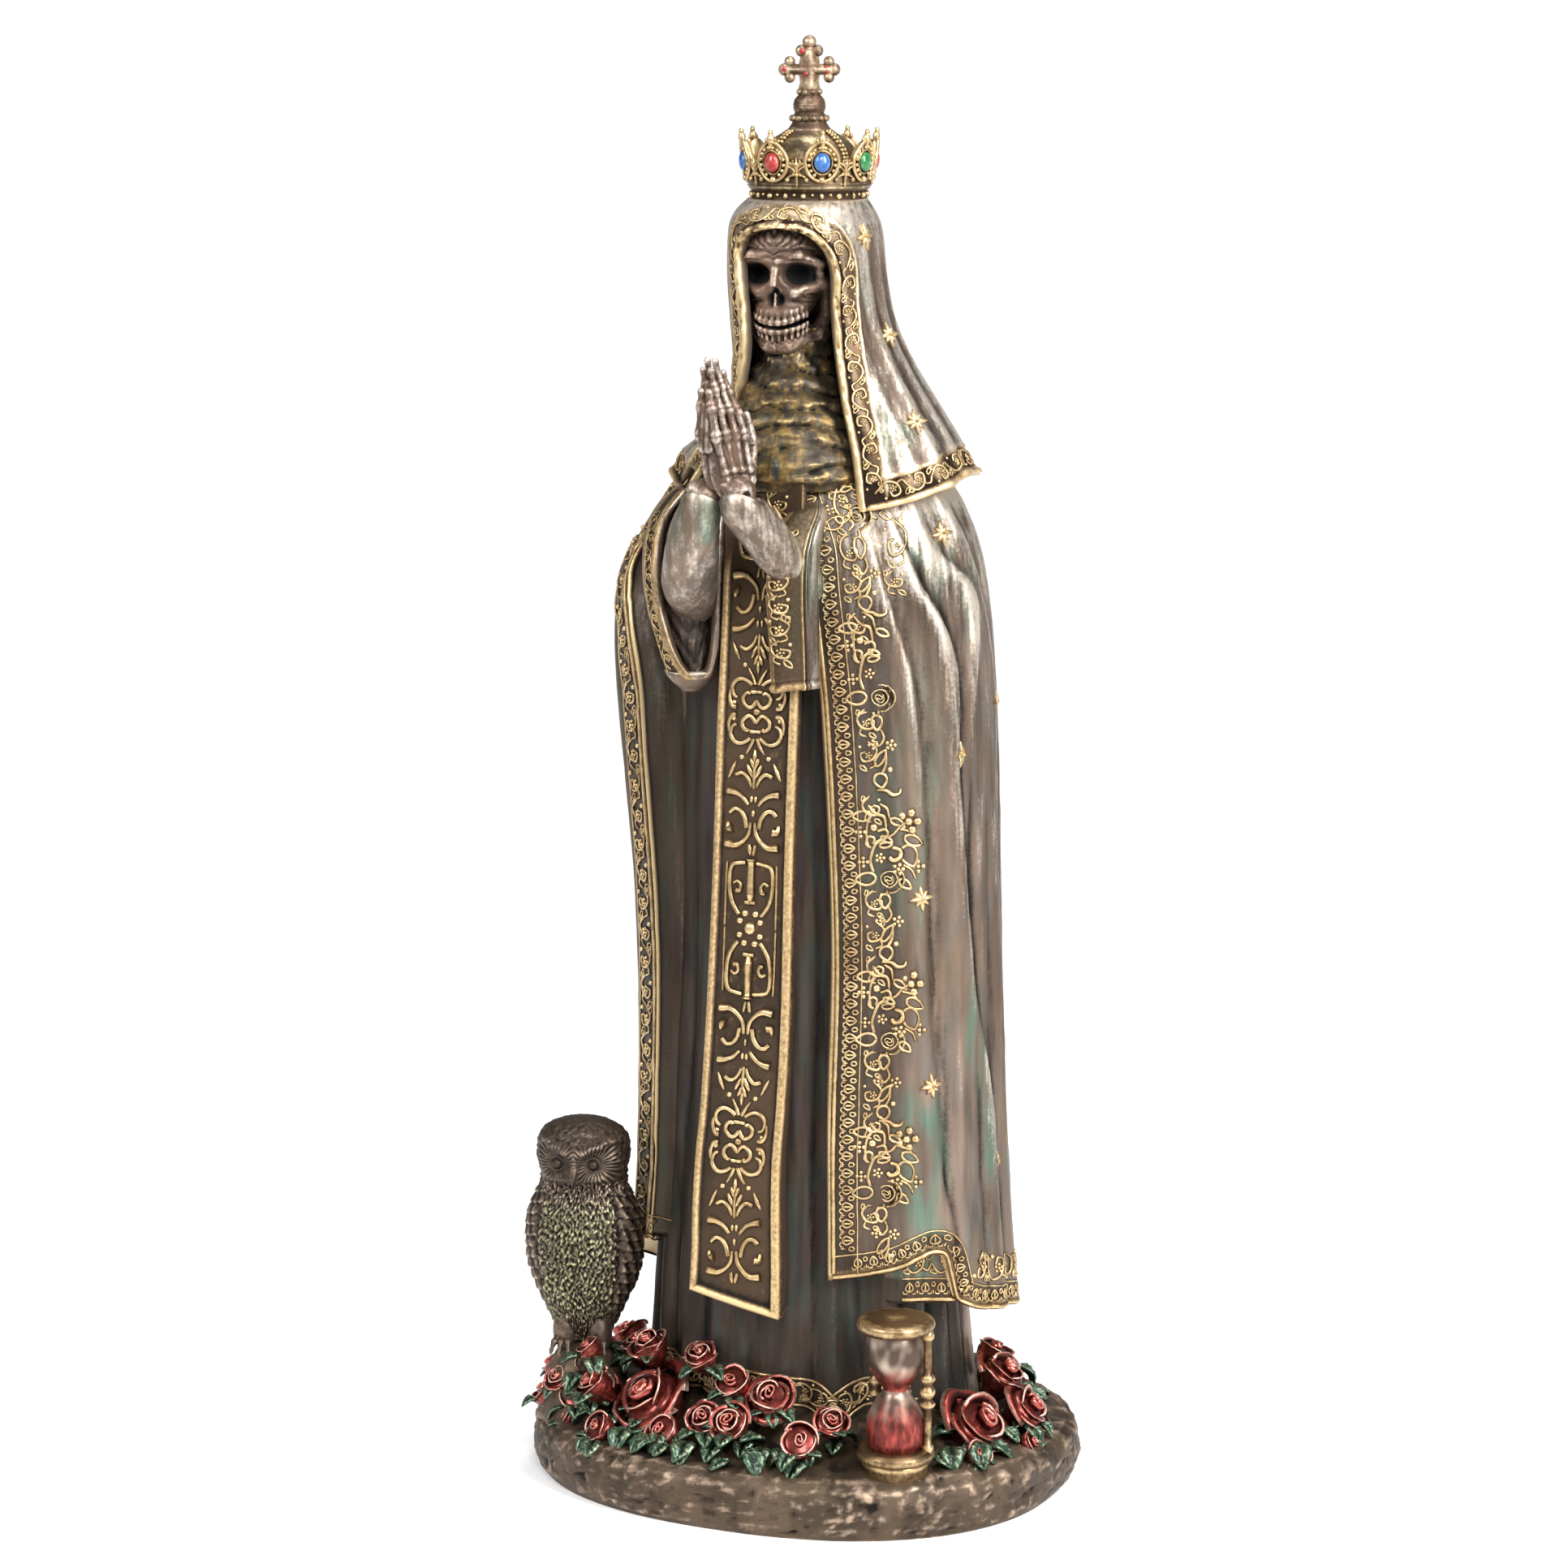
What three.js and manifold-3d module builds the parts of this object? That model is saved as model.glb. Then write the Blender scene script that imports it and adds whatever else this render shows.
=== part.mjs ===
// A santa muerte statuette, cast in one piece with its low rocky base. Millimetres, +Z up.
// The origin is the centre of the underside. The figure faces -Y, and +X is its own left side.
import * as THREE from "three";
import { mergeVertices } from "three/addons/utils/BufferGeometryUtils.js";
import Module from "manifold-3d";

const wasm = await Module();
wasm.setup();

// Driving dimensions
const FIGURE_HEIGHT = 285; // top of the base to the top of the cross
const BASE_LENGTH = 115;
const BASE_WIDTH = 96;
const BASE_THICKNESS = 12;
const MOUND_HEIGHT = 9; // earth under the roses, above the base
const OWL_HEIGHT = 49;
const OWL_PERCH_HEIGHT = 14.5; // heaped roses that the owl stands on, above the base
const HOURGLASS_HEIGHT = 29.5;
const HOURGLASS_RADIUS = 7.9;
const HOURGLASS_BULB_RADIUS = 5.9;
const HOURGLASS_DISC_THICKNESS = 2.6;
const HOURGLASS_POST_RADIUS = 0.9;
const HOURGLASS_SEAT = 2.8; // rock under the hourglass, above the base
const ROSE_RADIUS = 4; // a common rose; each rose's own share of it is in the list
const LEAF_LENGTH = 7;
const LEAF_WIDTH = 4.6;
const STAR_RADIUS = 2.7;
const STAR_RELIEF = 0.8;

// The figure is carved in units of its own height, measured up from the top of the base
const CARVING_UNITS = 285;
const UNIT = FIGURE_HEIGHT / CARVING_UNITS;

const TAU = 2 * Math.PI;
const radians = THREE.MathUtils.degToRad;
const mix = THREE.MathUtils.lerp;
const smooth = (from, to, value) => THREE.MathUtils.smoothstep(value, from, to);
const at = (x, y, z) => new THREE.Vector3(x, y, z);
const squared = (value, power) => Math.sign(value) * Math.abs(value) ** power;

// The values in a table at one height, by a smooth curve through its rows.
// Each row starts with its height, and the heights rise.
function profile(table, height) {
  const last = table.length - 1;
  let k = 0;
  while (k < last - 1 && height > table[k + 1][0]) k += 1;
  const span = table[k + 1][0] - table[k][0];
  const t = THREE.MathUtils.clamp((height - table[k][0]) / span, 0, 1);
  const slope = (row, column) => {
    const before = table[Math.max(row - 1, 0)];
    const after = table[Math.min(row + 1, last)];
    return (after[column] - before[column]) / (after[0] - before[0]);
  };
  return table[k].slice(1).map((value, index) => {
    const column = index + 1;
    const next = table[k + 1][column];
    const rise = t * t * (3 - 2 * t);
    const leaving = t * (1 - t) * (1 - t) * span * slope(k, column);
    const arriving = t * t * (t - 1) * span * slope(k + 1, column);
    return value + (next - value) * rise + leaving + arriving;
  });
}

function solidFrom(points, faces) {
  const geometry = new THREE.BufferGeometry();
  const positions = points.flatMap((p) => [p.x, p.y, p.z]);
  geometry.setAttribute("position", new THREE.Float32BufferAttribute(positions, 3));
  geometry.setIndex(faces);
  return solid(geometry);
}

function solid(geometry) {
  const bare = geometry.clone();
  bare.deleteAttribute("normal");
  bare.deleteAttribute("uv");
  const welded = mergeVertices(bare, 1e-4);
  return new wasm.Manifold(
    new wasm.Mesh({
      numProp: 3,
      vertProperties: new Float32Array(welded.attributes.position.array),
      triVerts: new Uint32Array(welded.index.array),
    }),
  );
}

const middle = (ring) => ring.reduce((sum, p) => sum.add(p), at(0, 0, 0)).divideScalar(ring.length);

// A closed loft through rings of equal count, lowest first, each anticlockwise from above
function ringStack(rings, floor = middle(rings[0]), roof = middle(rings.at(-1))) {
  const count = rings[0].length;
  const points = [...rings.flat(), floor, roof];
  const faces = [];
  for (let row = 0; row < rings.length - 1; row += 1) {
    for (let k = 0; k < count; k += 1) {
      const a = row * count + k;
      const b = row * count + ((k + 1) % count);
      faces.push(a, b, b + count, a, b + count, a + count);
    }
  }
  const top = (rings.length - 1) * count;
  for (let k = 0; k < count; k += 1) {
    const next = (k + 1) % count;
    faces.push(points.length - 2, next, k);
    faces.push(points.length - 1, top + k, top + next);
  }
  return solidFrom(points, faces);
}

function ring(count, pointAt) {
  return Array.from({ length: count }, (_, k) => pointAt((k * TAU) / count));
}

// A rounded bar along a path; each radius is a number, or a pair across and along the reference
function limb(path, radii, sides = 6, reference = at(1, 0, 0)) {
  const rings = path.map((point, k) => {
    const ahead = path[Math.min(k + 1, path.length - 1)].clone();
    const forward = ahead.sub(path[Math.max(k - 1, 0)]).normalize();
    const across = new THREE.Vector3().crossVectors(reference, forward).normalize();
    const along = new THREE.Vector3().crossVectors(forward, across);
    const [wide, deep] = [radii[k]].flat().length === 2 ? radii[k] : [radii[k], radii[k]];
    return ring(sides, (turn) =>
      point
        .clone()
        .addScaledVector(across, wide * Math.cos(turn))
        .addScaledVector(along, deep * Math.sin(turn)),
    );
  });
  const tip = (end, inner, radius) => {
    const outward = path[end].clone().sub(path[inner]).normalize();
    return path[end].clone().addScaledVector(outward, 0.6 * [radius].flat()[0]);
  };
  const last = path.length - 1;
  return ringStack(rings, tip(0, 1, radii[0]), tip(last, last - 1, radii[last]));
}

function ellipsoid(centre, radii, cols = 10, rows = 6, turn = 0, tilt = 0, lean = 0) {
  const geometry = new THREE.SphereGeometry(1, cols, rows);
  geometry.rotateX(Math.PI / 2);
  geometry.scale(radii.x, radii.y, radii.z);
  geometry.rotateY(radians(lean));
  geometry.rotateX(radians(tilt));
  geometry.rotateZ(radians(turn));
  geometry.translate(centre.x, centre.y, centre.z);
  return solid(geometry);
}

function union(solids) {
  return solids.reduce((joined, piece) => joined.add(piece));
}

// The base: a low oval of rock with an uneven rim, and a mound of earth within the roses

const BASE_COLUMNS = 28;
const BASE_SQUARENESS = 0.88; // 1 is a true oval, and less is squarer
// Height as a share of the base's thickness, and the outline's share of the full oval
const BASE_ROWS = [
  [0, 0.965],
  [0.18, 0.99],
  [0.6, 1],
  [0.86, 0.99],
  [1, 0.955],
];
// Height as a share of the mound's, and the outline's share
const MOUND_ROWS = [
  [0.3, 0.86],
  [0.72, 0.7],
  [1, 0.5],
];

// The height of the earth at a place on the base
function ground(x, y) {
  const power = 2 / BASE_SQUARENESS;
  const share = ((2 * Math.abs(x)) / BASE_LENGTH) ** power + ((2 * Math.abs(y)) / BASE_WIDTH) ** power;
  const reach = share ** (1 / power);
  const slope = [[0, 1], ...MOUND_ROWS.map((row) => [row[1], row[0]]).reverse(), [0.94, 0], [2, 0]];
  const k = slope.findIndex((row) => row[0] > reach);
  const [from, to] = [slope[k - 1], slope[k]];
  return BASE_THICKNESS + MOUND_HEIGHT * mix(from[1], to[1], (reach - from[0]) / (to[0] - from[0]));
}

function base() {
  const rough = (turn, row) => 1 - 0.006 * (1 + Math.sin(5 * turn + 1.7 * row)) * (1 + Math.sin(11 * turn));
  const oval = (height, share, row) =>
    ring(BASE_COLUMNS, (turn) => {
      const reach = share * (share > 0.95 && row > 0 ? rough(turn, row) : 1);
      const x = (BASE_LENGTH / 2) * reach * squared(Math.cos(turn), BASE_SQUARENESS);
      return at(x, (BASE_WIDTH / 2) * reach * squared(Math.sin(turn), BASE_SQUARENESS), height);
    });
  const rock = BASE_ROWS.map(([height, share], row) => oval(height * BASE_THICKNESS, share, row));
  const earth = MOUND_ROWS.map(([height, share]) => oval(BASE_THICKNESS + height * MOUND_HEIGHT, share, 0));
  return ringStack([...rock, ...earth]);
}

// The dress: a pleated skirt that narrows to the chest. Height, half-width, half-depth
const DRESS_CENTRE_Y = 3;
const DRESS_PROFILE = [
  [-3, 36.5, 30.5],
  [6, 35, 29],
  [20, 33.6, 27.8],
  [60, 31, 25.5],
  [110, 29, 24],
  [150, 28, 23],
  [180, 26, 22],
  [195, 22, 19],
  [205, 12, 12],
  [212, 8, 9],
];
const DRESS_HEIGHTS = [-3, 8, 60, 130, 184, 208];
const DRESS_PLEATS = 30;

function dressPoint(turn, height) {
  const [halfWidth, halfDepth] = profile(DRESS_PROFILE, height);
  const drift = 0.5 * DRESS_PLEATS * turn + 1.3 * Math.sin(2 * turn) + 0.35 * Math.sin(height / 24);
  const depth = mix(1.9, 0.9, smooth(0, 120, height)) * (1 - smooth(165, 200, height));
  const pleat = depth * (Math.abs(Math.cos(drift)) - 0.75);
  return at(
    (halfWidth + pleat) * Math.cos(turn),
    DRESS_CENTRE_Y + (halfDepth + pleat) * Math.sin(turn),
    height,
  );
}

// Columns crowd the front, where the skirt shows between the mantle's edges
function dressTurns() {
  const front = Array.from({ length: 29 }, (_, k) => radians(mix(-142, -38, k / 28)));
  const back = Array.from({ length: 7 }, (_, k) => radians(mix(-38, 218, (k + 1) / 8)));
  return [...front, ...back];
}

function dress() {
  const turns = dressTurns();
  return ringStack(DRESS_HEIGHTS.map((height) => turns.map((turn) => dressPoint(turn, height))));
}

// The mantle: height, centre x, half-width, half-depth of its outer face
const MANTLE_CENTRE_Y = 4;
const MANTLE_PROFILE = [
  [18, 1.6, 42.8, 31.8],
  [58, 1.5, 40.2, 30],
  [108, 0.5, 39.5, 28.8],
  [150, -1.7, 40.6, 28.4],
  [166, -2.6, 40.3, 28.4],
  [178, -2.3, 38.2, 28],
  [188, -0.5, 33.6, 26.2],
  [196, 0.2, 28.8, 22.8],
  [203, 0, 21, 18.5],
  [209, 0, 13, 13],
];
// Height, then the angles of its two front edges, the figure's left and right
const MANTLE_EDGES = [
  [36, -69, 222.8],
  [66, -68.7, 224.5],
  [99, -66.8, 225.5],
  [132, -66.8, 225],
  [152, -67.3, 225],
  [165, -68, 220],
  [176, -69.4, 211],
  [184, -71.4, 210],
  [190, -76, 218],
  [198, -82, 224],
  [204, -86, 226],
];
// Angle round the figure and the height of the hem there
const MANTLE_HEM = [
  [-70, 36],
  [-50, 38],
  [-32, 40],
  [-27, 31],
  [0, 26.5],
  [40, 23],
  [90, 20],
  [150, 22],
  [185, 30],
  [205, 38],
  [232, 37],
];
// Folds: angle at the shoulder, angle at the hem, half-width in degrees, height of the ridge
const MANTLE_FOLDS = [
  [-47, -36, 5, 1.6],
  [-31, -19, 5.5, 2.4],
  [-16, -3, 6, 2.2],
  [2, 15, 6, 2.6],
  [20, 33, 7, 2.2],
  [38, 51, 6.5, 2.6],
  [56, 68, 7, 2.2],
  [74, 84, 6.5, 2.6],
  [92, 100, 7, 2.2],
  [109, 117, 6.5, 2.6],
  [126, 135, 7, 2.2],
  [143, 153, 6.5, 2.4],
  [160, 171, 6.5, 2],
  [178, 189, 6, 1.7],
];
const MANTLE_TOP = 208;
const MANTLE_COLUMNS = 46;
const MANTLE_ROWS = [0, 0.16, 0.38, 0.6, 0.76, 0.86, 0.93, 1];

function foldHeight(folds, degrees, height, hem, top) {
  const drop = smooth(top, hem, height);
  return folds.reduce((sum, [topAngle, hemAngle, halfWidth, ridge]) => {
    const angle = mix(topAngle, hemAngle, drop);
    const away = (degrees - angle) / (halfWidth * mix(0.9, 1.1, drop));
    return sum + ridge * mix(0.35, 1, drop) * Math.exp(-away * away);
  }, 0);
}

// A point on the mantle's outer face, with its folds
function mantlePoint(degrees, height) {
  const [centreX, halfWidth, halfDepth] = profile(MANTLE_PROFILE, height);
  const fade = 1 - smooth(188, 204, height);
  const fold = fade * (foldHeight(MANTLE_FOLDS, degrees, height, 20, 196) - 0.9);
  const turn = radians(degrees);
  return at(
    centreX + (halfWidth + fold) * Math.cos(turn),
    MANTLE_CENTRE_Y + (halfDepth + fold) * Math.sin(turn),
    height,
  );
}

// The edge of the mantle turns in and runs back to the dress
function mantleLining(edge, side, height) {
  const inward = side > 0 ? at(-4.2, 3.8, 0) : at(8.4, 2.6, 0);
  const start = edge.clone().add(side > 0 ? at(-1.6, 0.4, 0) : at(1.4, -0.4, 0));
  const end = start.clone().add(inward);
  end.z = height;
  return [start, end];
}

function mantle() {
  const rings = MANTLE_ROWS.map((share) => {
    const level = mix(30, MANTLE_TOP, share);
    const [left, right] = profile(MANTLE_EDGES, level);
    const cloth = Array.from({ length: MANTLE_COLUMNS + 1 }, (_, k) => {
      const degrees = mix(left, right, k / MANTLE_COLUMNS);
      const [hem] = profile(MANTLE_HEM, degrees);
      return mantlePoint(degrees, mix(hem, MANTLE_TOP, share));
    });
    const last = cloth.at(-1);
    const first = cloth[0];
    const inside = at(0, -4, mix(last.z, first.z, 0.5));
    const [rightLining, leftLining] = [mantleLining(last, -1, last.z), mantleLining(first, 1, first.z)];
    return [...cloth, ...rightLining, inside, ...leftLining.reverse()];
  });
  const hollow = middle(rings[0]).add(at(0, 0, 14));
  return ringStack(rings, hollow);
}

// Behind the front panel a second fold of the mantle hangs lower
function underFold() {
  const heights = [30.5, 34, 46, 62];
  const rings = heights.map((height, row) => {
    const cloth = Array.from({ length: 7 }, (_, k) => {
      const degrees = mix(-45, -20, k / 6);
      const point = mantlePoint(degrees, height);
      const inset = mix(4.4, 1.2, smooth(-42, -22, degrees)) + 0.5 * row;
      return point.add(at(-inset * Math.cos(radians(degrees)), -inset * Math.sin(radians(degrees)), 0));
    });
    return [...cloth, at(18, -4, height), at(16, -12, height)];
  });
  return ringStack(rings);
}

// The stole: height, centre x, front y, half-width
const STOLE_PROFILE = [
  [31, -1.6, -32.2, 9.9],
  [40, -1.4, -31.9, 9.7],
  [50, -1.9, -30.6, 9.6],
  [60, -2.1, -29.2, 9.4],
  [72, -1.4, -28.2, 9.2],
  [90, -0.6, -27.4, 9],
  [120, 0.1, -26.4, 8.8],
  [148, 0.4, -24.8, 8.6],
  [170, 0.4, -22.6, 8.5],
  [198, 0.4, -21.2, 8.5],
];
const STOLE_THICKNESS = 2.2;
const STOLE_BACKING = 0.45; // share of its width that runs back to the dress
const STOLE_HEIGHTS = [32, 40, 50, 60, 74, 100, 148, 170, 198];

function stole() {
  const rings = STOLE_HEIGHTS.map((height, row) => {
    const [x, y, half] = profile(STOLE_PROFILE, height);
    const slant = row === 0 ? 2 : 0;
    return [
      at(x + half, y + STOLE_THICKNESS, height - slant),
      at(x + half * STOLE_BACKING, DRESS_CENTRE_Y - 14, height),
      at(x - half * STOLE_BACKING, DRESS_CENTRE_Y - 14, height),
      at(x - half, y + STOLE_THICKNESS, height + slant),
      at(x - half, y, height + slant),
      at(x, y - 0.3, height),
      at(x + half, y, height - slant),
    ];
  });
  return ringStack(rings);
}

// The veil: height, half-widths to the figure's left and right, depth in front, depth behind, centre y
const VEIL_PROFILE = [
  [190, 37, 30.4, 22.6, 27.5, 3.2],
  [197, 34.8, 29.4, 22, 25.8, 3.1],
  [202, 32.2, 26.4, 21.4, 24, 2.9],
  [206, 30, 20.4, 20.8, 22.4, 2.6],
  [210, 27.6, 16.4, 20.2, 20.8, 2.2],
  [220, 21.8, 14.8, 18.6, 17.6, 1.2],
  [228, 18.2, 15.2, 18.2, 16.6, 0.6],
  [236, 16.6, 15.6, 18.2, 16.3, 0],
  [244, 15.8, 15.4, 17.9, 16.4, -0.4],
  [248, 15, 14.7, 17.4, 15.8, -0.6],
  [250.6, 13.6, 13.4, 16.6, 14, -0.2],
  [252.8, 11.9, 11.7, 13.4, 12, 0.6],
];
const VEIL_HEIGHTS = [192, 197, 203, 209, 218, 228, 238, 246, 250.6, 252.8];
const VEIL_COLUMNS = 30;
const VEIL_CENTRE_X = 0.3;
// Angle round the figure and how far the hem rises above its front corners
const VEIL_HEM_RISE = [
  [-90, 0],
  [-58, 0.2],
  [-20, 4.6],
  [5, 6.6],
  [40, 4],
  [90, 1],
  [140, 4],
  [175, 6.6],
  [200, 4.6],
  [238, 0.2],
  [270, 0],
];
const VEIL_FOLDS = [
  [-36, -30, 8, 0.8],
  [-10, -8, 8, 0.9],
  [16, 18, 9, 0.9],
  [44, 44, 9, 0.9],
  [74, 72, 9, 0.9],
  [106, 108, 9, 0.9],
  [136, 136, 9, 0.9],
  [164, 162, 9, 0.9],
  [190, 188, 8, 0.9],
  [216, 210, 8, 0.8],
];

function veilPoint(degrees, height) {
  const [toLeft, toRight, front, back, centreY] = profile(VEIL_PROFILE, height);
  const fold = (1 - smooth(240, 252, height)) * (foldHeight(VEIL_FOLDS, degrees, height, 192, 250) - 0.4);
  const turn = radians(degrees);
  const halfWidth = Math.cos(turn) > 0 ? toLeft : toRight;
  const depth = Math.sin(turn) < 0 ? front : back;
  const x = VEIL_CENTRE_X + (halfWidth + fold) * Math.cos(turn);
  return at(x, centreY + (depth + fold) * Math.sin(turn), height);
}

// The face opening: height, centre x, half-width. The hood is turned a little to the figure's left
const OPENING_PROFILE = [
  [186, 0, 19.6],
  [192, 0, 18.8],
  [198, 0.8, 17.2],
  [205, 1.8, 14.8],
  [214, 2.8, 11.6],
  [223, 3.2, 9.6],
  [231, 2.8, 9.2],
  [239, 2.4, 9.4],
  [243, 1.8, 8.8],
  [245.8, 1.6, 6.6],
  [247.6, 2.2, 2.4],
];

function veil() {
  const rings = VEIL_HEIGHTS.map((height) =>
    ring(VEIL_COLUMNS, (turn) => {
      const degrees = ((turn * 360) / TAU + 90) % 360 - 90;
      const [rise] = profile(VEIL_HEM_RISE, degrees);
      return veilPoint(degrees, height + rise * (1 - smooth(192, 216, height)));
    }),
  );
  const cloth = ringStack(rings);
  const hollow = OPENING_PROFILE.map(([height, x, half]) => {
    const back = mix(-10, -3, smooth(205, 228, height));
    return [
      at(x + half, -30, height),
      at(x + half * 0.97, -12, height),
      at(x + half * 0.86, back - 3, height),
      at(x + half * 0.5, back, height),
      at(x - half * 0.5, back, height),
      at(x - half * 0.86, back - 3, height),
      at(x - half * 0.97, -12, height),
      at(x - half, -30, height),
    ];
  });
  return cloth.subtract(ringStack(hollow));
}

// The cowl: height, half-width, depth in front of its centre. Its folds lie slantwise round the neck
const COWL_CENTRE_Y = -5;
const COWL_PROFILE = [
  [197, 17.5, 17.2],
  [199.5, 18.2, 18.6],
  [204, 16.8, 17.4],
  [210, 14, 14.6],
  [216, 10.6, 11],
  [221, 8, 7.4],
  [227, 7.4, 6.4],
];
const COWL_HEIGHTS = [196, 198, 200, 202.5, 205, 207.5, 210, 212.5, 215, 217.5, 221, 226];

function cowlPoint(turn, height) {
  const [halfWidth, depth] = profile(COWL_PROFILE, height);
  const slant = height + 2.2 * Math.sin(turn + 0.5) + 1.2 * Math.sin(3 * turn);
  const fold = 0.75 * Math.sin(slant * 1.25) * smooth(198, 202, height);
  return at((halfWidth + fold) * Math.cos(turn), COWL_CENTRE_Y + (depth + fold) * Math.sin(turn), height);
}

function cowl() {
  return ringStack(COWL_HEIGHTS.map((height) => ring(13, (turn) => cowlPoint(turn, height))));
}

// The skull, about its own centre, facing -Y
const SKULL_PLACE = at(-0.9, -5.6, 239.6);
const SKULL_TURN = 12;
const SKULL_NOD = 4;

// Height, half-width, depth in front
const SKULL_PROFILE = [
  [-16.8, 3.2, 7.2],
  [-15.6, 4.8, 9.2],
  [-13.4, 5.8, 9.9],
  [-10.4, 6.4, 10.4],
  [-8.6, 6.5, 10.8],
  [-6.8, 6.8, 10.3],
  [-4.6, 8.2, 9.7],
  [-2.6, 8.3, 9.7],
  [-0.6, 7.8, 9.9],
  [1.4, 8.2, 10.6],
  [3.6, 8.3, 10.3],
  [6.6, 7.9, 8.8],
  [9.4, 6, 5.8],
  [11, 2.6, 2.2],
];
const SKULL_BACK = 5;
// Hollows of the face: x, height, half-width, half-height, depth
const SKULL_HOLLOWS = [
  [3.7, -0.9, 2.2, 1.9, 3.2],
  [-3.7, -0.9, 2.2, 1.9, 3.2],
  [0, -1.4, 1.3, 2.6, -1.3],
  [0, -5, 1.3, 1.7, 2.6],
  [0, -10.4, 4.6, 0.8, 0.9],
  [6, -8.6, 1.6, 2.2, 1.6],
  [-6, -8.6, 1.6, 2.2, 1.6],
];

function skullPoint(turn, height) {
  const [halfWidth, front] = profile(SKULL_PROFILE, height);
  const x = halfWidth * Math.cos(turn);
  if (Math.sin(turn) > 0) return at(x, SKULL_BACK * Math.sin(turn), height);
  const depth = SKULL_HOLLOWS.reduce((sum, [centreX, level, wide, high, deep]) => {
    const away = ((x - centreX) / wide) ** 2 + ((height - level) / high) ** 2;
    return sum + deep * Math.exp(-away * away);
  }, 0);
  return at(x, front * Math.sin(turn) + depth, height);
}

function skull() {
  const front = Array.from({ length: 17 }, (_, k) => Math.PI + (k * Math.PI) / 16);
  const turns = [...front, Math.PI / 3 + TAU, (2 * Math.PI) / 3 + TAU];
  const rings = SKULL_PROFILE.map(([height]) => turns.map((turn) => skullPoint(turn, height)));
  return ringStack(rings)
    .rotate([SKULL_NOD, 0, SKULL_TURN])
    .translate([SKULL_PLACE.x, SKULL_PLACE.y, SKULL_PLACE.z]);
}

// The hands, pressed together: fingers from the front one back, each with the height of its tip
const PALM_CENTRE_X = -2.5;
const HAND_FRONT_Y = -40.2;
const FINGER_PITCH = 2.5;
const FINGER_TIPS = [217.4, 221.6, 223.4, 221];
const WRIST_HEIGHT = 198.5;
const KNUCKLE_HEIGHT = 208.6;
const HAND_TURN = -24; // the pressed palms are turned a little to the figure's right
const HAND_LEAN = 0.24; // how far back each unit of height above the wrist leans towards the face

function fingerPath(side, index) {
  const tip = FINGER_TIPS[index];
  const levels = [mix(WRIST_HEIGHT, KNUCKLE_HEIGHT, 0.2)];
  levels.push(...[0, 0.3, 0.6, 1].map((share) => mix(KNUCKLE_HEIGHT, tip, share)));
  return levels.map((height) => {
    const open = smooth(KNUCKLE_HEIGHT, tip, height);
    const x = PALM_CENTRE_X + side * mix(2.1, 1.1, open);
    const spread = mix(0.86, 1, smooth(WRIST_HEIGHT, KNUCKLE_HEIGHT, height)) * mix(1, 0.62, open);
    const y = HAND_FRONT_Y + 5 + (index - 1.5) * FINGER_PITCH * spread;
    return at(x, y - HAND_LEAN * (height - WRIST_HEIGHT) + HAND_LEAN * 12, height);
  });
}

function hand(side) {
  const fingers = FINGER_TIPS.map((_, index) =>
    limb(fingerPath(side, index), [1.3, 1.5, 1.2, 1.3, 0.8], 4),
  );
  const palmCentre = at(PALM_CENTRE_X + side * 1.5, HAND_FRONT_Y + 6.5, 202.5);
  const palm = ellipsoid(palmCentre, at(1.7, 4.6, 7.6), 6, 3, 0, 13);
  const thumb = limb(
    [
      at(PALM_CENTRE_X + side * 1.6, HAND_FRONT_Y + 11.2, 199),
      at(PALM_CENTRE_X + side * 1.2, HAND_FRONT_Y + 12, 204.5),
      at(PALM_CENTRE_X + side * 0.9, HAND_FRONT_Y + 11, 210.5),
    ],
    [1.3, 1.1, 0.8],
    4,
  );
  const middleOfPalms = [PALM_CENTRE_X, HAND_FRONT_Y + 5, 0];
  const turned = union([...fingers, palm, thumb])
    .translate(middleOfPalms.map((value) => -value))
    .rotate([0, 0, HAND_TURN])
    .translate(middleOfPalms);
  const wrist = ellipsoid(at(PALM_CENTRE_X + side * 3.6, HAND_FRONT_Y + 5.6, 197), at(3.2, 3.8, 3.6), 8, 4);
  return union([turned, wrist]);
}

// The forearms, in close sleeves that swell towards the elbow
const FOREARMS = [
  {
    path: [at(1.3, -34.8, 197), at(2.3, -34.2, 193.5), at(6, -28.6, 186), at(8.2, -23.6, 181)],
    radii: [3.2, 4.4, 4.5, 3.6],
  },
  {
    path: [
      at(-6.2, -34.8, 197),
      at(-7, -35, 193.5),
      at(-9.8, -32.6, 186),
      at(-13.2, -27, 178),
      at(-17, -16, 171),
    ],
    radii: [3.2, 4.2, 5.2, 5.4, 3.4],
  },
];

function forearms() {
  return FOREARMS.map(({ path, radii }) => limb(path, radii, 8, at(0, 0, 1)));
}

// The hanging sleeves: height, centre x, centre y, half-width, half-depth
const RIGHT_SLEEVE = [
  [155.4, -14.9, -22.6, 1.6, 1.6],
  [157.4, -15, -22.6, 4, 3.6],
  [161, -15.4, -22.4, 5.2, 4.8],
  [166, -16.2, -22, 6.3, 5.8],
  [174, -17.6, -21.2, 7.5, 6.8],
  [182, -18.3, -19.6, 8, 7.4],
  [190, -18.4, -16.4, 7.4, 7],
  [196, -16.6, -11.6, 5.6, 6],
];
const LEFT_SLEEVE = [
  [157.4, 8.4, -23, 4.6, 5],
  [166, 8.2, -23.2, 4.7, 5.4],
  [176, 7.8, -23.2, 4.8, 5.6],
  [184, 7.8, -22.2, 4.8, 5.6],
  [190, 8.4, -18, 4, 5],
];
const SLEEVE_TURN = 18;

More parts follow.
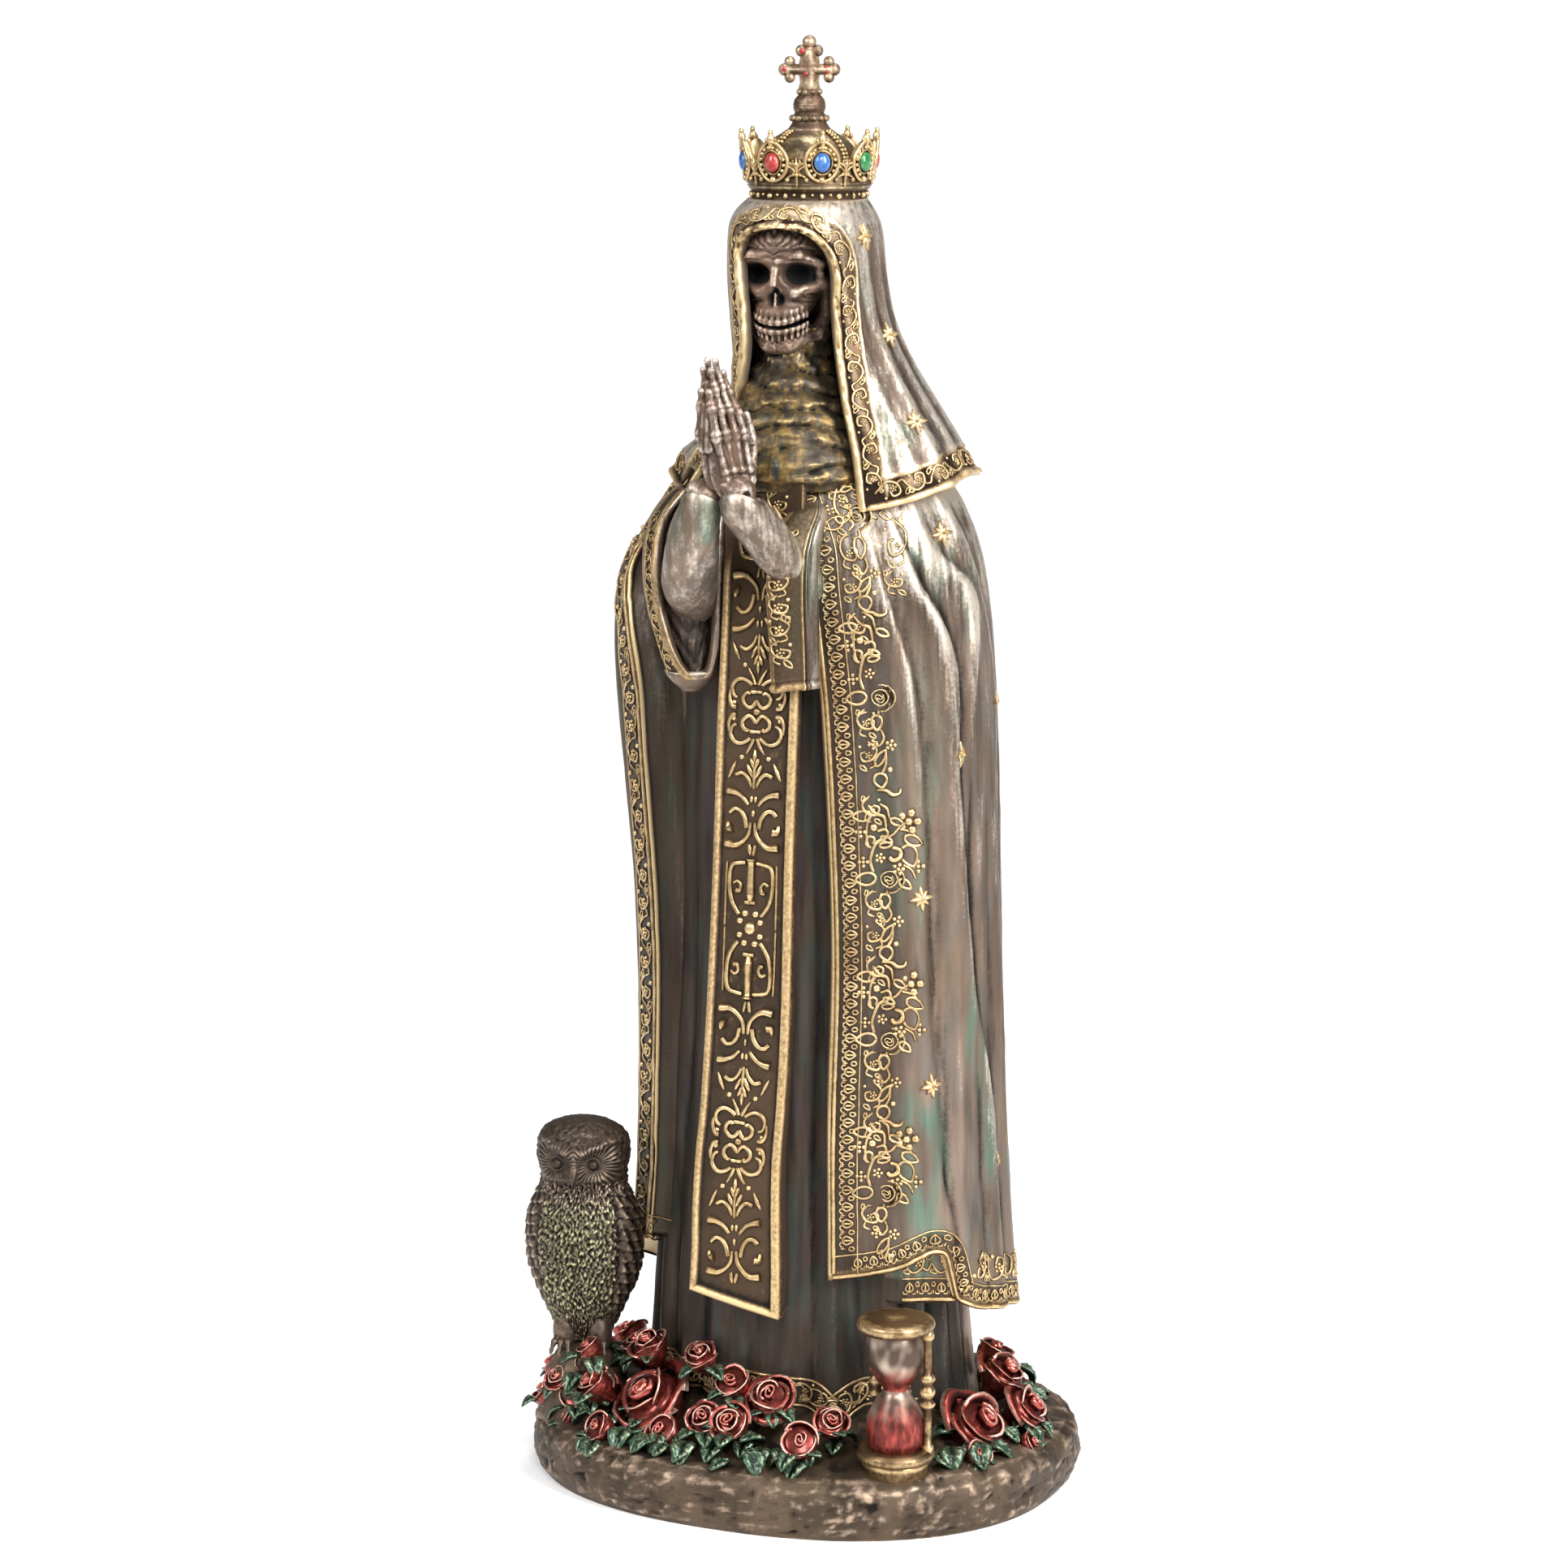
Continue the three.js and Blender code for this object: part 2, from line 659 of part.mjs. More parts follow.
function sleeve(table, squareness) {
  return ringStack(
    table.map(([height, x, y, halfWidth, halfDepth]) =>
      ring(10, (turn) => {
        const x0 = halfWidth * squared(Math.cos(turn), squareness);
        const point = at(x0, halfDepth * squared(Math.sin(turn), squareness), height);
        return point.applyAxisAngle(at(0, 0, 1), radians(SLEEVE_TURN)).add(at(x, y, 0));
      }),
    ),
  );
}

function sleeves() {
  const mouth = RIGHT_SLEEVE.map(([height, x, y, halfWidth, halfDepth]) => [
    height + 2.2,
    x + 1.2,
    y - 4.2,
    Math.max(halfWidth - 1.5, 0.6),
    Math.max(halfDepth - 0.6, 0.6),
  ]);
  return [sleeve(RIGHT_SLEEVE, 0.9).subtract(sleeve(mouth, 0.9)), sleeve(LEFT_SLEEVE, 0.7)];
}

// The crown, open at the top, with eight jewelled panels round a low dome
const CROWN_CENTRE = at(0.5, 1, 0);
const CROWN_PANELS = 8;
const CROWN_FIRST_PANEL = -55; // angle of one jewel round the figure
const CROWN_FLOOR = 251.8;

function lathe(profilePoints, sides, centre) {
  const geometry = new THREE.LatheGeometry(
    profilePoints.map(([radius, height]) => new THREE.Vector2(radius, height)),
    sides,
  );
  geometry.rotateX(Math.PI / 2);
  geometry.translate(centre.x, centre.y, centre.z);
  return solid(geometry);
}

function crown() {
  const wall = lathe(
    [
      [0, CROWN_FLOOR],
      [11.6, CROWN_FLOOR],
      [11.6, 254.8],
      [12.3, 255.6],
      [12.4, 260],
      [11.3, 260],
      [10.8, 257.6],
      [9.4, 261.8],
      [5.6, 265.4],
      [0, 266.8],
    ],
    16,
    CROWN_CENTRE,
  );
  const panel = [
    at(3.2, 0, 260.2),
    at(1.9, 0, 264.2),
    at(0, 0, 266.6),
    at(-1.9, 0, 264.2),
    at(-3.2, 0, 260.2),
    at(0, 0, 256.4),
  ];
  const panels = Array.from({ length: CROWN_PANELS }, (_, k) => {
    const turn = radians(CROWN_FIRST_PANEL) + (k * TAU) / CROWN_PANELS;
    const spot = (x, height, radius) => {
      const angle = turn + x / 12.4;
      return at(radius * Math.cos(angle), radius * Math.sin(angle), height).add(CROWN_CENTRE);
    };
    const flare = (height) => 12.1 + (height - 256) * 0.13;
    const outer = panel.map((p) => spot(p.x, p.z, flare(p.z) + 0.7));
    const inner = panel.map((p) => spot(p.x, p.z, flare(p.z) - 0.5));
    return slab(outer, inner, spot(0, 260.3, flare(260.3) + 1.5));
  });
  return union([wall, ...panels]);
}

// A plate between two outlines of equal count, with a raised boss on its outer face.
// The outer outline runs clockwise seen from outside
function slab(outer, inner, boss) {
  const count = outer.length;
  const points = [...outer, ...inner, boss, middle(inner)];
  const faces = [];
  for (let k = 0; k < count; k += 1) {
    const next = (k + 1) % count;
    faces.push(k, count + next, next, k, count + k, count + next);
    faces.push(2 * count, k, next, 2 * count + 1, count + next, count + k);
  }
  return solidFrom(points, faces);
}

// The cross: a turned collar, a square shaft, and arms that end in three knobs each
const CROSS_ARM_HEIGHT = 278.2;
const CROSS_ARM_REACH = 4.2;
const CROSS_TURN = 24;

function cross() {
  const collar = lathe(
    [
      [0, 265],
      [4.6, 265],
      [3.9, 267.4],
      [4.6, 268.6],
      [3.7, 269.4],
      [4.2, 270.8],
      [2.4, 272.4],
      [3.2, 273.4],
      [0, 274.5],
    ],
    8,
    CROWN_CENTRE,
  );
  const shaft = limb([at(0, 0, 273), at(0, 0, CROSS_ARM_HEIGHT), at(0, 0, 282.6)], [1.6, 1.3, 1.2], 4);
  const arm = (side) => at(side * CROSS_ARM_REACH, 0, CROSS_ARM_HEIGHT);
  const bar = limb([arm(-1), arm(1)], [1, 1], 4, at(0, 1, 0));
  const knobs = [
    [0, 283.8, 1.25],
    [1.35, 282, 1.05],
    [-1.35, 282, 1.05],
    [CROSS_ARM_REACH + 0.9, CROSS_ARM_HEIGHT, 1.05],
    [-CROSS_ARM_REACH - 0.9, CROSS_ARM_HEIGHT, 1.05],
  ].map(([x, height, radius]) => ellipsoid(at(x, 0, height), at(radius, radius, radius), 5, 3));
  const lobes = [-1, 1].map((side) => {
    const x = side * (CROSS_ARM_REACH - 0.3);
    const levels = [-1.8, 0, 1.8].map((rise) => at(x, 0, CROSS_ARM_HEIGHT + rise));
    return limb(levels, [0.9, 0.8, 0.9], 4);
  });
  const carved = union([shaft, bar, ...knobs, ...lobes]).rotate([0, 0, CROSS_TURN]);
  return union([collar, carved.translate([CROWN_CENTRE.x, CROWN_CENTRE.y, 0])]);
}

// Stars scattered over the cloth: angle round the figure and height
const MANTLE_STARS = [
  [-17, 187],
  [-20.6, 143],
  [-38, 114.6],
  [-35.4, 76],
  [-3.3, 58],
  [10, 152],
  [52, 120],
  [90, 155],
  [78, 70],
  [128, 120],
];
const VEIL_STARS = [
  [-15.4, 245.7],
  [-7, 226],
  [-22, 209.3],
  [60, 226],
  [190, 222],
];

function star(centre, outward) {
  const upright = at(0, 0, 1).addScaledVector(outward, -outward.z).normalize();
  const across = new THREE.Vector3().crossVectors(upright, outward);
  const rim = Array.from({ length: 16 }, (_, k) => {
    const reach = k % 2 === 0 ? STAR_RADIUS : STAR_RADIUS * 0.36;
    const turn = (k * TAU) / 16;
    return centre
      .clone()
      .addScaledVector(across, reach * Math.cos(turn))
      .addScaledVector(upright, reach * Math.sin(turn))
      .addScaledVector(outward, k % 2 === 0 ? -0.1 * STAR_RELIEF : 0.35 * STAR_RELIEF);
  });
  const points = [...rim, centre.clone().addScaledVector(outward, STAR_RELIEF)];
  points.push(centre.clone().addScaledVector(outward, -1.4));
  const faces = rim.flatMap((_, k) => [16, k, (k + 1) % 16, 17, (k + 1) % 16, k]);
  return solidFrom(points, faces);
}

// The direction square to a cloth face at a point on it
function outwardFrom(pointAt, degrees, height) {
  const around = pointAt(degrees + 4, height).sub(pointAt(degrees - 4, height));
  const upward = pointAt(degrees, height + 3).sub(pointAt(degrees, height - 3));
  return new THREE.Vector3().crossVectors(around, upward).normalize();
}

function figure() {
  return [
    dress(),
    mantle(),
    underFold(),
    stole(),
    veil(),
    cowl(),
    skull(),
    hand(-1),
    hand(1),
    ...forearms(),
    ...sleeves(),
    crown(),
    cross(),
  ];
}

// The owl, in shares of a height of 50, standing on its feet and facing -Y
const OWL_UNITS = 50;
const OWL_TURN = 13;

// Height, half-width, depth in front, depth behind
const OWL_PROFILE = [
  [1.4, 4.6, 3, 6],
  [8, 8, 6.6, 7.4],
  [14, 10.2, 8.6, 8.4],
  [21, 11.2, 9.4, 9],
  [28, 11, 9, 9],
  [33, 9.6, 7.8, 8.4],
  [36, 8.8, 7.2, 8],
  [39, 9.4, 8.6, 8],
  [42.5, 9.8, 8.8, 8],
  [46, 9.2, 7.6, 7.4],
  [48.6, 8.2, 5.6, 6],
  [49.8, 4.6, 2.6, 3],
];
// Swellings of the front: x, height, half-width, half-height, how far they stand out
const OWL_SWELLINGS = [
  [4.6, 45.6, 3.2, 1.5, 1.1],
  [-4.6, 45.6, 3.2, 1.5, 1.1],
  [0, 42, 1.3, 4, 0.9],
  [3.9, 41.4, 2.2, 2.2, -0.8],
  [-3.9, 41.4, 2.2, 2.2, -0.8],
  [0, 12, 1.6, 6, -1.2],
];
const OWL_COLUMNS = 14;

function owlPoint(turn, height) {
  const [halfWidth, front, back] = profile(OWL_PROFILE, height);
  const wing = 1.3 * Math.exp(-(((height - 24) / 11) ** 4)) * Math.abs(Math.cos(turn)) ** 6;
  const x = (halfWidth + wing) * Math.cos(turn);
  if (Math.sin(turn) > 0) return at(x, back * Math.sin(turn), height);
  const swell = OWL_SWELLINGS.reduce((sum, [centreX, level, wide, high, proud]) => {
    const away = ((x - centreX) / wide) ** 2 + ((height - level) / high) ** 2;
    return sum + proud * Math.exp(-away);
  }, 0);
  return at(x, front * Math.sin(turn) - swell, height);
}

function owl() {
  const bird = union([
    ringStack(OWL_PROFILE.map(([height]) => ring(OWL_COLUMNS, (turn) => owlPoint(turn, height)))),
    limb([at(0, -7.8, 40.2), at(0, -10, 38.9), at(0, -9.6, 37)], [0.9, 0.9, 0.4], 4),
    ellipsoid(at(0, 7, 6), at(5, 3, 8), 5, 3, 0, 14),
    ...[-1, 1].flatMap((side) => [
      ellipsoid(at(side * 3.9, -7.6, 41.4), at(1.2, 1.2, 1.2), 5, 3),
      ellipsoid(at(side * 3.8, -2.6, 3.6), at(2.6, 3.2, 4.8), 6, 3),
      limb([at(side * 3.8, -4, 0.8), at(side * 4, -8.2, 0)], [[0.9, 2.1], [0.6, 2]], 4),
    ]),
  ]);
  const share = OWL_HEIGHT / OWL_UNITS;
  const foot = BASE_THICKNESS + OWL_PERCH_HEIGHT;
  const place = [-0.72 * (BASE_LENGTH / 2), -0.42 * (BASE_WIDTH / 2), foot];
  const perch = lathe(
    [
      [0, BASE_THICKNESS - 1],
      [10, BASE_THICKNESS - 1],
      [9, BASE_THICKNESS + 0.6 * OWL_PERCH_HEIGHT],
      [6, foot],
      [0, foot + 0.8],
    ],
    9,
    at(place[0], place[1], 0),
  );
  return union([bird.scale([share, share, share]).rotate([0, 0, OWL_TURN]).translate(place), perch]);
}

// The hourglass stands on the rock by the figure's left foot, with three turned posts
const HOURGLASS_PLACE = [0.586 * (BASE_LENGTH / 2), -0.645 * (BASE_WIDTH / 2)];
const HOURGLASS_POSTS = 3;
const HOURGLASS_FIRST_POST = 6;

function hourglass() {
  const foot = BASE_THICKNESS + HOURGLASS_SEAT;
  const top = foot + HOURGLASS_HEIGHT;
  const disc = HOURGLASS_DISC_THICKNESS;
  const waist = foot + HOURGLASS_HEIGHT / 2;
  const half = HOURGLASS_HEIGHT / 2 - disc;
  const bulb = HOURGLASS_BULB_RADIUS;
  const centre = at(HOURGLASS_PLACE[0], HOURGLASS_PLACE[1], 0);
  const turned = lathe(
    [
      [0, BASE_THICKNESS - 2],
      [HOURGLASS_RADIUS * 0.8, BASE_THICKNESS - 2],
      [HOURGLASS_RADIUS * 0.8, foot],
      [HOURGLASS_RADIUS, foot + disc * 0.4],
      [HOURGLASS_RADIUS * 0.9, foot + disc],
      [bulb * 0.86, foot + disc],
      [bulb, waist - half * 0.62],
      [bulb * 0.72, waist - half * 0.26],
      [bulb * 0.45, waist],
      [bulb * 0.72, waist + half * 0.26],
      [bulb, waist + half * 0.62],
      [bulb * 0.86, top - disc],
      [HOURGLASS_RADIUS * 0.9, top - disc],
      [HOURGLASS_RADIUS, top - disc * 0.5],
      [HOURGLASS_RADIUS * 0.9, top],
      [0, top],
    ],
    10,
    centre,
  );
  const reach = HOURGLASS_RADIUS * 0.96 - HOURGLASS_POST_RADIUS;
  const posts = Array.from({ length: HOURGLASS_POSTS }, (_, k) => {
    const turn = radians(HOURGLASS_FIRST_POST) + (k * TAU) / HOURGLASS_POSTS;
    const spot = (height) => at(centre.x + reach * Math.cos(turn), centre.y + reach * Math.sin(turn), height);
    const levels = [foot + disc * 0.5, waist - 3, waist, waist + 3, top - disc * 0.5];
    const swell = [1, 0.9, 1.9, 0.9, 1].map((share) => share * HOURGLASS_POST_RADIUS);
    return limb(levels.map(spot), swell, 4);
  });
  return union([turned, ...posts]);
}

// Roses on the mound: share of the base's half-length and half-width, height above the base,
// share of the common radius, and the way the bloom faces in degrees from straight up
const ROSES = [
  [-0.35, -0.69, 9, 1.85, 38],
  [-0.61, -0.65, 10, 1.2, 30],
  [-0.8, -0.49, 8.5, 1.1, 40],
  [-0.615, -0.79, 4.2, 0.75, 50],
  [-0.5, -0.81, 3.6, 0.85, 50],
  [-0.26, -0.79, 3.6, 0.95, 48],
  [-0.17, -0.59, 5.6, 0.9, 42],
  [-0.05, -0.64, 5.4, 1, 42],
  [-0.1, -0.42, 10, 1.05, 30],
  [0.03, -0.43, 8.4, 1.15, 34],
  [0.2, -0.61, 3.6, 0.95, 50],
  [0.26, -0.42, 4.8, 0.8, 40],
  [-0.5, -0.36, 14, 1.1, 14],
  [-0.33, -0.27, 12.6, 0.95, 20],
  [-0.23, -0.3, 10.6, 0.95, 24],
  [-0.84, -0.36, 12, 0.9, 44],
  [0.78, -0.265, 6.2, 1.75, 40],
  [0.92, -0.06, 7.4, 1.25, 44],
  [0.735, 0.195, 10, 1.15, 30],
  [0.82, 0.22, 8.4, 1.1, 40],
  [0.65, 0.27, 12.4, 1, 24],
  [0.95, -0.23, 2.6, 0.6, 60],
];
const ROSES_BEHIND = [
  [-0.84, -0.05, 8, 1.2, 40],
  [-0.8, 0.2, 7.6, 1.1, 40],
  [0.6, 0.52, 7, 1.2, 40],
];

const ROOT_DEPTH = 3; // how far a rose's calyx goes into the earth

function tilted(solidUp, x, y, height, tilt) {
  const heading = (Math.atan2(y, x) * 360) / TAU;
  return solidUp.rotate([0, tilt, 0]).rotate([0, 0, heading]).translate([x, y, height]);
}

function rose([shareX, shareY, height, size, tilt], k) {
  const r = size * ROSE_RADIUS;
  const sides = size > 1.5 ? 7 : 5;
  const [x, y] = [(shareX * BASE_LENGTH) / 2, (shareY * BASE_WIDTH) / 2];
  const rooted = Math.max(r, BASE_THICKNESS + height - ground(x, y) + ROOT_DEPTH);
  const bloom = lathe(
    [
      [0, -rooted],
      [0.96 * r, -0.2 * r],
      [0.86 * r, 0.46 * r],
      [0.38 * r, 0.2 * r],
      [0, 0.6 * r],
    ],
    sides,
    at(0, 0, 0),
  ).rotate([0, 0, 31 * k]);
  return tilted(bloom, x, y, BASE_THICKNESS + height, tilt);
}

const LEAF_ROOT = 1.5; // how far the underside of a leaf goes down into the earth
// Leaves between and in front of the roses: shares of the base, height above the earth, heading and dip
const LEAVES = [
  [-0.13, -0.28, 2.6, -100, -50],
  [-0.06, -0.33, 2, -60, -30],
  [-0.15, -0.93, 0.9, -110, 24],
  [0.05, -0.79, 0.9, -85, 24],
  [0.22, -0.81, 0.9, -70, 24],
  [0.36, -0.68, 0.9, -75, 20],
  [-0.33, -0.86, 0.9, -120, 26],
  [-0.42, -0.82, 0.9, -95, 26],
  [-0.56, -0.73, 0.9, -130, 26],
  [-0.7, -0.6, 0.9, -140, 30],
  [0.75, -0.5, 0.9, -60, 26],
  [0.8, -0.42, 0.9, -40, 30],
  [0.92, -0.05, 0.9, -5, 40],
  [0.64, -0.34, 2, -150, 10],
  [-0.56, -0.62, 4, -30, 20],
];

function leaf([shareX, shareY, height, heading, dip]) {
  const root = LEAF_ROOT + height / Math.cos(radians(dip));
  const blade = [
    at(0, 0, 0),
    at(LEAF_LENGTH * 0.45, -LEAF_WIDTH / 2, 0.1),
    at(LEAF_LENGTH, 0, -0.3),
    at(LEAF_LENGTH * 0.45, LEAF_WIDTH / 2, 0.1),
    at(LEAF_LENGTH * 0.42, 0, 0.6),
    at(LEAF_LENGTH * 0.4, 0, -root),
  ];
  const faces = [0, 1, 2, 3].flatMap((k) => [4, k, (k + 1) % 4, 5, (k + 1) % 4, k]);
  const [x, y] = [(shareX * BASE_LENGTH) / 2, (shareY * BASE_WIDTH) / 2];
  return solidFrom(blade, faces)
    .translate([-LEAF_LENGTH / 2, 0, 0])
    .rotate([0, dip, 0])
    .rotate([0, 0, heading])
    .translate([x, y, ground(x, y) + height]);
}

// Carving units become millimetres, and the figure is set on the base
function standing(carved) {
  return carved.scale([UNIT, UNIT, UNIT]).translate([0, 0, BASE_THICKNESS]);
}

function starsOn(pointAt, places) {
  return places.map(([degrees, height]) => {
    const centre = pointAt(degrees, height).multiplyScalar(UNIT).add(at(0, 0, BASE_THICKNESS));
    return star(centre, outwardFrom(pointAt, degrees, height));
  });
}

const casting = union([
  base(),
  standing(union(figure())),
  ...starsOn(mantlePoint, MANTLE_STARS),
  ...starsOn(veilPoint, VEIL_STARS),
  owl(),
  hourglass(),
  ...[...ROSES, ...ROSES_BEHIND].map(rose),
  ...LEAVES.map(leaf),
]);

function meshFrom(name, shape, material) {
  const { vertProperties, triVerts, numProp } = shape.getMesh();
  const positions = new Float32Array((vertProperties.length / numProp) * 3);
  for (let k = 0; k < positions.length / 3; k += 1) {
    positions.set(vertProperties.subarray(k * numProp, k * numProp + 3), 3 * k);
  }
  const geometry = new THREE.BufferGeometry();
  geometry.setAttribute("position", new THREE.BufferAttribute(positions, 3));
  geometry.setIndex(new THREE.BufferAttribute(triVerts, 1));
  geometry.computeVertexNormals();
  const mesh = new THREE.Mesh(geometry, material);
  mesh.name = name;
  return mesh;
}

const antiqueBronze = new THREE.MeshStandardMaterial({ color: 0x8a7565, roughness: 0.42, metalness: 0.7 });

const group = new THREE.Group();
group.add(meshFrom("santa_muerte_figure", casting, antiqueBronze));
export default group;
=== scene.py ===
# %% [markdown]
# # A santa muerte statuette in aged bronze
# The real object is a resin casting about 300 mm tall: a crowned skeleton in a robe, its
# hands pressed together, with an owl and an hourglass on a low rock full of roses. The cast
# surface is finished by hand: a dark wash is left in every recess, pale metal is rubbed over
# every ridge, thin green and blue washes run down the cloth, and the raised braid is gilded.
# The shapes here are made from formulas, one piece at a time, and the paint follows them.

import math

import bmesh
import bpy
import numpy as np
from mathutils import Matrix, Vector
from mathutils.bvhtree import BVHTree


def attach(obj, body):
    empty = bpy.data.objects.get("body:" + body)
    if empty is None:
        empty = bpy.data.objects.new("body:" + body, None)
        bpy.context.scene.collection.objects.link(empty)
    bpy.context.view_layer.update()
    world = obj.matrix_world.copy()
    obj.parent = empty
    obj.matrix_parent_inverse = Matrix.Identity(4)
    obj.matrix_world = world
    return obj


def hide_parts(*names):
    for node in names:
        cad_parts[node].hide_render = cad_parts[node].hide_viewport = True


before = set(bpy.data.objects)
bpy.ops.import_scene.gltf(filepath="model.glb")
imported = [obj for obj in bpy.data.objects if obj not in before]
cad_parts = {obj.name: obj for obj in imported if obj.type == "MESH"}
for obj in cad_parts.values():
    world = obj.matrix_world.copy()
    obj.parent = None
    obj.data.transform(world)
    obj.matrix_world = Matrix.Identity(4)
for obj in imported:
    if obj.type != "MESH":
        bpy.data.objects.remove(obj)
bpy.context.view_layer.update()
NODE = "santa_muerte_figure"
MM = 0.001
BASE_TOP = 12.0  # millimetres; the figure's own heights count from here

# %% [markdown]
# The camera comes first. It stands a little above the middle of the figure, 24 degrees round
# to its left, and looks 10 degrees down, which is what the base's oval and the crown show.

# %% Camera
VIEW_TURN = math.radians(24)
VIEW_DROP = math.radians(10.4)
VIEW_DISTANCE, VIEW_HEIGHT = 0.914, 0.313

toward = Vector((math.sin(VIEW_TURN), -math.cos(VIEW_TURN), 0))
right = Vector((math.cos(VIEW_TURN), math.sin(VIEW_TURN), 0))
forward = -toward * math.cos(VIEW_DROP) + Vector((0, 0, -math.sin(VIEW_DROP)))
upward = right.cross(forward)
camera = bpy.data.objects.new("camera", bpy.data.cameras.new("camera"))
bpy.context.scene.collection.objects.link(camera)
camera.matrix_world = Matrix.Translation(toward * VIEW_DISTANCE + Vector((0, 0, VIEW_HEIGHT))) @ Matrix(
    (right, upward, -forward)
).transposed().to_4x4()
camera.data.sensor_width = 36
camera.data.lens = 103.9
camera.data.shift_x = -26 / 1932  # the figure stands a little right of the middle
camera.data.clip_start = 0.05
bpy.context.scene.camera = camera
print("camera", VIEW_DISTANCE, "m from the axis")

# %% [markdown]
# Light is soft and comes from large panels, because aged metal shows little colour of its
# own: it shows the panels. One stands high on the left, one on the right for the long
# highlights down the folds, and the pale world fills the rest.

# %% Studio light
def panel(name, place, aim, size, power, tint=(1, 1, 1)):
    light = bpy.data.lights.new(name, "AREA")
    light.shape = "RECTANGLE"
    light.size, light.size_y = size
    light.energy = power
    light.color = tint
    lamp = bpy.data.objects.new(name, light)
    lamp.location = place
    lamp.rotation_euler = (Vector(aim) - Vector(place)).to_track_quat("-Z", "Y").to_euler()
    bpy.context.scene.collection.objects.link(lamp)


panel("key", (-0.45, -0.8, 0.7), (0, 0, 0.16), (0.35, 0.5), 7)
panel("right_strip", (0.8, -0.35, 0.6), (0, 0, 0.17), (0.25, 0.7), 13)
panel("front_high", (0.5, -0.9, 0.85), (0, 0, 0.15), (0.3, 0.3), 6)
panel("top", (0.1, 0.15, 0.95), (0, 0, 0.2), (0.5, 0.4), 5)
world = bpy.data.worlds.new("studio")
world.use_nodes = True
world.node_tree.nodes["Background"].inputs["Color"].default_value = (0.93, 0.96, 1, 1)
world.node_tree.nodes["Background"].inputs["Strength"].default_value = 0.22
bpy.context.scene.world = world
bpy.context.scene.view_settings.view_transform = "Standard"

# %% Pale floor
floor_mesh = bpy.data.meshes.new("floor")
floor_mesh.from_pydata([(-40, -40, 0), (40, -40, 0), (40, 40, 0), (-40, 40, 0)], [], [(0, 1, 2, 3)])
floor = bpy.data.objects.new("floor", floor_mesh)
bpy.context.scene.collection.objects.link(floor)

# %% [markdown]
# Cloth carved by a sculptor runs through smooth curves, so most shapes are tables of a few
# heights with a smooth curve through them, worked out for a whole grid of points at once.

# %% Smooth tables and steps
def smooth(low, high, value):
    t = np.clip((value - low) / (high - low), 0, 1)
    return t * t * (3 - 2 * t)


def mix(a, b, t):
    return a + (b - a) * t


def profile(table, height):
    """The columns of a table at these heights, by a smooth curve through its rows."""
    rows = np.array(table, float)
    slope = np.empty_like(rows)
    slope[1:-1] = (rows[2:] - rows[:-2]) / (rows[2:, :1] - rows[:-2, :1])
    slope[0] = (rows[1] - rows[0]) / (rows[1, 0] - rows[0, 0])
    slope[-1] = (rows[-1] - rows[-2]) / (rows[-1, 0] - rows[-2, 0])
    height = np.clip(np.asarray(height, float), rows[0, 0], rows[-1, 0])
    k = np.clip(np.searchsorted(rows[:, 0], height, side="right") - 1, 0, len(rows) - 2)
    span = rows[k + 1, 0] - rows[k, 0]
    t = (height - rows[k, 0]) / span
    values = []
    for column in range(1, rows.shape[1]):
        start, end = rows[k, column], rows[k + 1, column]
        value = start + (end - start) * t * t * (3 - 2 * t)
        value = value + t * (1 - t) ** 2 * span * slope[k, column]
        value = value + t * t * (t - 1) * span * slope[k + 1, column]
        values.append(value)
    return values if len(values) > 1 else values[0]


def bell(value):
    return np.exp(-value * value)


def distance_to_path(points, path):
    """Shortest distance from each point to a line of points."""
    start, span = path[:-1], np.diff(path, axis=0)
    length = np.maximum((span**2).sum(axis=1), 1e-9)
    best = np.full(len(points), 1e9)
    for a, d, l in zip(start, span, length):
        t = np.clip(((points - a) @ d) / l, 0, 1)
        best = np.minimum(best, ((points - a - t[:, None] * d) ** 2).sum(axis=1))
    return np.sqrt(best)


# %% Repeatable noise
def noise(x, y, z=0.0, seed=0):
    """Smooth value noise from -1 to 1, the same on every run."""
    x, y, z = np.broadcast_arrays(np.asarray(x, float), np.asarray(y, float), np.asarray(z, float))
    base = [np.floor(v).astype(np.int64) for v in (x, y, z)]
    part = [v - b for v, b in zip((x, y, z), base)]
    part = [p * p * (3 - 2 * p) for p in part]
    total = np.zeros(x.shape)
    for corner in range(8):
        step = [(corner >> k) & 1 for k in range(3)]
        i, j, k = [b + s for b, s in zip(base, step)]
        mixed = (i * 374761393 + j * 668265263 + k * 2147483647 + seed * 1274126177) & 0xFFFFFFFF
        mixed = ((mixed ^ (mixed >> 13)) * 1103515245) & 0xFFFFFFFF
        value = ((mixed ^ (mixed >> 16)) & 0xFFFF) / 32767.5 - 1
        weight = np.ones(x.shape)
        for p, s in zip(part, step):
            weight = weight * (p if s else 1 - p)
        total += weight * value
    return total


def rough(x, y, z=0.0, seed=0, octaves=3):
    return sum(noise(x * 2**n, y * 2**n, z * 2**n, seed + n) / 1.8**n for n in range(octaves))


print("noise at one place:", round(float(noise(1.3, 2.7, 0.4)), 3))

# %% [markdown]
# Each piece is one closed mesh in metres. The brass-coloured highlights and the dark wash of
# the real finish follow the carving, so every mesh gets a "relief" value at each point: how
# far it stands out from a smoothed copy of itself. Ridges come out near 1, hollows near 0.

# %% Meshes and their relief
def grid_faces(rows, columns, closed=False):
    """Quads of a grid of points stored row by row; closed joins the last column to the first."""
    across = np.arange(columns if closed else columns - 1)
    start = (np.arange(rows - 1)[:, None] * columns + across).ravel()
    beside = (np.arange(rows - 1)[:, None] * columns + (across + 1) % columns).ravel()
    return np.stack([start, beside, beside + columns, start + columns], axis=1)


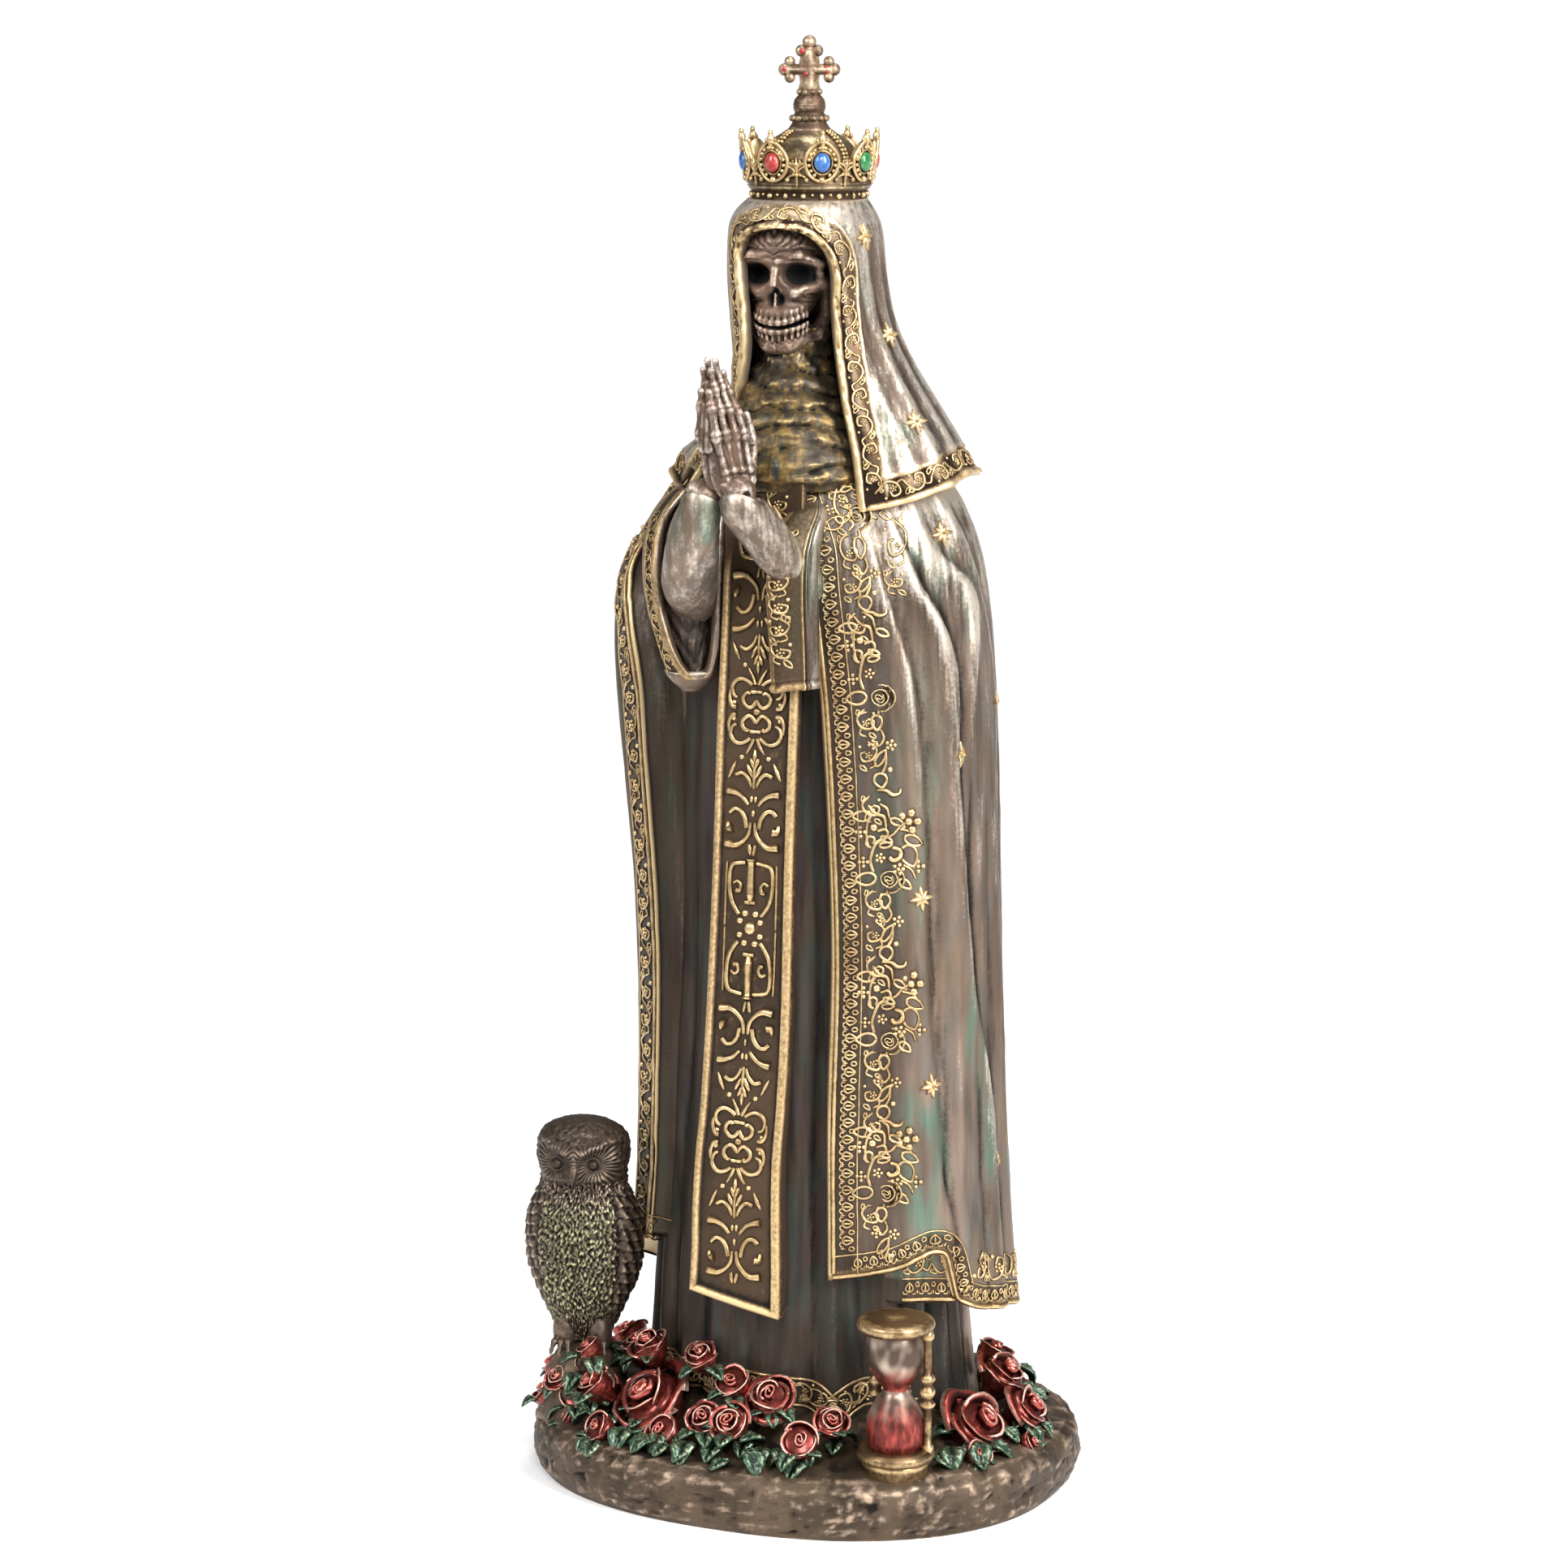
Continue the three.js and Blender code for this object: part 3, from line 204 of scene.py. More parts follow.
def read_rows(mesh, field):
    """The places ("co") or the normals of a mesh's vertices, one row for each."""
    values = np.empty(len(mesh.vertices) * 3)
    mesh.vertices.foreach_get(field, values)
    return values.reshape(-1, 3)


def relief_of(mesh, reach, rounds=14):
    """0 in hollows, 0.5 on flat cloth and 1 on ridges that stand out by reach (metres)."""
    count = len(mesh.vertices)
    points, normals = read_rows(mesh, "co"), read_rows(mesh, "normal")
    edges = np.empty(len(mesh.edges) * 2, int)
    mesh.edges.foreach_get("vertices", edges)
    a, b = edges.reshape(-1, 2).T
    long = np.linalg.norm(points[a] - points[b], axis=1)
    near = long < 3 * np.median(long)
    a, b = a[near], b[near]
    degree = np.maximum(np.bincount(np.concatenate([a, b]), minlength=count), 1)
    soft = points.copy()
    for _ in range(rounds):
        total = np.empty_like(soft)
        for axis in range(3):
            total[:, axis] = np.bincount(a, soft[b, axis], count) + np.bincount(b, soft[a, axis], count)
        soft = 0.3 * soft + 0.7 * total / degree[:, None]
    proud = ((points - soft) * normals).sum(axis=1)
    return np.clip(0.5 + 0.5 * proud / reach, 0, 1)


def set_attribute(mesh, name, values):
    layer = mesh.attributes.new(name, "FLOAT", "POINT")
    layer.data.foreach_set("value", np.asarray(values, np.float32).ravel())


def set_vectors(mesh, name, rows):
    layer = mesh.attributes.new(name, "FLOAT_VECTOR", "POINT")
    layer.data.foreach_set("vector", np.array(rows, np.float32).ravel())


def make_mesh(name, points, faces):
    mesh = bpy.data.meshes.new(name)
    faces = [np.asarray(part) for part in (faces if isinstance(faces, list) else [faces])]
    loops = np.concatenate([part.ravel() for part in faces])
    sizes = np.concatenate([np.full(len(part), part.shape[1]) for part in faces])
    mesh.vertices.add(len(points))
    mesh.vertices.foreach_set("co", (np.asarray(points) * MM).ravel())
    mesh.loops.add(len(loops))
    mesh.loops.foreach_set("vertex_index", loops)
    mesh.polygons.add(len(sizes))
    mesh.polygons.foreach_set("loop_start", np.concatenate([[0], np.cumsum(sizes)[:-1]]))
    mesh.update(calc_edges=True)
    mesh.validate()
    mesh.shade_smooth()
    return mesh


def combined(parts):
    """The points and faces of several parts as one, in their order."""
    points, faces, used = [], [], 0
    for part_points, part_faces in parts:
        points.append(part_points)
        faces += [part + used for part in part_faces]
        used += len(part_points)
    return np.concatenate(points), faces


def face_outward(mesh):
    """Turns the faces of each closed part of a mesh to its outside."""
    work = bmesh.new()
    work.from_mesh(mesh)
    bmesh.ops.recalc_face_normals(work, faces=work.faces)
    work.to_mesh(mesh)
    work.free()


def add_piece(mesh, name, material=None, reach=0.0003, rounds=14, facing=True):
    """Puts a finished mesh in the scene as a piece of the casting."""
    if facing:
        face_outward(mesh)
    if "relief" not in mesh.attributes:
        set_attribute(mesh, "relief", relief_of(mesh, reach, rounds))
    piece = bpy.data.objects.new(name, mesh)
    bpy.context.scene.collection.objects.link(piece)
    if material is not None:
        mesh.materials.clear()
        mesh.materials.append(material)
    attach(piece, "root")
    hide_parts(NODE)
    print(f"{name}: {sum(len(p.vertices) - 2 for p in mesh.polygons)} triangles")
    return piece


def lifted(points):
    """From the figure's own heights to heights above the floor."""
    return points + np.array([0, 0, BASE_TOP])


# %% [markdown]
# Paint is described with ordinary arithmetic. A small class wraps a shader value, so that
# `1 - ridge * 0.5` builds its own Math nodes, and one method makes every other node.

# %% Shader arithmetic
class Value:
    """One output of a shader node, usable in arithmetic."""

    def __init__(self, finish, socket):
        self.finish, self.socket = finish, socket

    def math(self, operation, *others, swap=False):
        terms = [self, *others]
        if swap:
            terms.reverse()
        node = self.finish.node("ShaderNodeMath", {"operation": operation}, dict(enumerate(terms)))
        return Value(self.finish, node.outputs[0])

    def __add__(self, other):
        return self.math("ADD", other)

    def __sub__(self, other):
        return self.math("SUBTRACT", other)

    def __rsub__(self, other):
        return self.math("SUBTRACT", other, swap=True)

    def __mul__(self, other):
        return self.math("MULTIPLY", other)

    __radd__ = __add__
    __rmul__ = __mul__

    def step(self, low, high):
        """0 below low, 1 above high and a smooth rise between."""
        node = self.finish.node(
            "ShaderNodeMapRange",
            {"interpolation_type": "SMOOTHSTEP"},
            {"Value": self, "From Min": low, "From Max": high},
        )
        return Value(self.finish, node.outputs[0])


class Finish:
    """A material and the nodes that paint it."""

    def __init__(self, name):
        self.material = bpy.data.materials.new(name)
        self.material.use_nodes = True
        self.tree = self.material.node_tree
        self.shader = self.tree.nodes["Principled BSDF"]
        self.place = self.node("ShaderNodeTexCoord").outputs["Object"]

    def node(self, kind, settings=None, inputs=None):
        node = self.tree.nodes.new(kind)
        for key, value in (settings or {}).items():
            if key == "stops":
                ramp = node.color_ramp
                for k, (position, colour) in enumerate(value):
                    element = ramp.elements[k] if k < 2 else ramp.elements.new(position)
                    element.position = position
                    element.color = (*colour, 1)
            else:
                setattr(node, key, value)
        for key, value in (inputs or {}).items():
            self.feed(node.inputs[key], value)
        return node

    def feed(self, socket, value):
        if isinstance(value, Value):
            self.tree.links.new(value.socket, socket)
        elif isinstance(value, bpy.types.NodeSocket):
            self.tree.links.new(value, socket)
        elif socket.type == "RGBA" and isinstance(value, tuple) and len(value) == 3:
            socket.default_value = (*value, 1)
        else:
            socket.default_value = value

    def attribute(self, name):
        return Value(self, self.node("ShaderNodeAttribute", {"attribute_name": name}).outputs["Fac"])

    def height(self):
        return Value(self, self.node("ShaderNodeSeparateXYZ", {}, {0: self.place}).outputs["Z"])

    def grain(self, size_mm, stretch=(1, 1, 1), detail=3.0, shift=0.0):
        """Noise from 0 to 1 with features of this size, drawn out along an axis by a small stretch."""
        mapped = self.node(
            "ShaderNodeMapping", {},
            {"Vector": self.place, "Scale": stretch, "Location": (shift, shift, shift)}
        )
        noise_node = self.node(
            "ShaderNodeTexNoise",
            {},
            {"Vector": mapped.outputs[0], "Scale": 1000 / size_mm, "Detail": detail, "Roughness": 0.55},
        )
        return Value(self, noise_node.outputs["Fac"])

    def blend(self, factor, first, second):
        node = self.node(
            "ShaderNodeMix",
            {"data_type": "RGBA", "clamp_factor": True},
            {0: factor, 6: first, 7: second},
        )
        return Value(self, node.outputs[2])

    def ramp(self, value, stops):
        return Value(self, self.node("ShaderNodeValToRGB", {"stops": stops}, {"Fac": value}).outputs["Color"])

    def bump(self, height, depth_mm, strength=1.0):
        node = self.node(
            "ShaderNodeBump", {}, {"Height": height, "Distance": depth_mm * MM, "Strength": strength}
        )
        return Value(self, node.outputs[0])

    def paint(self, **sockets):
        for key, value in sockets.items():
            self.feed(self.shader.inputs[key.replace("_", " ").title()], value)
        return self.material


def srgb(red, green, blue):
    """A colour as a screen shows it, 0 to 255, in the linear values that Blender uses."""
    shares = (red / 255, green / 255, blue / 255)
    return tuple(c / 12.92 if c <= 0.04045 else ((c + 0.055) / 1.055) ** 2.4 for c in shares)


# %% [markdown]
# Every surface has the same three layers, in the order a painter puts them on: the dark wash
# that stays in hollows, the body colour with its streaked tints, and the pale metal that a
# nearly dry brush leaves on the ridges. On the robe the pale metal also spreads towards the
# head, and that is painted top light.

# %% Aged metal
STREAKS = (1, 1, 0.1)  # brush marks run down the cloth
GILDING = (srgb(36, 26, 18), srgb(132, 102, 66), srgb(232, 202, 150))


def aged_metal(
    name,
    dark,
    body,
    pale,
    tints=None,
    tint_amount=0.5,
    metallic=0.85,
    roughness=0.4,
    ridge=(0.55, 0.86),
    hollow=(0.5, 0.2),
    brush=STREAKS,
    pits=0.05,
    patch_mm=22,
    gilded=False,
    blackened_and_shaded=False,
    hairlines_and_top_light=0.0,
):
    finish = Finish(name)
    relief = finish.attribute("relief")
    streak = finish.grain(2.2, brush, 4.0)
    patch = finish.grain(patch_mm, (1, 1, 0.4), 3.0, 0.37)
    speckle = finish.grain(0.7, (1, 1, 1), 2.0, 0.11)
    colour = finish.blend(patch.step(0.35, 0.7), body, tuple(0.42 * c for c in body))
    if tints:
        tint = finish.ramp(finish.grain(patch_mm * 0.8, (1.3, 1.3, 0.3), 2.0, 0.71), tints)
        amount = (streak * 0.7 + finish.grain(patch_mm * 1.3, (1, 1, 0.35), 2.0, 0.93) * 0.9).step(0.62, 1.05)
        colour = finish.blend(amount * tint_amount, colour, tint)
    worn = relief + (streak - 0.5) * 0.55 + (speckle - 0.5) * 0.3 + (patch - 0.5) * 0.4
    if hairlines_and_top_light:  # brushed with hairlines, plus painted top light: paler towards the head
        worn = (
            worn + (finish.grain(0.75, (1, 1, 0.07), 2.0, 0.53) - 0.5) * 0.4
            + (finish.height() - 0.17) * hairlines_and_top_light
        )
    bright = worn.step(*ridge)
    colour = finish.blend(bright * 0.9, colour, pale)
    sunk = 1 - (relief + (speckle - 0.5) * 0.16 + (streak - 0.5) * 0.12).step(hollow[1], hollow[0])
    colour = finish.blend(sunk, colour, dark)
    dull = sunk * 0.25 + (1 - bright) * 0.1 + speckle * 0.12 + (roughness - 0.06)
    if gilded:
        gold_dark, gold_body, gold_pale = GILDING
        shaded = finish.blend(0.82, colour, srgb(50, 38, 30))
        colour = finish.blend(finish.attribute("ground"), colour, shaded)
        leaf_gold = finish.blend((relief + (speckle - 0.5) * 0.5).step(0.45, 0.9), gold_body, gold_pale)
        leaf_gold = finish.blend(sunk, leaf_gold, gold_dark)
        colour = finish.blend(finish.attribute("gilt"), colour, leaf_gold)
    # black paint, and on the skull painted shade round the teeth
    if blackened_and_shaded:
        black_paint_and_shade = finish.attribute("black_paint_and_shade").step(0.1, 0.8)
        colour = finish.blend(black_paint_and_shade, colour, srgb(15, 13, 13))
        dull = dull + black_paint_and_shade * 0.35
    height = speckle * 0.5 + streak * 0.5
    return finish.paint(
        base_color=colour,
        metallic=metallic,
        roughness=dull,
        normal=finish.bump(height, pits, 0.8),
    )


TINTS = [
    (0.3, srgb(132, 106, 98)),
    (0.4, srgb(96, 144, 127)),
    (0.48, srgb(164, 142, 128)),
    (0.56, srgb(124, 128, 124)),
    (0.64, srgb(156, 132, 108)),
    (0.74, srgb(128, 146, 130)),
]
SHADED_TINTS = [
    (0.34, srgb(92, 72, 74)), (0.46, srgb(66, 88, 80)), (0.56, srgb(96, 78, 64)), (0.68, srgb(84, 78, 88))
]
# the robe is painted paler towards the head: painted light from above
robe_bronze = aged_metal(
    "robe_bronze", srgb(36, 28, 23), srgb(122, 103, 88), srgb(228, 215, 198), TINTS, 0.62,
    metallic=0.8, ridge=(0.57, 1.0), pits=0.11, gilded=True, hairlines_and_top_light=2.0,
)
# the dress's dark colour is partly its own and partly painted shade, where the mantle shadows it
dark_dress_and_shade = aged_metal(
    "dark_dress_and_shade", srgb(22, 17, 15), srgb(60, 48, 41), srgb(146, 126, 112), SHADED_TINTS, 0.4,
    ridge=(0.68, 1.1), patch_mm=12, roughness=0.44, metallic=0.6, gilded=True,
)
bone_bronze = aged_metal(
    "bone_bronze", srgb(26, 18, 15), srgb(118, 94, 78), srgb(244, 228, 212), None, 0, roughness=0.36,
    ridge=(0.53, 0.88), brush=(1, 1, 0.6), patch_mm=7, metallic=0.5, blackened_and_shaded=True,
)
face_bronze = aged_metal(
    "face_bronze", srgb(26, 18, 15), srgb(120, 96, 80), srgb(222, 198, 178), None, 0, roughness=0.4,
    ridge=(0.6, 0.95), brush=(1, 1, 0.6), patch_mm=7, metallic=0.5, blackened_and_shaded=True,
)
gold = aged_metal(
    "gold", *GILDING, None, 0, metallic=0.8, roughness=0.34,
    ridge=(0.5, 0.9), brush=(1, 1, 1), patch_mm=14,
)
dark_ground = aged_metal(
    "dark_ground", srgb(30, 22, 15), srgb(76, 58, 40), srgb(146, 116, 80), None, 0,
    roughness=0.55, brush=(1, 1, 1), metallic=0.5, gilded=True,
)
print("finishes:", [m.name for m in bpy.data.materials])

# %% [markdown]
# The floor is a plain pale sweep. Under the figure it is matte and takes a soft shadow; further
# out it glows a little, so that it stays an even white up to the horizon.

# %% Floor finish
sweep = Finish("pale_sweep")
flat_place = sweep.node("ShaderNodeMapping", {}, {"Vector": sweep.place, "Scale": (1, 1, 0)}).outputs[0]
away = Value(
    sweep, sweep.node("ShaderNodeVectorMath", {"operation": "LENGTH"}, {0: flat_place}).outputs["Value"]
)
glow = away.step(0.1, 0.5)
# the sweep is lit behind the figure and dimmer in front, where the bronze mirrors it
ahead_of = Value(
    sweep, sweep.node("ShaderNodeSeparateXYZ", {}, {0: sweep.place}).outputs["Y"]
).step(-0.5, 0.0)
sweep.paint(
    base_color=sweep.blend(glow, (0.9, 0.9, 0.9), (0.02, 0.02, 0.02)),
    emission_color=sweep.blend(
        glow, (0.22, 0.22, 0.22), sweep.blend(ahead_of, (0.34, 0.34, 0.35), (1.0, 1.0, 1.0))
    ),
    emission_strength=1.0,
    roughness=0.9,
)
floor_mesh.materials.append(sweep.material)

# %% [markdown]
# The base is a low squarish oval of rock with a mound of earth behind its rim. It is a stack of
# ovals, closed at both ends, and every point is then pushed out or in by noise: long swells,
# then pits. The underside stays flat, because the figure stands on it.

# %% Base and mound
BASE_LENGTH, BASE_WIDTH, MOUND_HEIGHT = 115.0, 96.0, 9.0
OVAL_BEND = 0.88  # 1 is a true oval; less is squarer
BASE_ROWS = [(0, 0.965), (0.18, 0.99), (0.6, 1), (0.86, 0.99), (1, 0.955)]
MOUND_ROWS = [(0.05, 0.89), (0.14, 0.8), (0.32, 0.68), (0.7, 0.56), (1, 0.45)]


def oval(reach, turn, height):
    x = BASE_LENGTH / 2 * reach * np.sign(np.cos(turn)) * np.abs(np.cos(turn)) ** OVAL_BEND
    y = BASE_WIDTH / 2 * reach * np.sign(np.sin(turn)) * np.abs(np.sin(turn)) ** OVAL_BEND
    return np.stack([x, y, height + 0 * x], axis=-1)


def closed_stack(rings, floor=None, roof=None):
    """Points and faces of a stack of rings (rows, columns, 3), with a point at each end."""
    rows, columns, _ = rings.shape
    floor = rings[0].mean(axis=0) if floor is None else floor
    roof = rings[-1].mean(axis=0) if roof is None else roof
    points = np.concatenate([rings.reshape(-1, 3), [floor], [roof]])
    k = np.arange(columns)
    after = (k + 1) % columns
    last = (rows - 1) * columns
    bottom = np.stack([np.full(columns, rows * columns), after, k], axis=1)
    top = np.stack([np.full(columns, rows * columns + 1), last + k, last + after], axis=1)
    return points, [grid_faces(rows, columns, True), bottom, top]


levels = [(0.0, r) for r in (0.3, 0.6, 0.85)] + [
    (BASE_TOP * share, profile(BASE_ROWS, share)) for share in np.linspace(0, 1, 28)
]
climb = [(0, 0.955)] + MOUND_ROWS
levels += [(BASE_TOP + MOUND_HEIGHT * share, profile(climb, share)) for share in np.linspace(0.05, 1, 22)]
turns = np.linspace(0, 2 * np.pi, 310, endpoint=False)
rock = np.array([oval(reach, turns, height) for height, reach in levels])
NOISE_SHARE = 0.999
side = NOISE_SHARE * smooth(0.4, 1.6, rock[..., 2])[..., None]  # the underside gets no noise
out = rock * np.array([1, 1, 0])
out = out / np.maximum(np.linalg.norm(out, axis=-1, keepdims=True), 1)
x, y, z = rock[..., 0], rock[..., 1], rock[..., 2]
swell = 0.55 * rough(x / 9, y / 9, z / 5, 3) - 0.35
crackle = np.abs(noise(x / 1.6, y / 1.6, z / 1.3, 12)) + 0.5 * np.abs(noise(x / 0.8, y / 0.8, z / 0.7, 14))
pit = 0.45 * crackle - 0.4 * smooth(0.45, 1.0, rough(x / 2.6, y / 2.6, z / 1.8, 9, 2))
rock = rock + side * out * (swell + pit)[..., None]
rock[..., 2] += side[..., 0] * np.where(z > 3, 0.5 * rough(x / 4, y / 4, 0.5, 21) * smooth(2, 9, z), 0)
points, faces = closed_stack(rock)
# the rock's dark colour is partly its own and partly painted shade, for the dim light low down
dark_rock_and_shade = aged_metal(
    "dark_rock_and_shade", srgb(30, 24, 18), srgb(96, 80, 64), srgb(196, 170, 146), None, 0, roughness=0.46,
    ridge=(0.6, 1.12), brush=(1, 1, 1), pits=0.2, patch_mm=10, metallic=0.7,
)
add_piece(make_mesh("base", points, faces), "base", dark_rock_and_shade, reach=0.00055, rounds=12)

# %% [markdown]
# The dress is a pleated skirt that narrows to the chest. Its pleats are a rectified cosine round
# the figure: rounded ridges with sharp creases between them. They drift a little with height,
# so that no two pleats are alike, and die away at the chest.

# %% Dress
DRESS_CENTRE_Y = 3.0
DRESS_PROFILE = [
    (-3, 36.5, 30.5), (6, 35, 29), (20, 33.6, 27.8), (60, 31, 25.5), (110, 29, 24), (150, 28, 23),
    (180, 26, 22), (195, 22, 19), (205, 12, 12), (212, 8, 9),
]


def dress_surface(turn, height):
    half_width, half_depth = profile(DRESS_PROFILE, height)
    drift = (
        11 * turn + 1.3 * np.sin(2 * turn) + 0.35 * np.sin(height / 24)
        + 0.5 * noise(turn * 3, height / 45, 0, 5)
    )
    depth = mix(1.6, 0.9, smooth(0, 120, height)) * (1 - smooth(165, 200, height))
    pleat = depth * (0.45 * np.abs(np.cos(drift)) ** 0.9 + 0.55 * np.cos(drift) ** 2 - 0.6)
    pleat += 0.35 * depth * noise(turn * 9, height / 30, 0, 8) + 0.12 * rough(turn * 30, height / 7, 0, 4)
    return np.stack(
        [(half_width + pleat) * np.cos(turn), DRESS_CENTRE_Y + (half_depth + pleat) * np.sin(turn), height],
        axis=-1,
    )


def round_dress(front, back):
    """Angles round the figure, crowded where the skirt shows between the mantle's edges."""
    near = np.radians(np.linspace(-160, 10, front))
    far = np.radians(np.linspace(10, 200, back + 2)[1:-1])
    return np.concatenate([near, far])


turn, height = np.meshgrid(
    round_dress(206, 30), np.concatenate([np.linspace(-3, 60, 36), np.linspace(63, 210, 38)])
)
points, faces = closed_stack(lifted(dress_surface(turn, height)))
dress = add_piece(make_mesh("dress", points, faces), "dress", dark_dress_and_shade, reach=0.0007, rounds=18)

# %% [markdown]
# The mantle is the largest piece: a cloak open in front. Its cloth is a sheet round the figure,
# given by an angle and a height. The photograph's main creases were followed down the cloth,
# and each is a table of angle by height, with a ridge on one side and a drop on the other, as
# cloth has where one fold lies over the next. Smaller folds between them are plain bells.

# %% Mantle outline
MANTLE_CENTRE_Y = 4.0
MANTLE_PROFILE = [
    (18, 1.6, 42.8, 31.8), (58, 1.5, 40.2, 30), (108, 0.5, 39.5, 28.8), (150, -1.7, 40.6, 28.4),
    (166, -2.6, 40.3, 28.4), (178, -2.3, 38.2, 28), (188, -0.5, 33.6, 26.2), (196, 0.2, 28.8, 22.8),
    (203, 0, 21, 18.5), (209, 0, 13, 13),
]
MANTLE_EDGES = [
    (36, -69, 222.8), (66, -68.7, 224.5), (99, -66.8, 225.5), (132, -66.8, 225), (152, -67.3, 225),
    (165, -68, 220), (176, -69.4, 211), (184, -71.4, 210), (190, -76, 218), (198, -82, 224),
    (204, -86, 226),
]
MANTLE_HEM = [
    (-70, 36), (-50, 38), (-32, 40.6), (-28, 31), (0, 26.5), (40, 23), (90, 20), (150, 22), (185, 30),
    (205, 38), (232, 37),
]
MANTLE_TOP = 208.0

# %% Creases and folds
# Each crease: angle by height from the hem up, how high its near side stands, and the height
# at which it starts to show
CREASES = [
    ([(20, -28), (47, -28.5), (55, -31.2), (76, -33.6), (98, -36), (132, -36.4), (159, -38.6),
      (179, -46.5), (200, -54)], 1.7, 196),
    ([(20, -1), (45, -2.6), (68, -6), (94, -14.7), (111, -18.2), (137, -21.2), (159, -20), (167, -22.7),
      (179, -33), (200, -44)], 2.3, 200),
    ([(20, -14), (60, -15.5), (124, -16.6), (133, -15.3), (154, -10.5), (171, -5.3), (177, -8), (184, -21),
      (200, -32)], 1.1, 202),
    ([(20, 20), (60, 18), (120, 8), (160, 8), (184, -2), (202, -16)], 1.8, 203),
    ([(20, 40), (80, 36), (140, 26), (175, 22), (202, 12)], 1.7, 203),
    ([(20, 60), (90, 58), (150, 48), (202, 40)], 1.9, 203),
    ([(20, 82), (100, 78), (160, 72), (202, 66)], 1.7, 203),
    ([(20, 100), (100, 103), (160, 104), (202, 100)], 1.9, 203),
    ([(20, 122), (100, 126), (160, 130), (202, 128)], 1.7, 203),
    ([(20, 145), (100, 150), (160, 156), (202, 158)], 1.9, 203),
    ([(20, 166), (100, 172), (160, 180), (202, 186)], 1.7, 203),
    ([(20, 186), (100, 194), (150, 200), (180, 202), (202, 206)], 1.3, 200),
]
# Plain folds: angle at the shoulder, angle at the hem, half-width in degrees, ridge
SOFT_FOLDS = [
    (-50, -42, 4.5, 0.6), (-58, -56, 7, 0.35), (-27, -22, 4, 0.9), (-10, -9, 4.5, 1.2), (-5, 8, 5, 1.3),
    (12, 29, 6, 1.2), (33, 50, 6, 1.3), (55, 71, 6.5, 1.1), (88, 91, 6, 1.3), (115, 112, 6.5, 1.1),
    (142, 134, 6, 1.3), (168, 156, 6, 1.1), (192, 176, 5, 1.2), (208, 205, 6, 0.4),
]


def mantle_fold(degrees, height):
    """How far the cloth stands out from its plain outline, in millimetres."""
    drop = smooth(196, 20, height)
    total = -0.7 + 0 * degrees
    for turn_at_top, turn_at_hem, wide, ridge in SOFT_FOLDS:
        away = (degrees - mix(turn_at_top, turn_at_hem, drop)) / (wide * mix(0.85, 1.1, drop))
        total = total + ridge * mix(0.4, 1, drop) * bell(away)
    for path, ridge, start in CREASES:
        line = profile(path, height)
        away = degrees - line
        near = np.where(away < 0, np.exp(away / 7.5), 0) * (1 - 0.66 * np.exp(np.minimum(away, 0) / 2.6))
        after = np.maximum(away, 0)
        far = 0.34 * np.exp(-after / 1.3) - 0.42 * np.exp(-after / 5) * (1 - np.exp(-after / 1.6))
        far = np.where(away >= 0, far, 0)
        total = total + ridge * smooth(start, start - 26, height) * (near + far)
    return total * (1 - smooth(190, 205, height))


def mantle_surface(degrees, height, proud=0.0):
    """Points on the outer face of the mantle, standing proud of it by some millimetres."""
    degrees, height = np.broadcast_arrays(np.asarray(degrees, float), np.asarray(height, float))
    centre, half_width, half_depth = profile(MANTLE_PROFILE, height)
    fold = mantle_fold(degrees, height) + proud
    fold = (
        fold + 0.14 * noise(degrees / 2.2, height / 14, 0, 3)
        + 0.09 * noise(degrees / 1.3, height / 4, 0, 6)
    )
    turn = np.radians(degrees)
    return lifted(
        np.stack(
            [
                centre + (half_width + fold) * np.cos(turn),
                MANTLE_CENTRE_Y + (half_depth + fold) * np.sin(turn), height
            ],
            axis=-1,
        )
    )


crease_drop = float(mantle_fold(-20.0, 110.0) - mantle_fold(-17.0, 110.0))
print("crease depth at the figure's left hip:", round(crease_drop, 2), "mm")

# %% [markdown]
# The cloth is a closed block, as it is in the casting: the outer sheet, an edge that rolls
# inward, a strip of lining that runs back to the dress, and a core inside the figure that
# nobody sees. The hem is a separate height for each angle, so the front panel ends in a
# corner while a second fold hangs lower behind it.

# %% Mantle cloth
def edge_and_lining(edge, side, rows):
    """The rolled edge and the lining behind it, from the outer face to inside the figure."""
    inward = np.array([-4.2, 5.5, 0]) if side > 0 else np.array([9.5, 2.6, 0])
    strip = []
    for across, back in ((0.25, 0.6), (0.1, 1.3), (-0.6, 1.2), (-1.3, 0.6)):
        strip.append(edge + np.array([(-across - 0.6) * side, back * 0.6, 0]))
    start = strip[-1]
    for share in np.linspace(0.12, 1, 12):
        sag = 0.5 * np.sin(share * 9 + rows / 40)[:, None] * np.array([0.2, -1, 0]) * share
        strip.append(start + inward * share + sag)
    return strip


def mantle_block(columns, rows, low=0.0):
    share = low + (1 - low) * np.linspace(0, 1, rows) ** 0.93
    level = mix(30, MANTLE_TOP, share)
    left, right_edge = profile(MANTLE_EDGES, level)
    spread = np.linspace(0, 1, columns)
    spread = spread - 0.045 * np.sin(2 * np.pi * spread)
    degrees = left[:, None] + (right_edge - left)[:, None] * spread
    hem = profile(MANTLE_HEM, degrees)
    height = mix(hem, MANTLE_TOP, share[:, None])
    cloth = mantle_surface(degrees, height)
    first, last = cloth[:, 0], cloth[:, -1]
    near = edge_and_lining(first, 1, height[:, 0])
    far = edge_and_lining(last, -1, height[:, -1])
    core = np.stack([0 * level, 0 * level - 4, (first[:, 2] + last[:, 2]) / 2], axis=1)
    ring = [cloth] + [p[:, None] for p in far] + [core[:, None]] + [p[:, None] for p in reversed(near)]
    return np.concatenate(ring, axis=1)


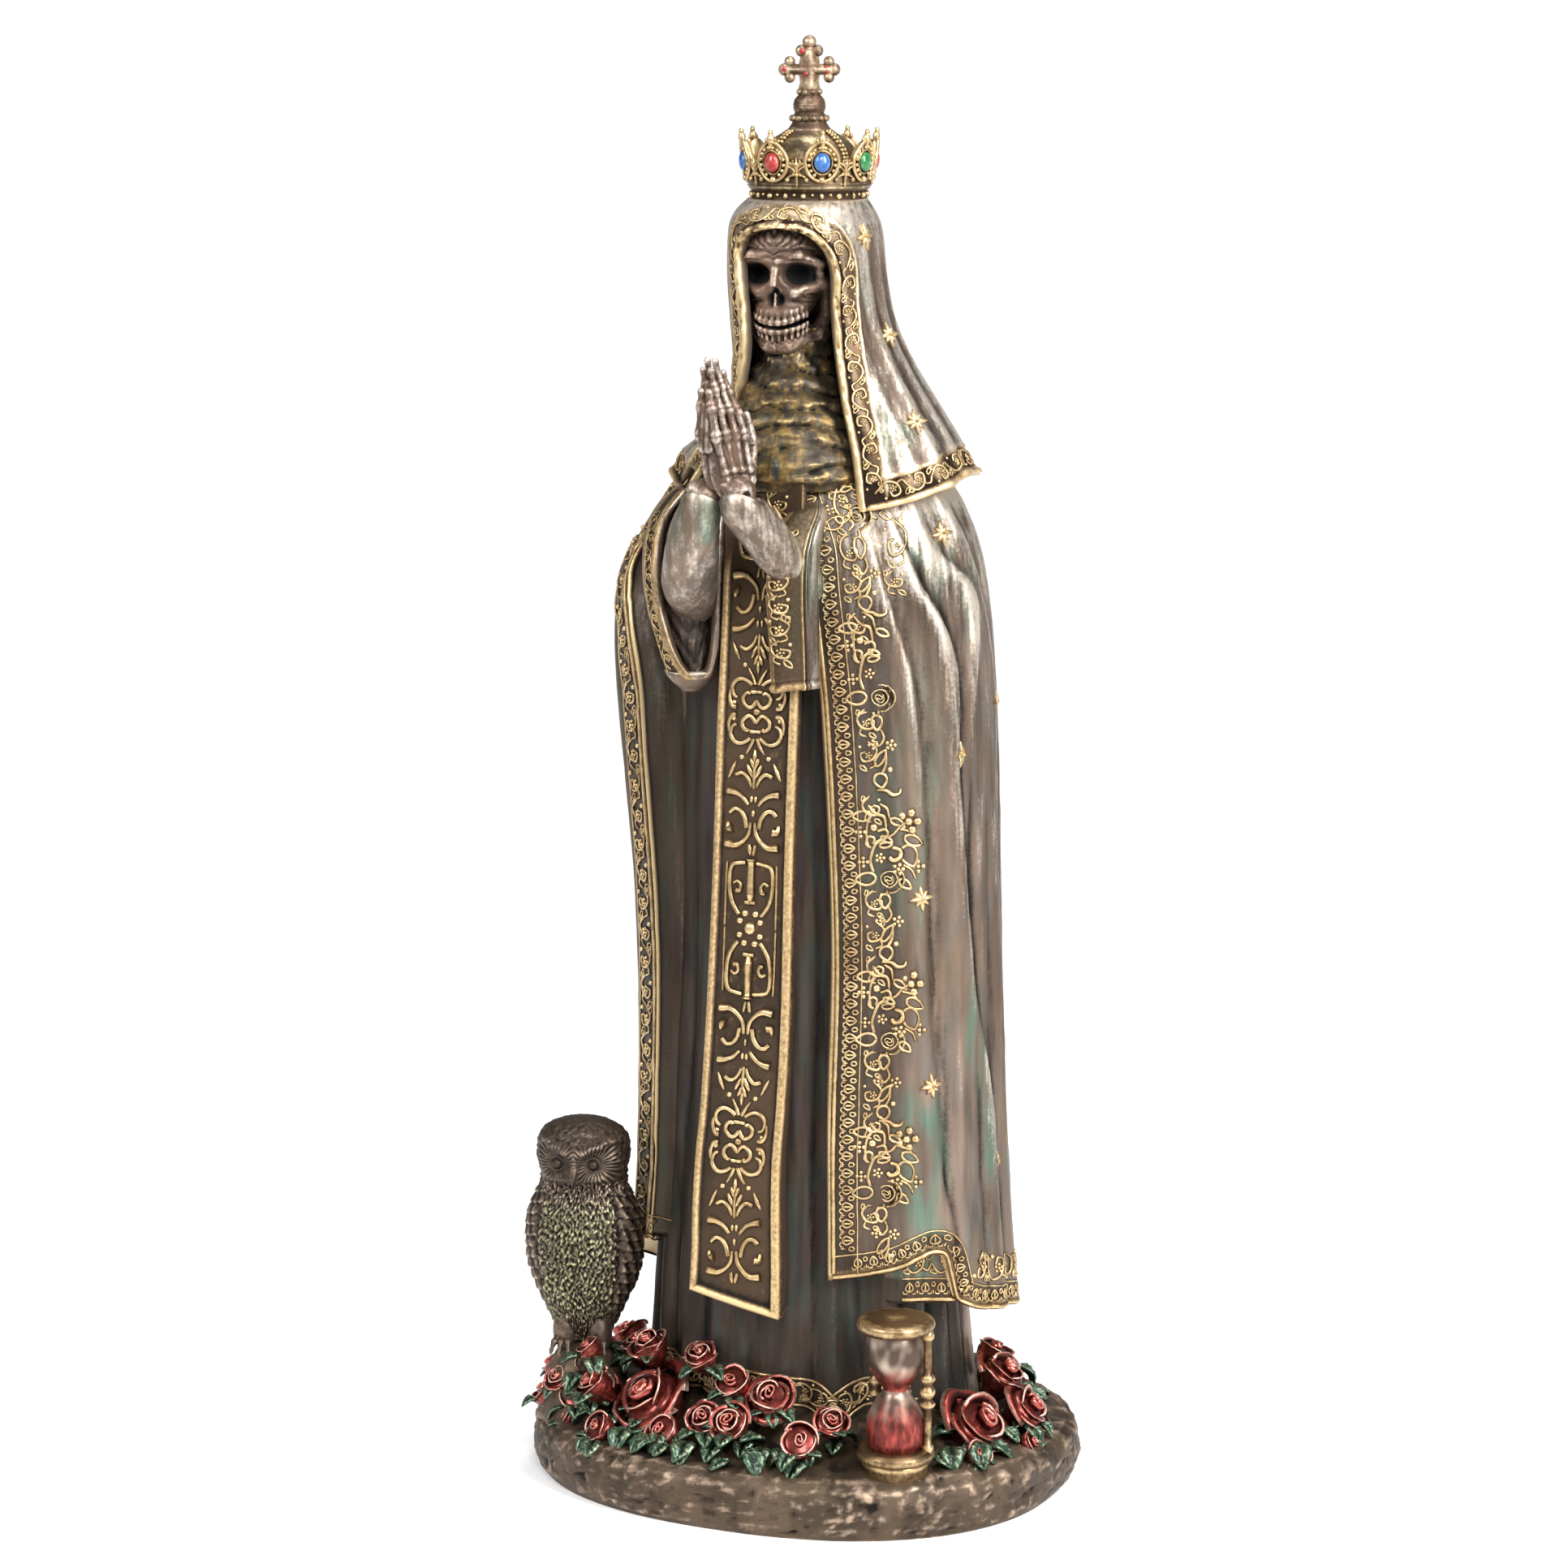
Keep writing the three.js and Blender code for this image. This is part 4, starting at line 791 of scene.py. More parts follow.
CLOTH_COLUMNS = 286
block = mantle_block(CLOTH_COLUMNS, 124)
points, faces = closed_stack(block, floor=block[0].mean(axis=0) + np.array([0, 0, 14]))
mantle_mesh = make_mesh("mantle", points, faces)
near_rim = distance_to_path(points, block[::3, 0])
far_rim = distance_to_path(points, block[::3, CLOTH_COLUMNS - 1])
from_rim = np.minimum(near_rim, far_rim)
from_hem = distance_to_path(points, block[0, :CLOTH_COLUMNS:4])
ground = 0.66 * smooth(17, 12, from_rim) + 0.34 * smooth(5.1, 4.7, from_rim)
ground = np.maximum(ground, 0.85 * smooth(8.2, 7.8, far_rim))
ground = np.maximum(ground, 0.85 * smooth(19, 16, near_rim) * smooth(181, 190, points[:, 2] - BASE_TOP))
set_attribute(mantle_mesh, "ground", np.maximum(ground, 0.9 * smooth(4.6, 4.2, from_hem)))
set_attribute(mantle_mesh, "gilt", np.maximum(smooth(0.9, 0.4, from_rim), smooth(0.9, 0.4, from_hem)))
mantle = add_piece(mantle_mesh, "mantle", robe_bronze, reach=0.00075, rounds=24)

# %% Lower fold behind the front panel
level, degrees = np.meshgrid(np.linspace(30.2, 62, 40), np.linspace(-47, -18, 60), indexing="ij")
inset = mix(4.0, 0.7, smooth(-43, -23, degrees))
cloth = mantle_surface(degrees, level, -inset)
ahead, behind = ([x, y] + 0 * cloth[:, :1, :2] for x, y in ((18.0, -4.0), (15.0, -14.0)))
hidden = [np.concatenate([place, cloth[:, :1, 2:]], axis=-1) for place in (ahead, behind)]
points, faces = closed_stack(np.concatenate([cloth, *hidden], axis=1))
fold_mesh = make_mesh("mantle_lower_fold", points, faces)
set_attribute(fold_mesh, "ground", 0.85 * smooth(36, 35, points[:, 2] - BASE_TOP))
lower_fold = add_piece(fold_mesh, "mantle_lower_fold", robe_bronze, reach=0.0005)

# %% [markdown]
# The stole is a long strip of brocade that hangs down the front. It is carved as a shallow tray:
# a plain raised border round a sunken matte field, so the gilded scrolls stand inside it.

# %% Stole
STOLE_PROFILE = [
    (31, -1.6, -32.2, 9.9), (40, -1.4, -31.9, 9.7), (50, -1.9, -30.6, 9.6), (60, -2.1, -29.2, 9.4),
    (72, -1.4, -28.2, 9.2), (90, -0.6, -27.4, 9), (120, 0.1, -26.4, 8.8), (148, 0.4, -24.8, 8.6),
    (170, 0.4, -22.6, 8.5), (198, 0.4, -21.2, 8.5),
]
STOLE_THICKNESS, STOLE_BORDER = 2.2, 1.7
STOLE_FOOT = 31.0


def stole_surface(across, height, proud=0.0):
    """A point on the stole's face; across runs from -1 to 1 over its width."""
    across, height = np.broadcast_arrays(np.asarray(across, float), np.asarray(height, float))
    centre, front, half = profile(STOLE_PROFILE, height)
    slant = -2.0 * across * smooth(60, 31, height)
    bow = 0.45 * across**2 + 0.25 * np.sin(height / 11) * across * smooth(30, 90, height)
    return lifted(
        np.stack([centre + half * across, front + bow - proud - 0.5, height + slant], axis=-1)
    )


STOLE_HEIGHTS = np.concatenate([np.linspace(STOLE_FOOT, 60, 60), np.linspace(60.8, 198, 150)])
STOLE_ACROSS = np.concatenate(
    [np.linspace(-1, -0.72, 12), np.linspace(-0.7, 0.7, 26), np.linspace(0.72, 1, 12)]
)


def stole_block():
    height, across = STOLE_HEIGHTS, STOLE_ACROSS
    half = profile(STOLE_PROFILE, height)[2][:, None]
    from_edge = (1 - np.abs(across)) * half
    from_foot = (height - STOLE_FOOT)[:, None] * np.ones_like(from_edge)
    inner = np.minimum(from_edge, from_foot)
    field = smooth(STOLE_BORDER - 0.35, STOLE_BORDER + 0.35, inner)
    rim = 0.55 * np.sqrt(np.clip(1 - (1 - inner / (STOLE_BORDER / 2)) ** 2, 0, 1)) * (1 - field)
    below_neck = smooth(186, 178, height)[:, None]
    rim, field = rim * below_neck, np.maximum(field, 1 - below_neck)
    weave = 0.04 * rough(across * 14, height[:, None] / 0.9, 0, 31)
    face = stole_surface(across[None, :], height[:, None], rim - 0.35 * field + weave * field)
    sides = []
    for edge, sign in ((face[:, -1], 1), (face[:, 0], -1)):
        behind = edge + np.array([0, STOLE_THICKNESS, 0])
        root = np.stack(
            [edge[:, 0] - 0.55 * sign * half[:, 0], np.full(len(edge), DRESS_CENTRE_Y - 14), edge[:, 2]],
            axis=1
        )
        sides.append([behind, root])
    ring = [face, sides[0][0][:, None], sides[0][1][:, None], sides[1][1][:, None], sides[1][0][:, None]]
    return np.concatenate(ring, axis=1)


def stole_gilding():
    """1 on the border of each row's face, 0 on the field and on the hidden sides."""
    height = STOLE_HEIGHTS
    half = profile(STOLE_PROFILE, height)[2][:, None]
    inner = np.minimum((1 - np.abs(STOLE_ACROSS)) * half, (height - STOLE_FOOT)[:, None] + 0 * STOLE_ACROSS)
    face = smooth(STOLE_BORDER + 0.1, STOLE_BORDER - 0.25, inner)
    face = face * mix(0.88, 0, smooth(178, 186, height))[:, None]
    return np.concatenate([np.concatenate([face, np.full((len(height), 4), -1.2)], axis=1).ravel(), [0, 0]])


points, faces = closed_stack(stole_block())
stole_mesh = make_mesh("stole", points, faces)
set_attribute(stole_mesh, "gilt", stole_gilding())
stole = add_piece(stole_mesh, "stole", dark_ground, reach=0.00035, rounds=10)

# %% [markdown]
# The veil is a hood that spreads over the shoulders. It is a thin shell: an outer sheet, an
# inner sheet a wall's thickness behind it, and strips that join the two round every edge.
# The face opening is where the sheet's two front edges stand apart; above the brow they meet.
# The distance of each point from that edge is measured, and it shapes the thick rolled brim.

# %% Veil outline
VEIL_PROFILE = [
    (190, 37, 30.4, 22.6, 27.5, 3.2), (197, 34.8, 29.4, 22, 25.8, 3.1), (202, 32.2, 26.4, 21.4, 24, 2.9),
    (206, 30, 20.4, 20.8, 22.4, 2.6), (210, 27.6, 16.4, 20.2, 20.8, 2.2),
    (220, 21.8, 14.8, 18.6, 17.6, 1.2), (228, 18.2, 15.2, 18.2, 16.6, 0.6),
    (236, 16.6, 15.6, 18.2, 16.3, 0), (244, 15.8, 15.4, 17.9, 16.4, -0.4),
    (248, 15, 14.7, 17.4, 15.8, -0.6), (250.6, 13.6, 13.4, 16.6, 14, -0.2),
    (252.8, 11.9, 11.7, 13.4, 12, 0.6),
]
OPENING_PROFILE = [
    (186, 0, 19.6), (192, 0, 18.8), (198, 0.8, 17.2), (205, 1.8, 14.8), (214, 2.8, 11.6), (223, 3.2, 9.6),
    (231, 2.8, 9.2), (239, 2.4, 9.4), (243, 1.8, 8.8), (245.8, 1.6, 6.6), (247.2, 2.0, 3.6),
    (247.8, 2.2, 0),
]
VEIL_HEM_RISE = [
    (-90, 0), (-58, 0.2), (-20, 4.6), (5, 6.6), (40, 4), (90, 1), (140, 4), (175, 6.6), (200, 4.6),
    (238, 0.2), (270, 0),
]
VEIL_FOLDS = [
    (-38, -34, 6, 0.5), (-16, -20, 5, 0.9), (-2, -2, 5, 0.8), (14, 14, 5, 1.1), (32, 34, 6, 1.2),
    (52, 54, 6, 1.3), (72, 76, 6, 1.3), (96, 98, 6, 1.4), (120, 120, 6, 1.3), (142, 140, 6, 1.2),
    (163, 160, 6, 1.0), (184, 180, 5, 0.9), (200, 200, 6, 0.8), (216, 218, 5, 0.5),
]
VEIL_FOOT, VEIL_ROOF, VEIL_CENTRE_X = 192.0, 252.8, 0.3


def veil_surface(degrees, height, proud=0.0):
    degrees, height = np.broadcast_arrays(np.asarray(degrees, float), np.asarray(height, float))
    to_left, to_right, front, behind, centre = profile(VEIL_PROFILE, height)
    drop = smooth(250, 192, height)
    fold = -0.4 + 0 * degrees
    for at_top, at_hem, wide, ridge in VEIL_FOLDS:
        fold = fold + ridge * mix(0.3, 1, drop) * bell((degrees - mix(at_top, at_hem, drop)) / wide)
    fold = fold * (1 - smooth(238, 251, height)) + proud
    fold = (
        fold + 0.1 * noise(degrees / 3, height / 14, 0, 13)
        + 0.05 * noise(degrees / 1.2, height / 4, 0, 16)
    )
    turn = np.radians(degrees)
    half = np.where(np.cos(turn) > 0, to_left, to_right)
    depth = np.where(np.sin(turn) < 0, front, behind)
    return lifted(
        np.stack(
            [
                VEIL_CENTRE_X + (half + fold) * np.cos(turn), centre + (depth + fold) * np.sin(turn),
                height
            ],
            axis=-1
        )
    )


def opening_angles(height):
    """The angles of the hood's two front edges at these heights; -90 is straight ahead."""
    middle_x, half = profile(OPENING_PROFILE, np.minimum(height, 247.8))
    to_left, to_right = profile(VEIL_PROFILE, height)[:2]
    near = np.clip((middle_x + half - VEIL_CENTRE_X) / to_left, -0.99, 0.99)
    far = np.clip(
        (middle_x - half - VEIL_CENTRE_X) / np.where(middle_x - half > VEIL_CENTRE_X, to_left, to_right),
        -0.99, 0.99
    )
    near, far = -np.degrees(np.arccos(near)), -np.degrees(np.arccos(far)) + 360
    closed = smooth(247.7, 247.9, height)
    meeting = -np.degrees(np.arccos(np.clip((2.2 - VEIL_CENTRE_X) / to_left, -1, 1)))
    return mix(near, meeting, closed), mix(far, meeting + 360, closed)


# %% Veil cloth
def shell(outer, inner):
    """A closed wall between two grids of the same shape."""
    rows, columns, _ = outer.shape
    count = rows * columns
    sheet = grid_faces(rows, columns)
    index = np.arange(count).reshape(rows, columns)
    rim = np.concatenate([index[0], index[1:, -1], index[-1, -2::-1], index[-2:0:-1, 0]])
    after = np.roll(rim, -1)
    wall = np.stack([after, rim, rim + count, after + count], axis=1)
    return np.concatenate([outer.reshape(-1, 3), inner.reshape(-1, 3)]), [sheet, sheet[:, ::-1] + count, wall]


VEIL_LEVELS = np.concatenate([
    np.linspace(VEIL_FOOT, 240, 68), np.linspace(240.5, 246.5, 16), np.linspace(246.8, 248.1, 14),
    np.linspace(248.4, VEIL_ROOF, 10),
])
near_edge, far_edge = opening_angles(VEIL_LEVELS)
spread = np.linspace(0, 1, 166)
spread = spread - 0.07 * np.sin(2 * np.pi * spread)
veil_degrees = near_edge[:, None] + (far_edge - near_edge)[:, None] * spread
veil_height = (
    VEIL_LEVELS[:, None] + profile(VEIL_HEM_RISE, veil_degrees) * smooth(216, 192, VEIL_LEVELS)[:, None]
)
flat = veil_surface(veil_degrees, veil_height)
brim_path = np.concatenate([flat[:90:2, 0], flat[90:0:-2, -1]])
hem_path = flat[0, ::3]
from_brim = distance_to_path(flat.reshape(-1, 3), brim_path).reshape(veil_height.shape)
from_brim = np.where(VEIL_LEVELS[:, None] > 247.8, np.maximum(from_brim, 0.05), from_brim)
from_hem = distance_to_path(flat.reshape(-1, 3), hem_path).reshape(veil_height.shape)
ROLL, TRIM_WIDTH = 1.5, 5.7


def bordered(distance, roll):
    """Height of a rolled edge, then a sunken band, then a fine line where the band ends."""
    edge = 0.9 * np.sqrt(np.clip(1 - ((distance - roll * 0.45) / (roll * 0.62)) ** 2, 0, 1))
    band = (
        -0.3 * smooth(roll * 0.9, roll * 1.15, distance)
        * smooth(TRIM_WIDTH + 0.1, TRIM_WIDTH - 0.3, distance)
    )
    line = 0.35 * bell((distance - TRIM_WIDTH) / 0.3)
    return edge + band + line


beaten = 1.15 + 0.5 * rough(veil_degrees / 4, veil_height / 2.2, 0, 38, 3)
proud = (
    np.maximum(bordered(from_brim, ROLL) * beaten, 0)
    + bordered(from_hem, 1.0) * smooth(1, 2.5, from_brim)
)
proud = proud + np.minimum(bordered(from_brim, ROLL), 0) * smooth(1, 2.5, from_hem)
outer = veil_surface(veil_degrees, veil_height, proud)
inner = veil_surface(veil_degrees, veil_height, -1.5 - 0.6 * smooth(0.5, 4, from_brim))
points, faces = shell(outer, inner)
veil_mesh = make_mesh("veil", points, faces)
from_edge = np.minimum(from_brim, from_hem)
on_trim = smooth(TRIM_WIDTH + 0.2, TRIM_WIDTH - 0.1, from_edge)
on_roll = np.maximum(smooth(ROLL + 0.1, ROLL - 0.4, from_edge), 0.8 * bell((from_edge - TRIM_WIDTH) / 0.45))
set_attribute(veil_mesh, "ground", np.concatenate([0.6 * on_trim.ravel(), 0.8 + 0 * on_trim.ravel()]))
set_attribute(
    veil_mesh, "gilt",
    np.concatenate([np.maximum(0.9 * on_roll, 0.42 * on_trim).ravel(), 0 * on_roll.ravel()])
)
veil = add_piece(veil_mesh, "veil", robe_bronze, reach=0.0004, rounds=18)

# %% [markdown]
# The cowl is a crumpled scarf round the neck. Its folds run slantwise round it: the phase of a
# ridged wave climbs with the angle, and noise pushes the ridges out of line.

# %% Cowl
COWL_PROFILE = [
    (197, 17.5, 17.2), (199.5, 18.2, 18.6), (204, 16.8, 17.4), (210, 13.6, 14.4), (216, 9.8, 10.6),
    (221, 7.2, 7.2), (227, 6.6, 6.2), (232, 6.4, 6),
]
COWL_CENTRE_Y = -5.0


def cowl_surface(turn, height):
    half_width, depth = profile(COWL_PROFILE, height)
    slant = height + 1.6 * np.sin(turn + 0.5) + 0.6 * np.sin(3 * turn + 0.4)
    slant = slant + 1.5 * rough(turn * 1.6, height / 9, 0, 41, 2)
    fold = 1.0 - 2.1 * np.abs(np.sin(slant * 0.82)) ** 0.7
    fold = 0.5 * fold * smooth(198, 201.5, height) * mix(1, 0.7, smooth(216, 224, height))
    hem = 0.9 * bell((height - 198.6 - 0.5 * np.sin(2 * turn)) / 1.2)
    crumple = 0.3 * rough(turn * 6, height / 1.6, 0, 44, 3)
    out = -fold + hem + crumple
    return lifted(
        np.stack(
            [(half_width + out) * np.cos(turn), COWL_CENTRE_Y + (depth + out) * np.sin(turn), height],
            axis=-1
        )
    )


turn, height = np.meshgrid(np.linspace(0, 2 * np.pi, 150, endpoint=False), np.linspace(196, 227.5, 96))
points, faces = closed_stack(cowl_surface(turn, height))
brocade = aged_metal(
    "brocade", srgb(28, 25, 22), srgb(84, 77, 66), srgb(204, 174, 116),
    [
        (0.3, srgb(84, 92, 92)), (0.48, srgb(168, 134, 70)), (0.58, srgb(96, 86, 78)),
        (0.68, srgb(176, 142, 74))
    ],
    0.75,
    roughness=0.4, brush=(1, 1, 1), pits=0.16, patch_mm=5, ridge=(0.6, 0.95),
)
add_piece(make_mesh("cowl", points, faces), "cowl", brocade, reach=0.0007, rounds=10)

# %% [markdown]
# Bones are too knobbly for a sheet or a stack. They are described as a field instead: a formula
# for how far any point in space is from the surface, put together from balls, rods and hollows
# that melt into each other. A fine grid of samples then shows where the field changes sign.
# One vertex goes into each cell that the surface crosses, and neighbours are joined by quads.

# %% Carving from a field
def surface_from(field, low, step):
    inside = field < 0
    shape = np.array(field.shape) - 1
    place, count = np.zeros((*shape, 3)), np.zeros(shape)
    crossings = []
    for axis in range(3):
        others = [o for o in range(3) if o != axis]
        ahead = [slice(None)] * 3
        here = [slice(None)] * 3
        here[axis], ahead[axis] = slice(0, -1), slice(1, None)
        a, b = field[tuple(here)], field[tuple(ahead)]
        crossed = inside[tuple(here)] != inside[tuple(ahead)]
        t = np.where(crossed, a / np.where(crossed, a - b, 1), 0)
        crossings.append(crossed)
        for u in (0, 1):
            for v in (0, 1):
                part = [slice(None)] * 3
                part[others[0]] = slice(u, u + shape[others[0]])
                part[others[1]] = slice(v, v + shape[others[1]])
                c = crossed[tuple(part)]
                count += c
                place[..., axis] += t[tuple(part)] * c
                place[..., others[0]] += u * c
                place[..., others[1]] += v * c
    live = count > 0
    number = np.full(tuple(shape), -1)
    number[live] = np.arange(live.sum())
    points = (np.argwhere(live) + place[live] / count[live][:, None]) * step + np.array(low)
    quads = []
    for axis, crossed in enumerate(crossings):
        others = [o for o in range(3) if o != axis]
        core = [slice(None)] * 3
        core[others[0]], core[others[1]] = slice(1, -1), slice(1, -1)
        index = np.argwhere(crossed[tuple(core)])
        index[:, others[0]] += 1
        index[:, others[1]] += 1
        corners = []
        for u, v in ((1, 1), (0, 1), (0, 0), (1, 0)):
            cell = index.copy()
            cell[:, others[0]] -= u
            cell[:, others[1]] -= v
            corners.append(number[tuple(cell.T)])
        quads.append(np.stack(corners, axis=1))
    return points, np.concatenate(quads)


def grid_of(low, high, step):
    return np.meshgrid(*[np.arange(a, b + step, step) for a, b in zip(low, high)], indexing="ij")


def ball(p, centre, radii):
    """An ellipsoid's rough distance."""
    q = [(v - c) / r for v, c, r in zip(p, centre, radii)]
    length = np.sqrt(q[0] ** 2 + q[1] ** 2 + q[2] ** 2)
    return (length - 1) * min(radii)


def rod(p, start, end, thick, thin=None):
    """A rod with round ends whose radius goes from thick to thin."""
    thin = thick if thin is None else thin
    start, end = np.array(start, float), np.array(end, float)
    along = end - start
    t = sum((v - s) * d for v, s, d in zip(p, start, along)) / (along @ along)
    t = np.clip(t, 0, 1)
    gap = np.sqrt(sum((v - s - t * d) ** 2 for v, s, d in zip(p, start, along)))
    return gap - mix(thick, thin, t)


def melt(a, b, reach):
    """A union whose seam is filled over a width of reach."""
    h = np.clip(0.5 + 0.5 * (b - a) / reach, 0, 1)
    return mix(b, a, h) - reach * h * (1 - h)


def hollow(a, b, reach):
    """a with b cut out of it, with a soft lip."""
    return -melt(-a, b, reach)


# %% [markdown]
# The skull faces straight ahead in its own frame: x to its left, y forward and z up, with the
# origin between the eyes. It is built as an anatomist would name it: braincase, brow, cheek
# bones, upper jaw and lower jaw, then sockets, the pear-shaped nose and the gaps by the jaw.

# %% Skull
GRIN_BEND, BITE_HEIGHT = 0.055, -11.08  # the teeth meet there, and curve up at the corners
SOCKET_ACROSS, SOCKET_HEIGHT = 3.75, -0.7
SKULL_WIDENING = 1.13
SKULL_PLACE, SKULL_TURN, SKULL_NOD = (-0.9, -5.6, 239.6 + BASE_TOP), math.radians(6), math.radians(4)


# Each row: how it joins, its shape, the shape's own numbers and the width of the seam
FACE_BONES = [
    (melt, ball, ((0, 3.2, -3.2), (6.5, 6.2, 7.6)), 1.6),
    (melt, rod, ((0.6, 9.5, 2.3), (4.2, 9.1, 3.2), 0.95, 0.95), 0.7),
    (melt, rod, ((4.2, 9.1, 3.2), (7.3, 5.6, 1.2), 0.95, 0.9), 0.7),
    (melt, rod, ((3.1, 8.3, -4.3), (7.2, 4.6, -3.1), 1.15, 1.2), 0.7),
    (melt, rod, ((7.2, 4.6, -3.1), (7.6, 0.0, -2.2), 1.15, 0.9), 0.6),
    (melt, rod, ((7.2, 4.8, -2.8), (7.0, 5.6, 1.0), 0.75, 0.8), 0.6),
    (melt, ball, ((0, 5.4, -8.2), (4.6, 5.0, 2.7)), 0.8),
    (melt, rod, ((0, 9.7, 0.6), (0, 10.9, -2.4), 0.75, 0.6), 0.7),
    (hollow, ball, ((6.9, 4.6, -9.6), (1.9, 3.6, 3.6)), 0.7),
    (hollow, ball, ((9.6, 4.2, 4.0), (1.8, 3.4, 3.0)), 0.9),
]
JAW_BONES = [
    (melt, rod, ((1.6, 8.2, -14.9), (5.4, 3.2, -13.2), 1.5, 1.35), 0.8),
    (melt, rod, ((5.4, 3.2, -13.2), (6.4, -0.6, -10.2), 1.35, 1.2), 0.6),
    (melt, rod, ((6.4, -0.6, -10.2), (6.6, 0.2, -3.2), 1.15, 0.9), 0.6),
    (melt, ball, ((0, 4.2, -12.4), (4.3, 4.7, 2.2)), 0.8),
]
SOCKETS_AND_NOSE = [
    (hollow, ball, ((SOCKET_ACROSS, 9.3, SOCKET_HEIGHT), (2.75, 4.6, 2.35)), 0.5),
    (hollow, ball, ((0.8, 11.2, -5.6), (0.95, 3.6, 1.45)), 0.3),
    (hollow, ball, ((0, 11.4, -4.2), (0.95, 3.3, 1.5)), 0.3),
    (melt, rod, ((0, 9.3, -4.4), (0, 9.9, -6.8), 0.24, 0.26), 0.2),
]


def built(field, p, rows):
    for join, shape, numbers, seam in rows:
        field = join(field, shape(p, *numbers), seam)
    return field


def skull_field(x, y, z):
    p = (np.abs(x), y, z)
    field = built(ball(p, (0, 0.2, 4.4), (8.3, 10.2, 8.4)), p, FACE_BONES)
    jaw = built(ball(p, (0, 6.6, -15.1), (3.1, 3.0, 1.9)), p, JAW_BONES)
    field = np.minimum(field, jaw)
    grin = (p[0], p[1], z - GRIN_BEND * x * x)
    for k in range(6):
        swing = math.radians(7 + 14.5 * k)
        wide = (0.68, 0.6, 0.62, 0.6, 0.58, 0.5)[k]
        for level, tall, out in ((-10.1, 0.85, 0.0), (-11.95, 0.72, -0.3)):
            spot = (4.75 * math.sin(swing), 4.9 + (5.5 + out) * math.cos(swing), level)
            tooth = ball(grin, spot, (wide * (0.55 + 0.45 * math.cos(swing)) + 0.08, 0.62, tall))
            field = melt(field, tooth, 0.14)
            root_spot = (spot[0] * 0.98, spot[1] - 0.3, level + (1.35 if out == 0 else -1.3))
            field = melt(field, ball(grin, root_spot, (0.3, 0.5, 0.8)), 0.3)
    field = hollow(field, ball(grin, (0, 9.4, BITE_HEIGHT), (5.0, 3.4, 0.42)), 0.12)
    return built(field, p, SOCKETS_AND_NOSE)


def nearest_stroke(x, z, strokes):
    """Distance in the plane of the face to a set of drawn lines."""
    best = np.full(x.shape, 9.0)
    for stroke in strokes:
        for (ax, az), (bx, bz) in zip(stroke[:-1], stroke[1:]):
            dx, dz = bx - ax, bz - az
            t = np.clip(((x - ax) * dx + (z - az) * dz) / (dx * dx + dz * dz + 1e-9), 0, 1)
            best = np.minimum(best, np.hypot(x - ax - t * dx, z - az - t * dz))
    return best


def curl(centre, radius, start, turns, shrink=0.25, steps=14):
    """A spiral as a list of points; angles in turns."""
    t = np.linspace(0, 1, steps)
    r = radius * (1 - (1 - shrink) * t)
    angle = 2 * np.pi * (start + turns * t)
    return list(zip(centre[0] + r * np.cos(angle), centre[1] + r * np.sin(angle)))


# %% Engraved lines of the face
ENGRAVING = [
    [(0, 9.2), (0.75, 8.2), (0, 6.9)],
    [(0.5, 5.2), (1.6, 6.0), (1.9, 7.4), (1.1, 8.6)],
    [(1.7, 5.0), (3.0, 5.9), (3.2, 7.4), (2.3, 8.2), (2.1, 7.2)],
    [(3.0, 4.9), (4.6, 5.6), (5.0, 7.0), (4.2, 7.6), (3.8, 6.8)],
    [(0, 3.4), (1.0, 4.1), (2.6, 4.4), (4.6, 4.7), (6.4, 3.9)],
    [(0, 2.6), (0.9, 3.1), (2.8, 2.4), (4.6, 2.5), (6.2, 1.9)],
    curl((5.5, -5.0), 1.1, 0.25, 1.1),
    [(3.0, -6.0), (4.2, -6.4), (5.6, -6.5), (6.8, -5.4), (7.2, -3.9)],
]
CHIN_LEAF = [
    curl((1.0, -15.0), 0.75, 0.5, -0.8), [(0, -13.9), (0, -16.1)], curl((2.7, -14.6), 0.7, 0.4, -0.9)
]


def skull_carved(x, y, z):
    field = skull_field(x, y, z)
    line = nearest_stroke(np.abs(x), z, ENGRAVING)
    chin = nearest_stroke(np.abs(x), z, CHIN_LEAF)
    front = smooth(2.0, 4.0, y)
    return field + 0.3 * front * bell(line / 0.24) + 0.24 * front * bell(chin / 0.2)


SKULL_LOW, SKULL_HIGH, SKULL_STEP = (-9.4, -10.4, -18.0), (9.4, 12.6, 13.4), 0.275
x, y, z = grid_of(SKULL_LOW, SKULL_HIGH, SKULL_STEP)
points, faces = surface_from(skull_carved(x, y, z), SKULL_LOW, SKULL_STEP)
across, ahead, up = np.abs(points[:, 0]), points[:, 1], points[:, 2]
socket = np.exp(-(((across - SOCKET_ACROSS) / 2.7) ** 2) - ((up - SOCKET_HEIGHT) / 2.3) ** 2)
sockets = np.clip(socket * 1.6, 0, 1) * smooth(8.4, 6.6, ahead) * (ahead > 2)
nose = bell(across / 1.9) * bell((up + 5.2) / 2.2) * smooth(9.7, 8.9, ahead) * (ahead > 4)
bite = up - GRIN_BEND * across**2 - BITE_HEIGHT
mouth = bell(bite / 0.5) * smooth(5.2, 4.4, across) * smooth(10.2, 9.4, np.hypot(across, ahead)) * (ahead > 3)
# painted shade round the mouth, darkening the teeth
shade_round_teeth = bell(bite / 2.6) * smooth(7.5, 6, across)
points = points * np.array([SKULL_WIDENING, -1, 1])  # its own y is forward, the scene's is back
place = (
    Matrix.Translation(SKULL_PLACE) @ Matrix.Rotation(SKULL_TURN, 4, "Z")
    @ Matrix.Rotation(SKULL_NOD, 4, "X")
)
points = points @ np.array(place.to_3x3()).T + np.array(place.translation)
skull_mesh = make_mesh("skull", points, faces)
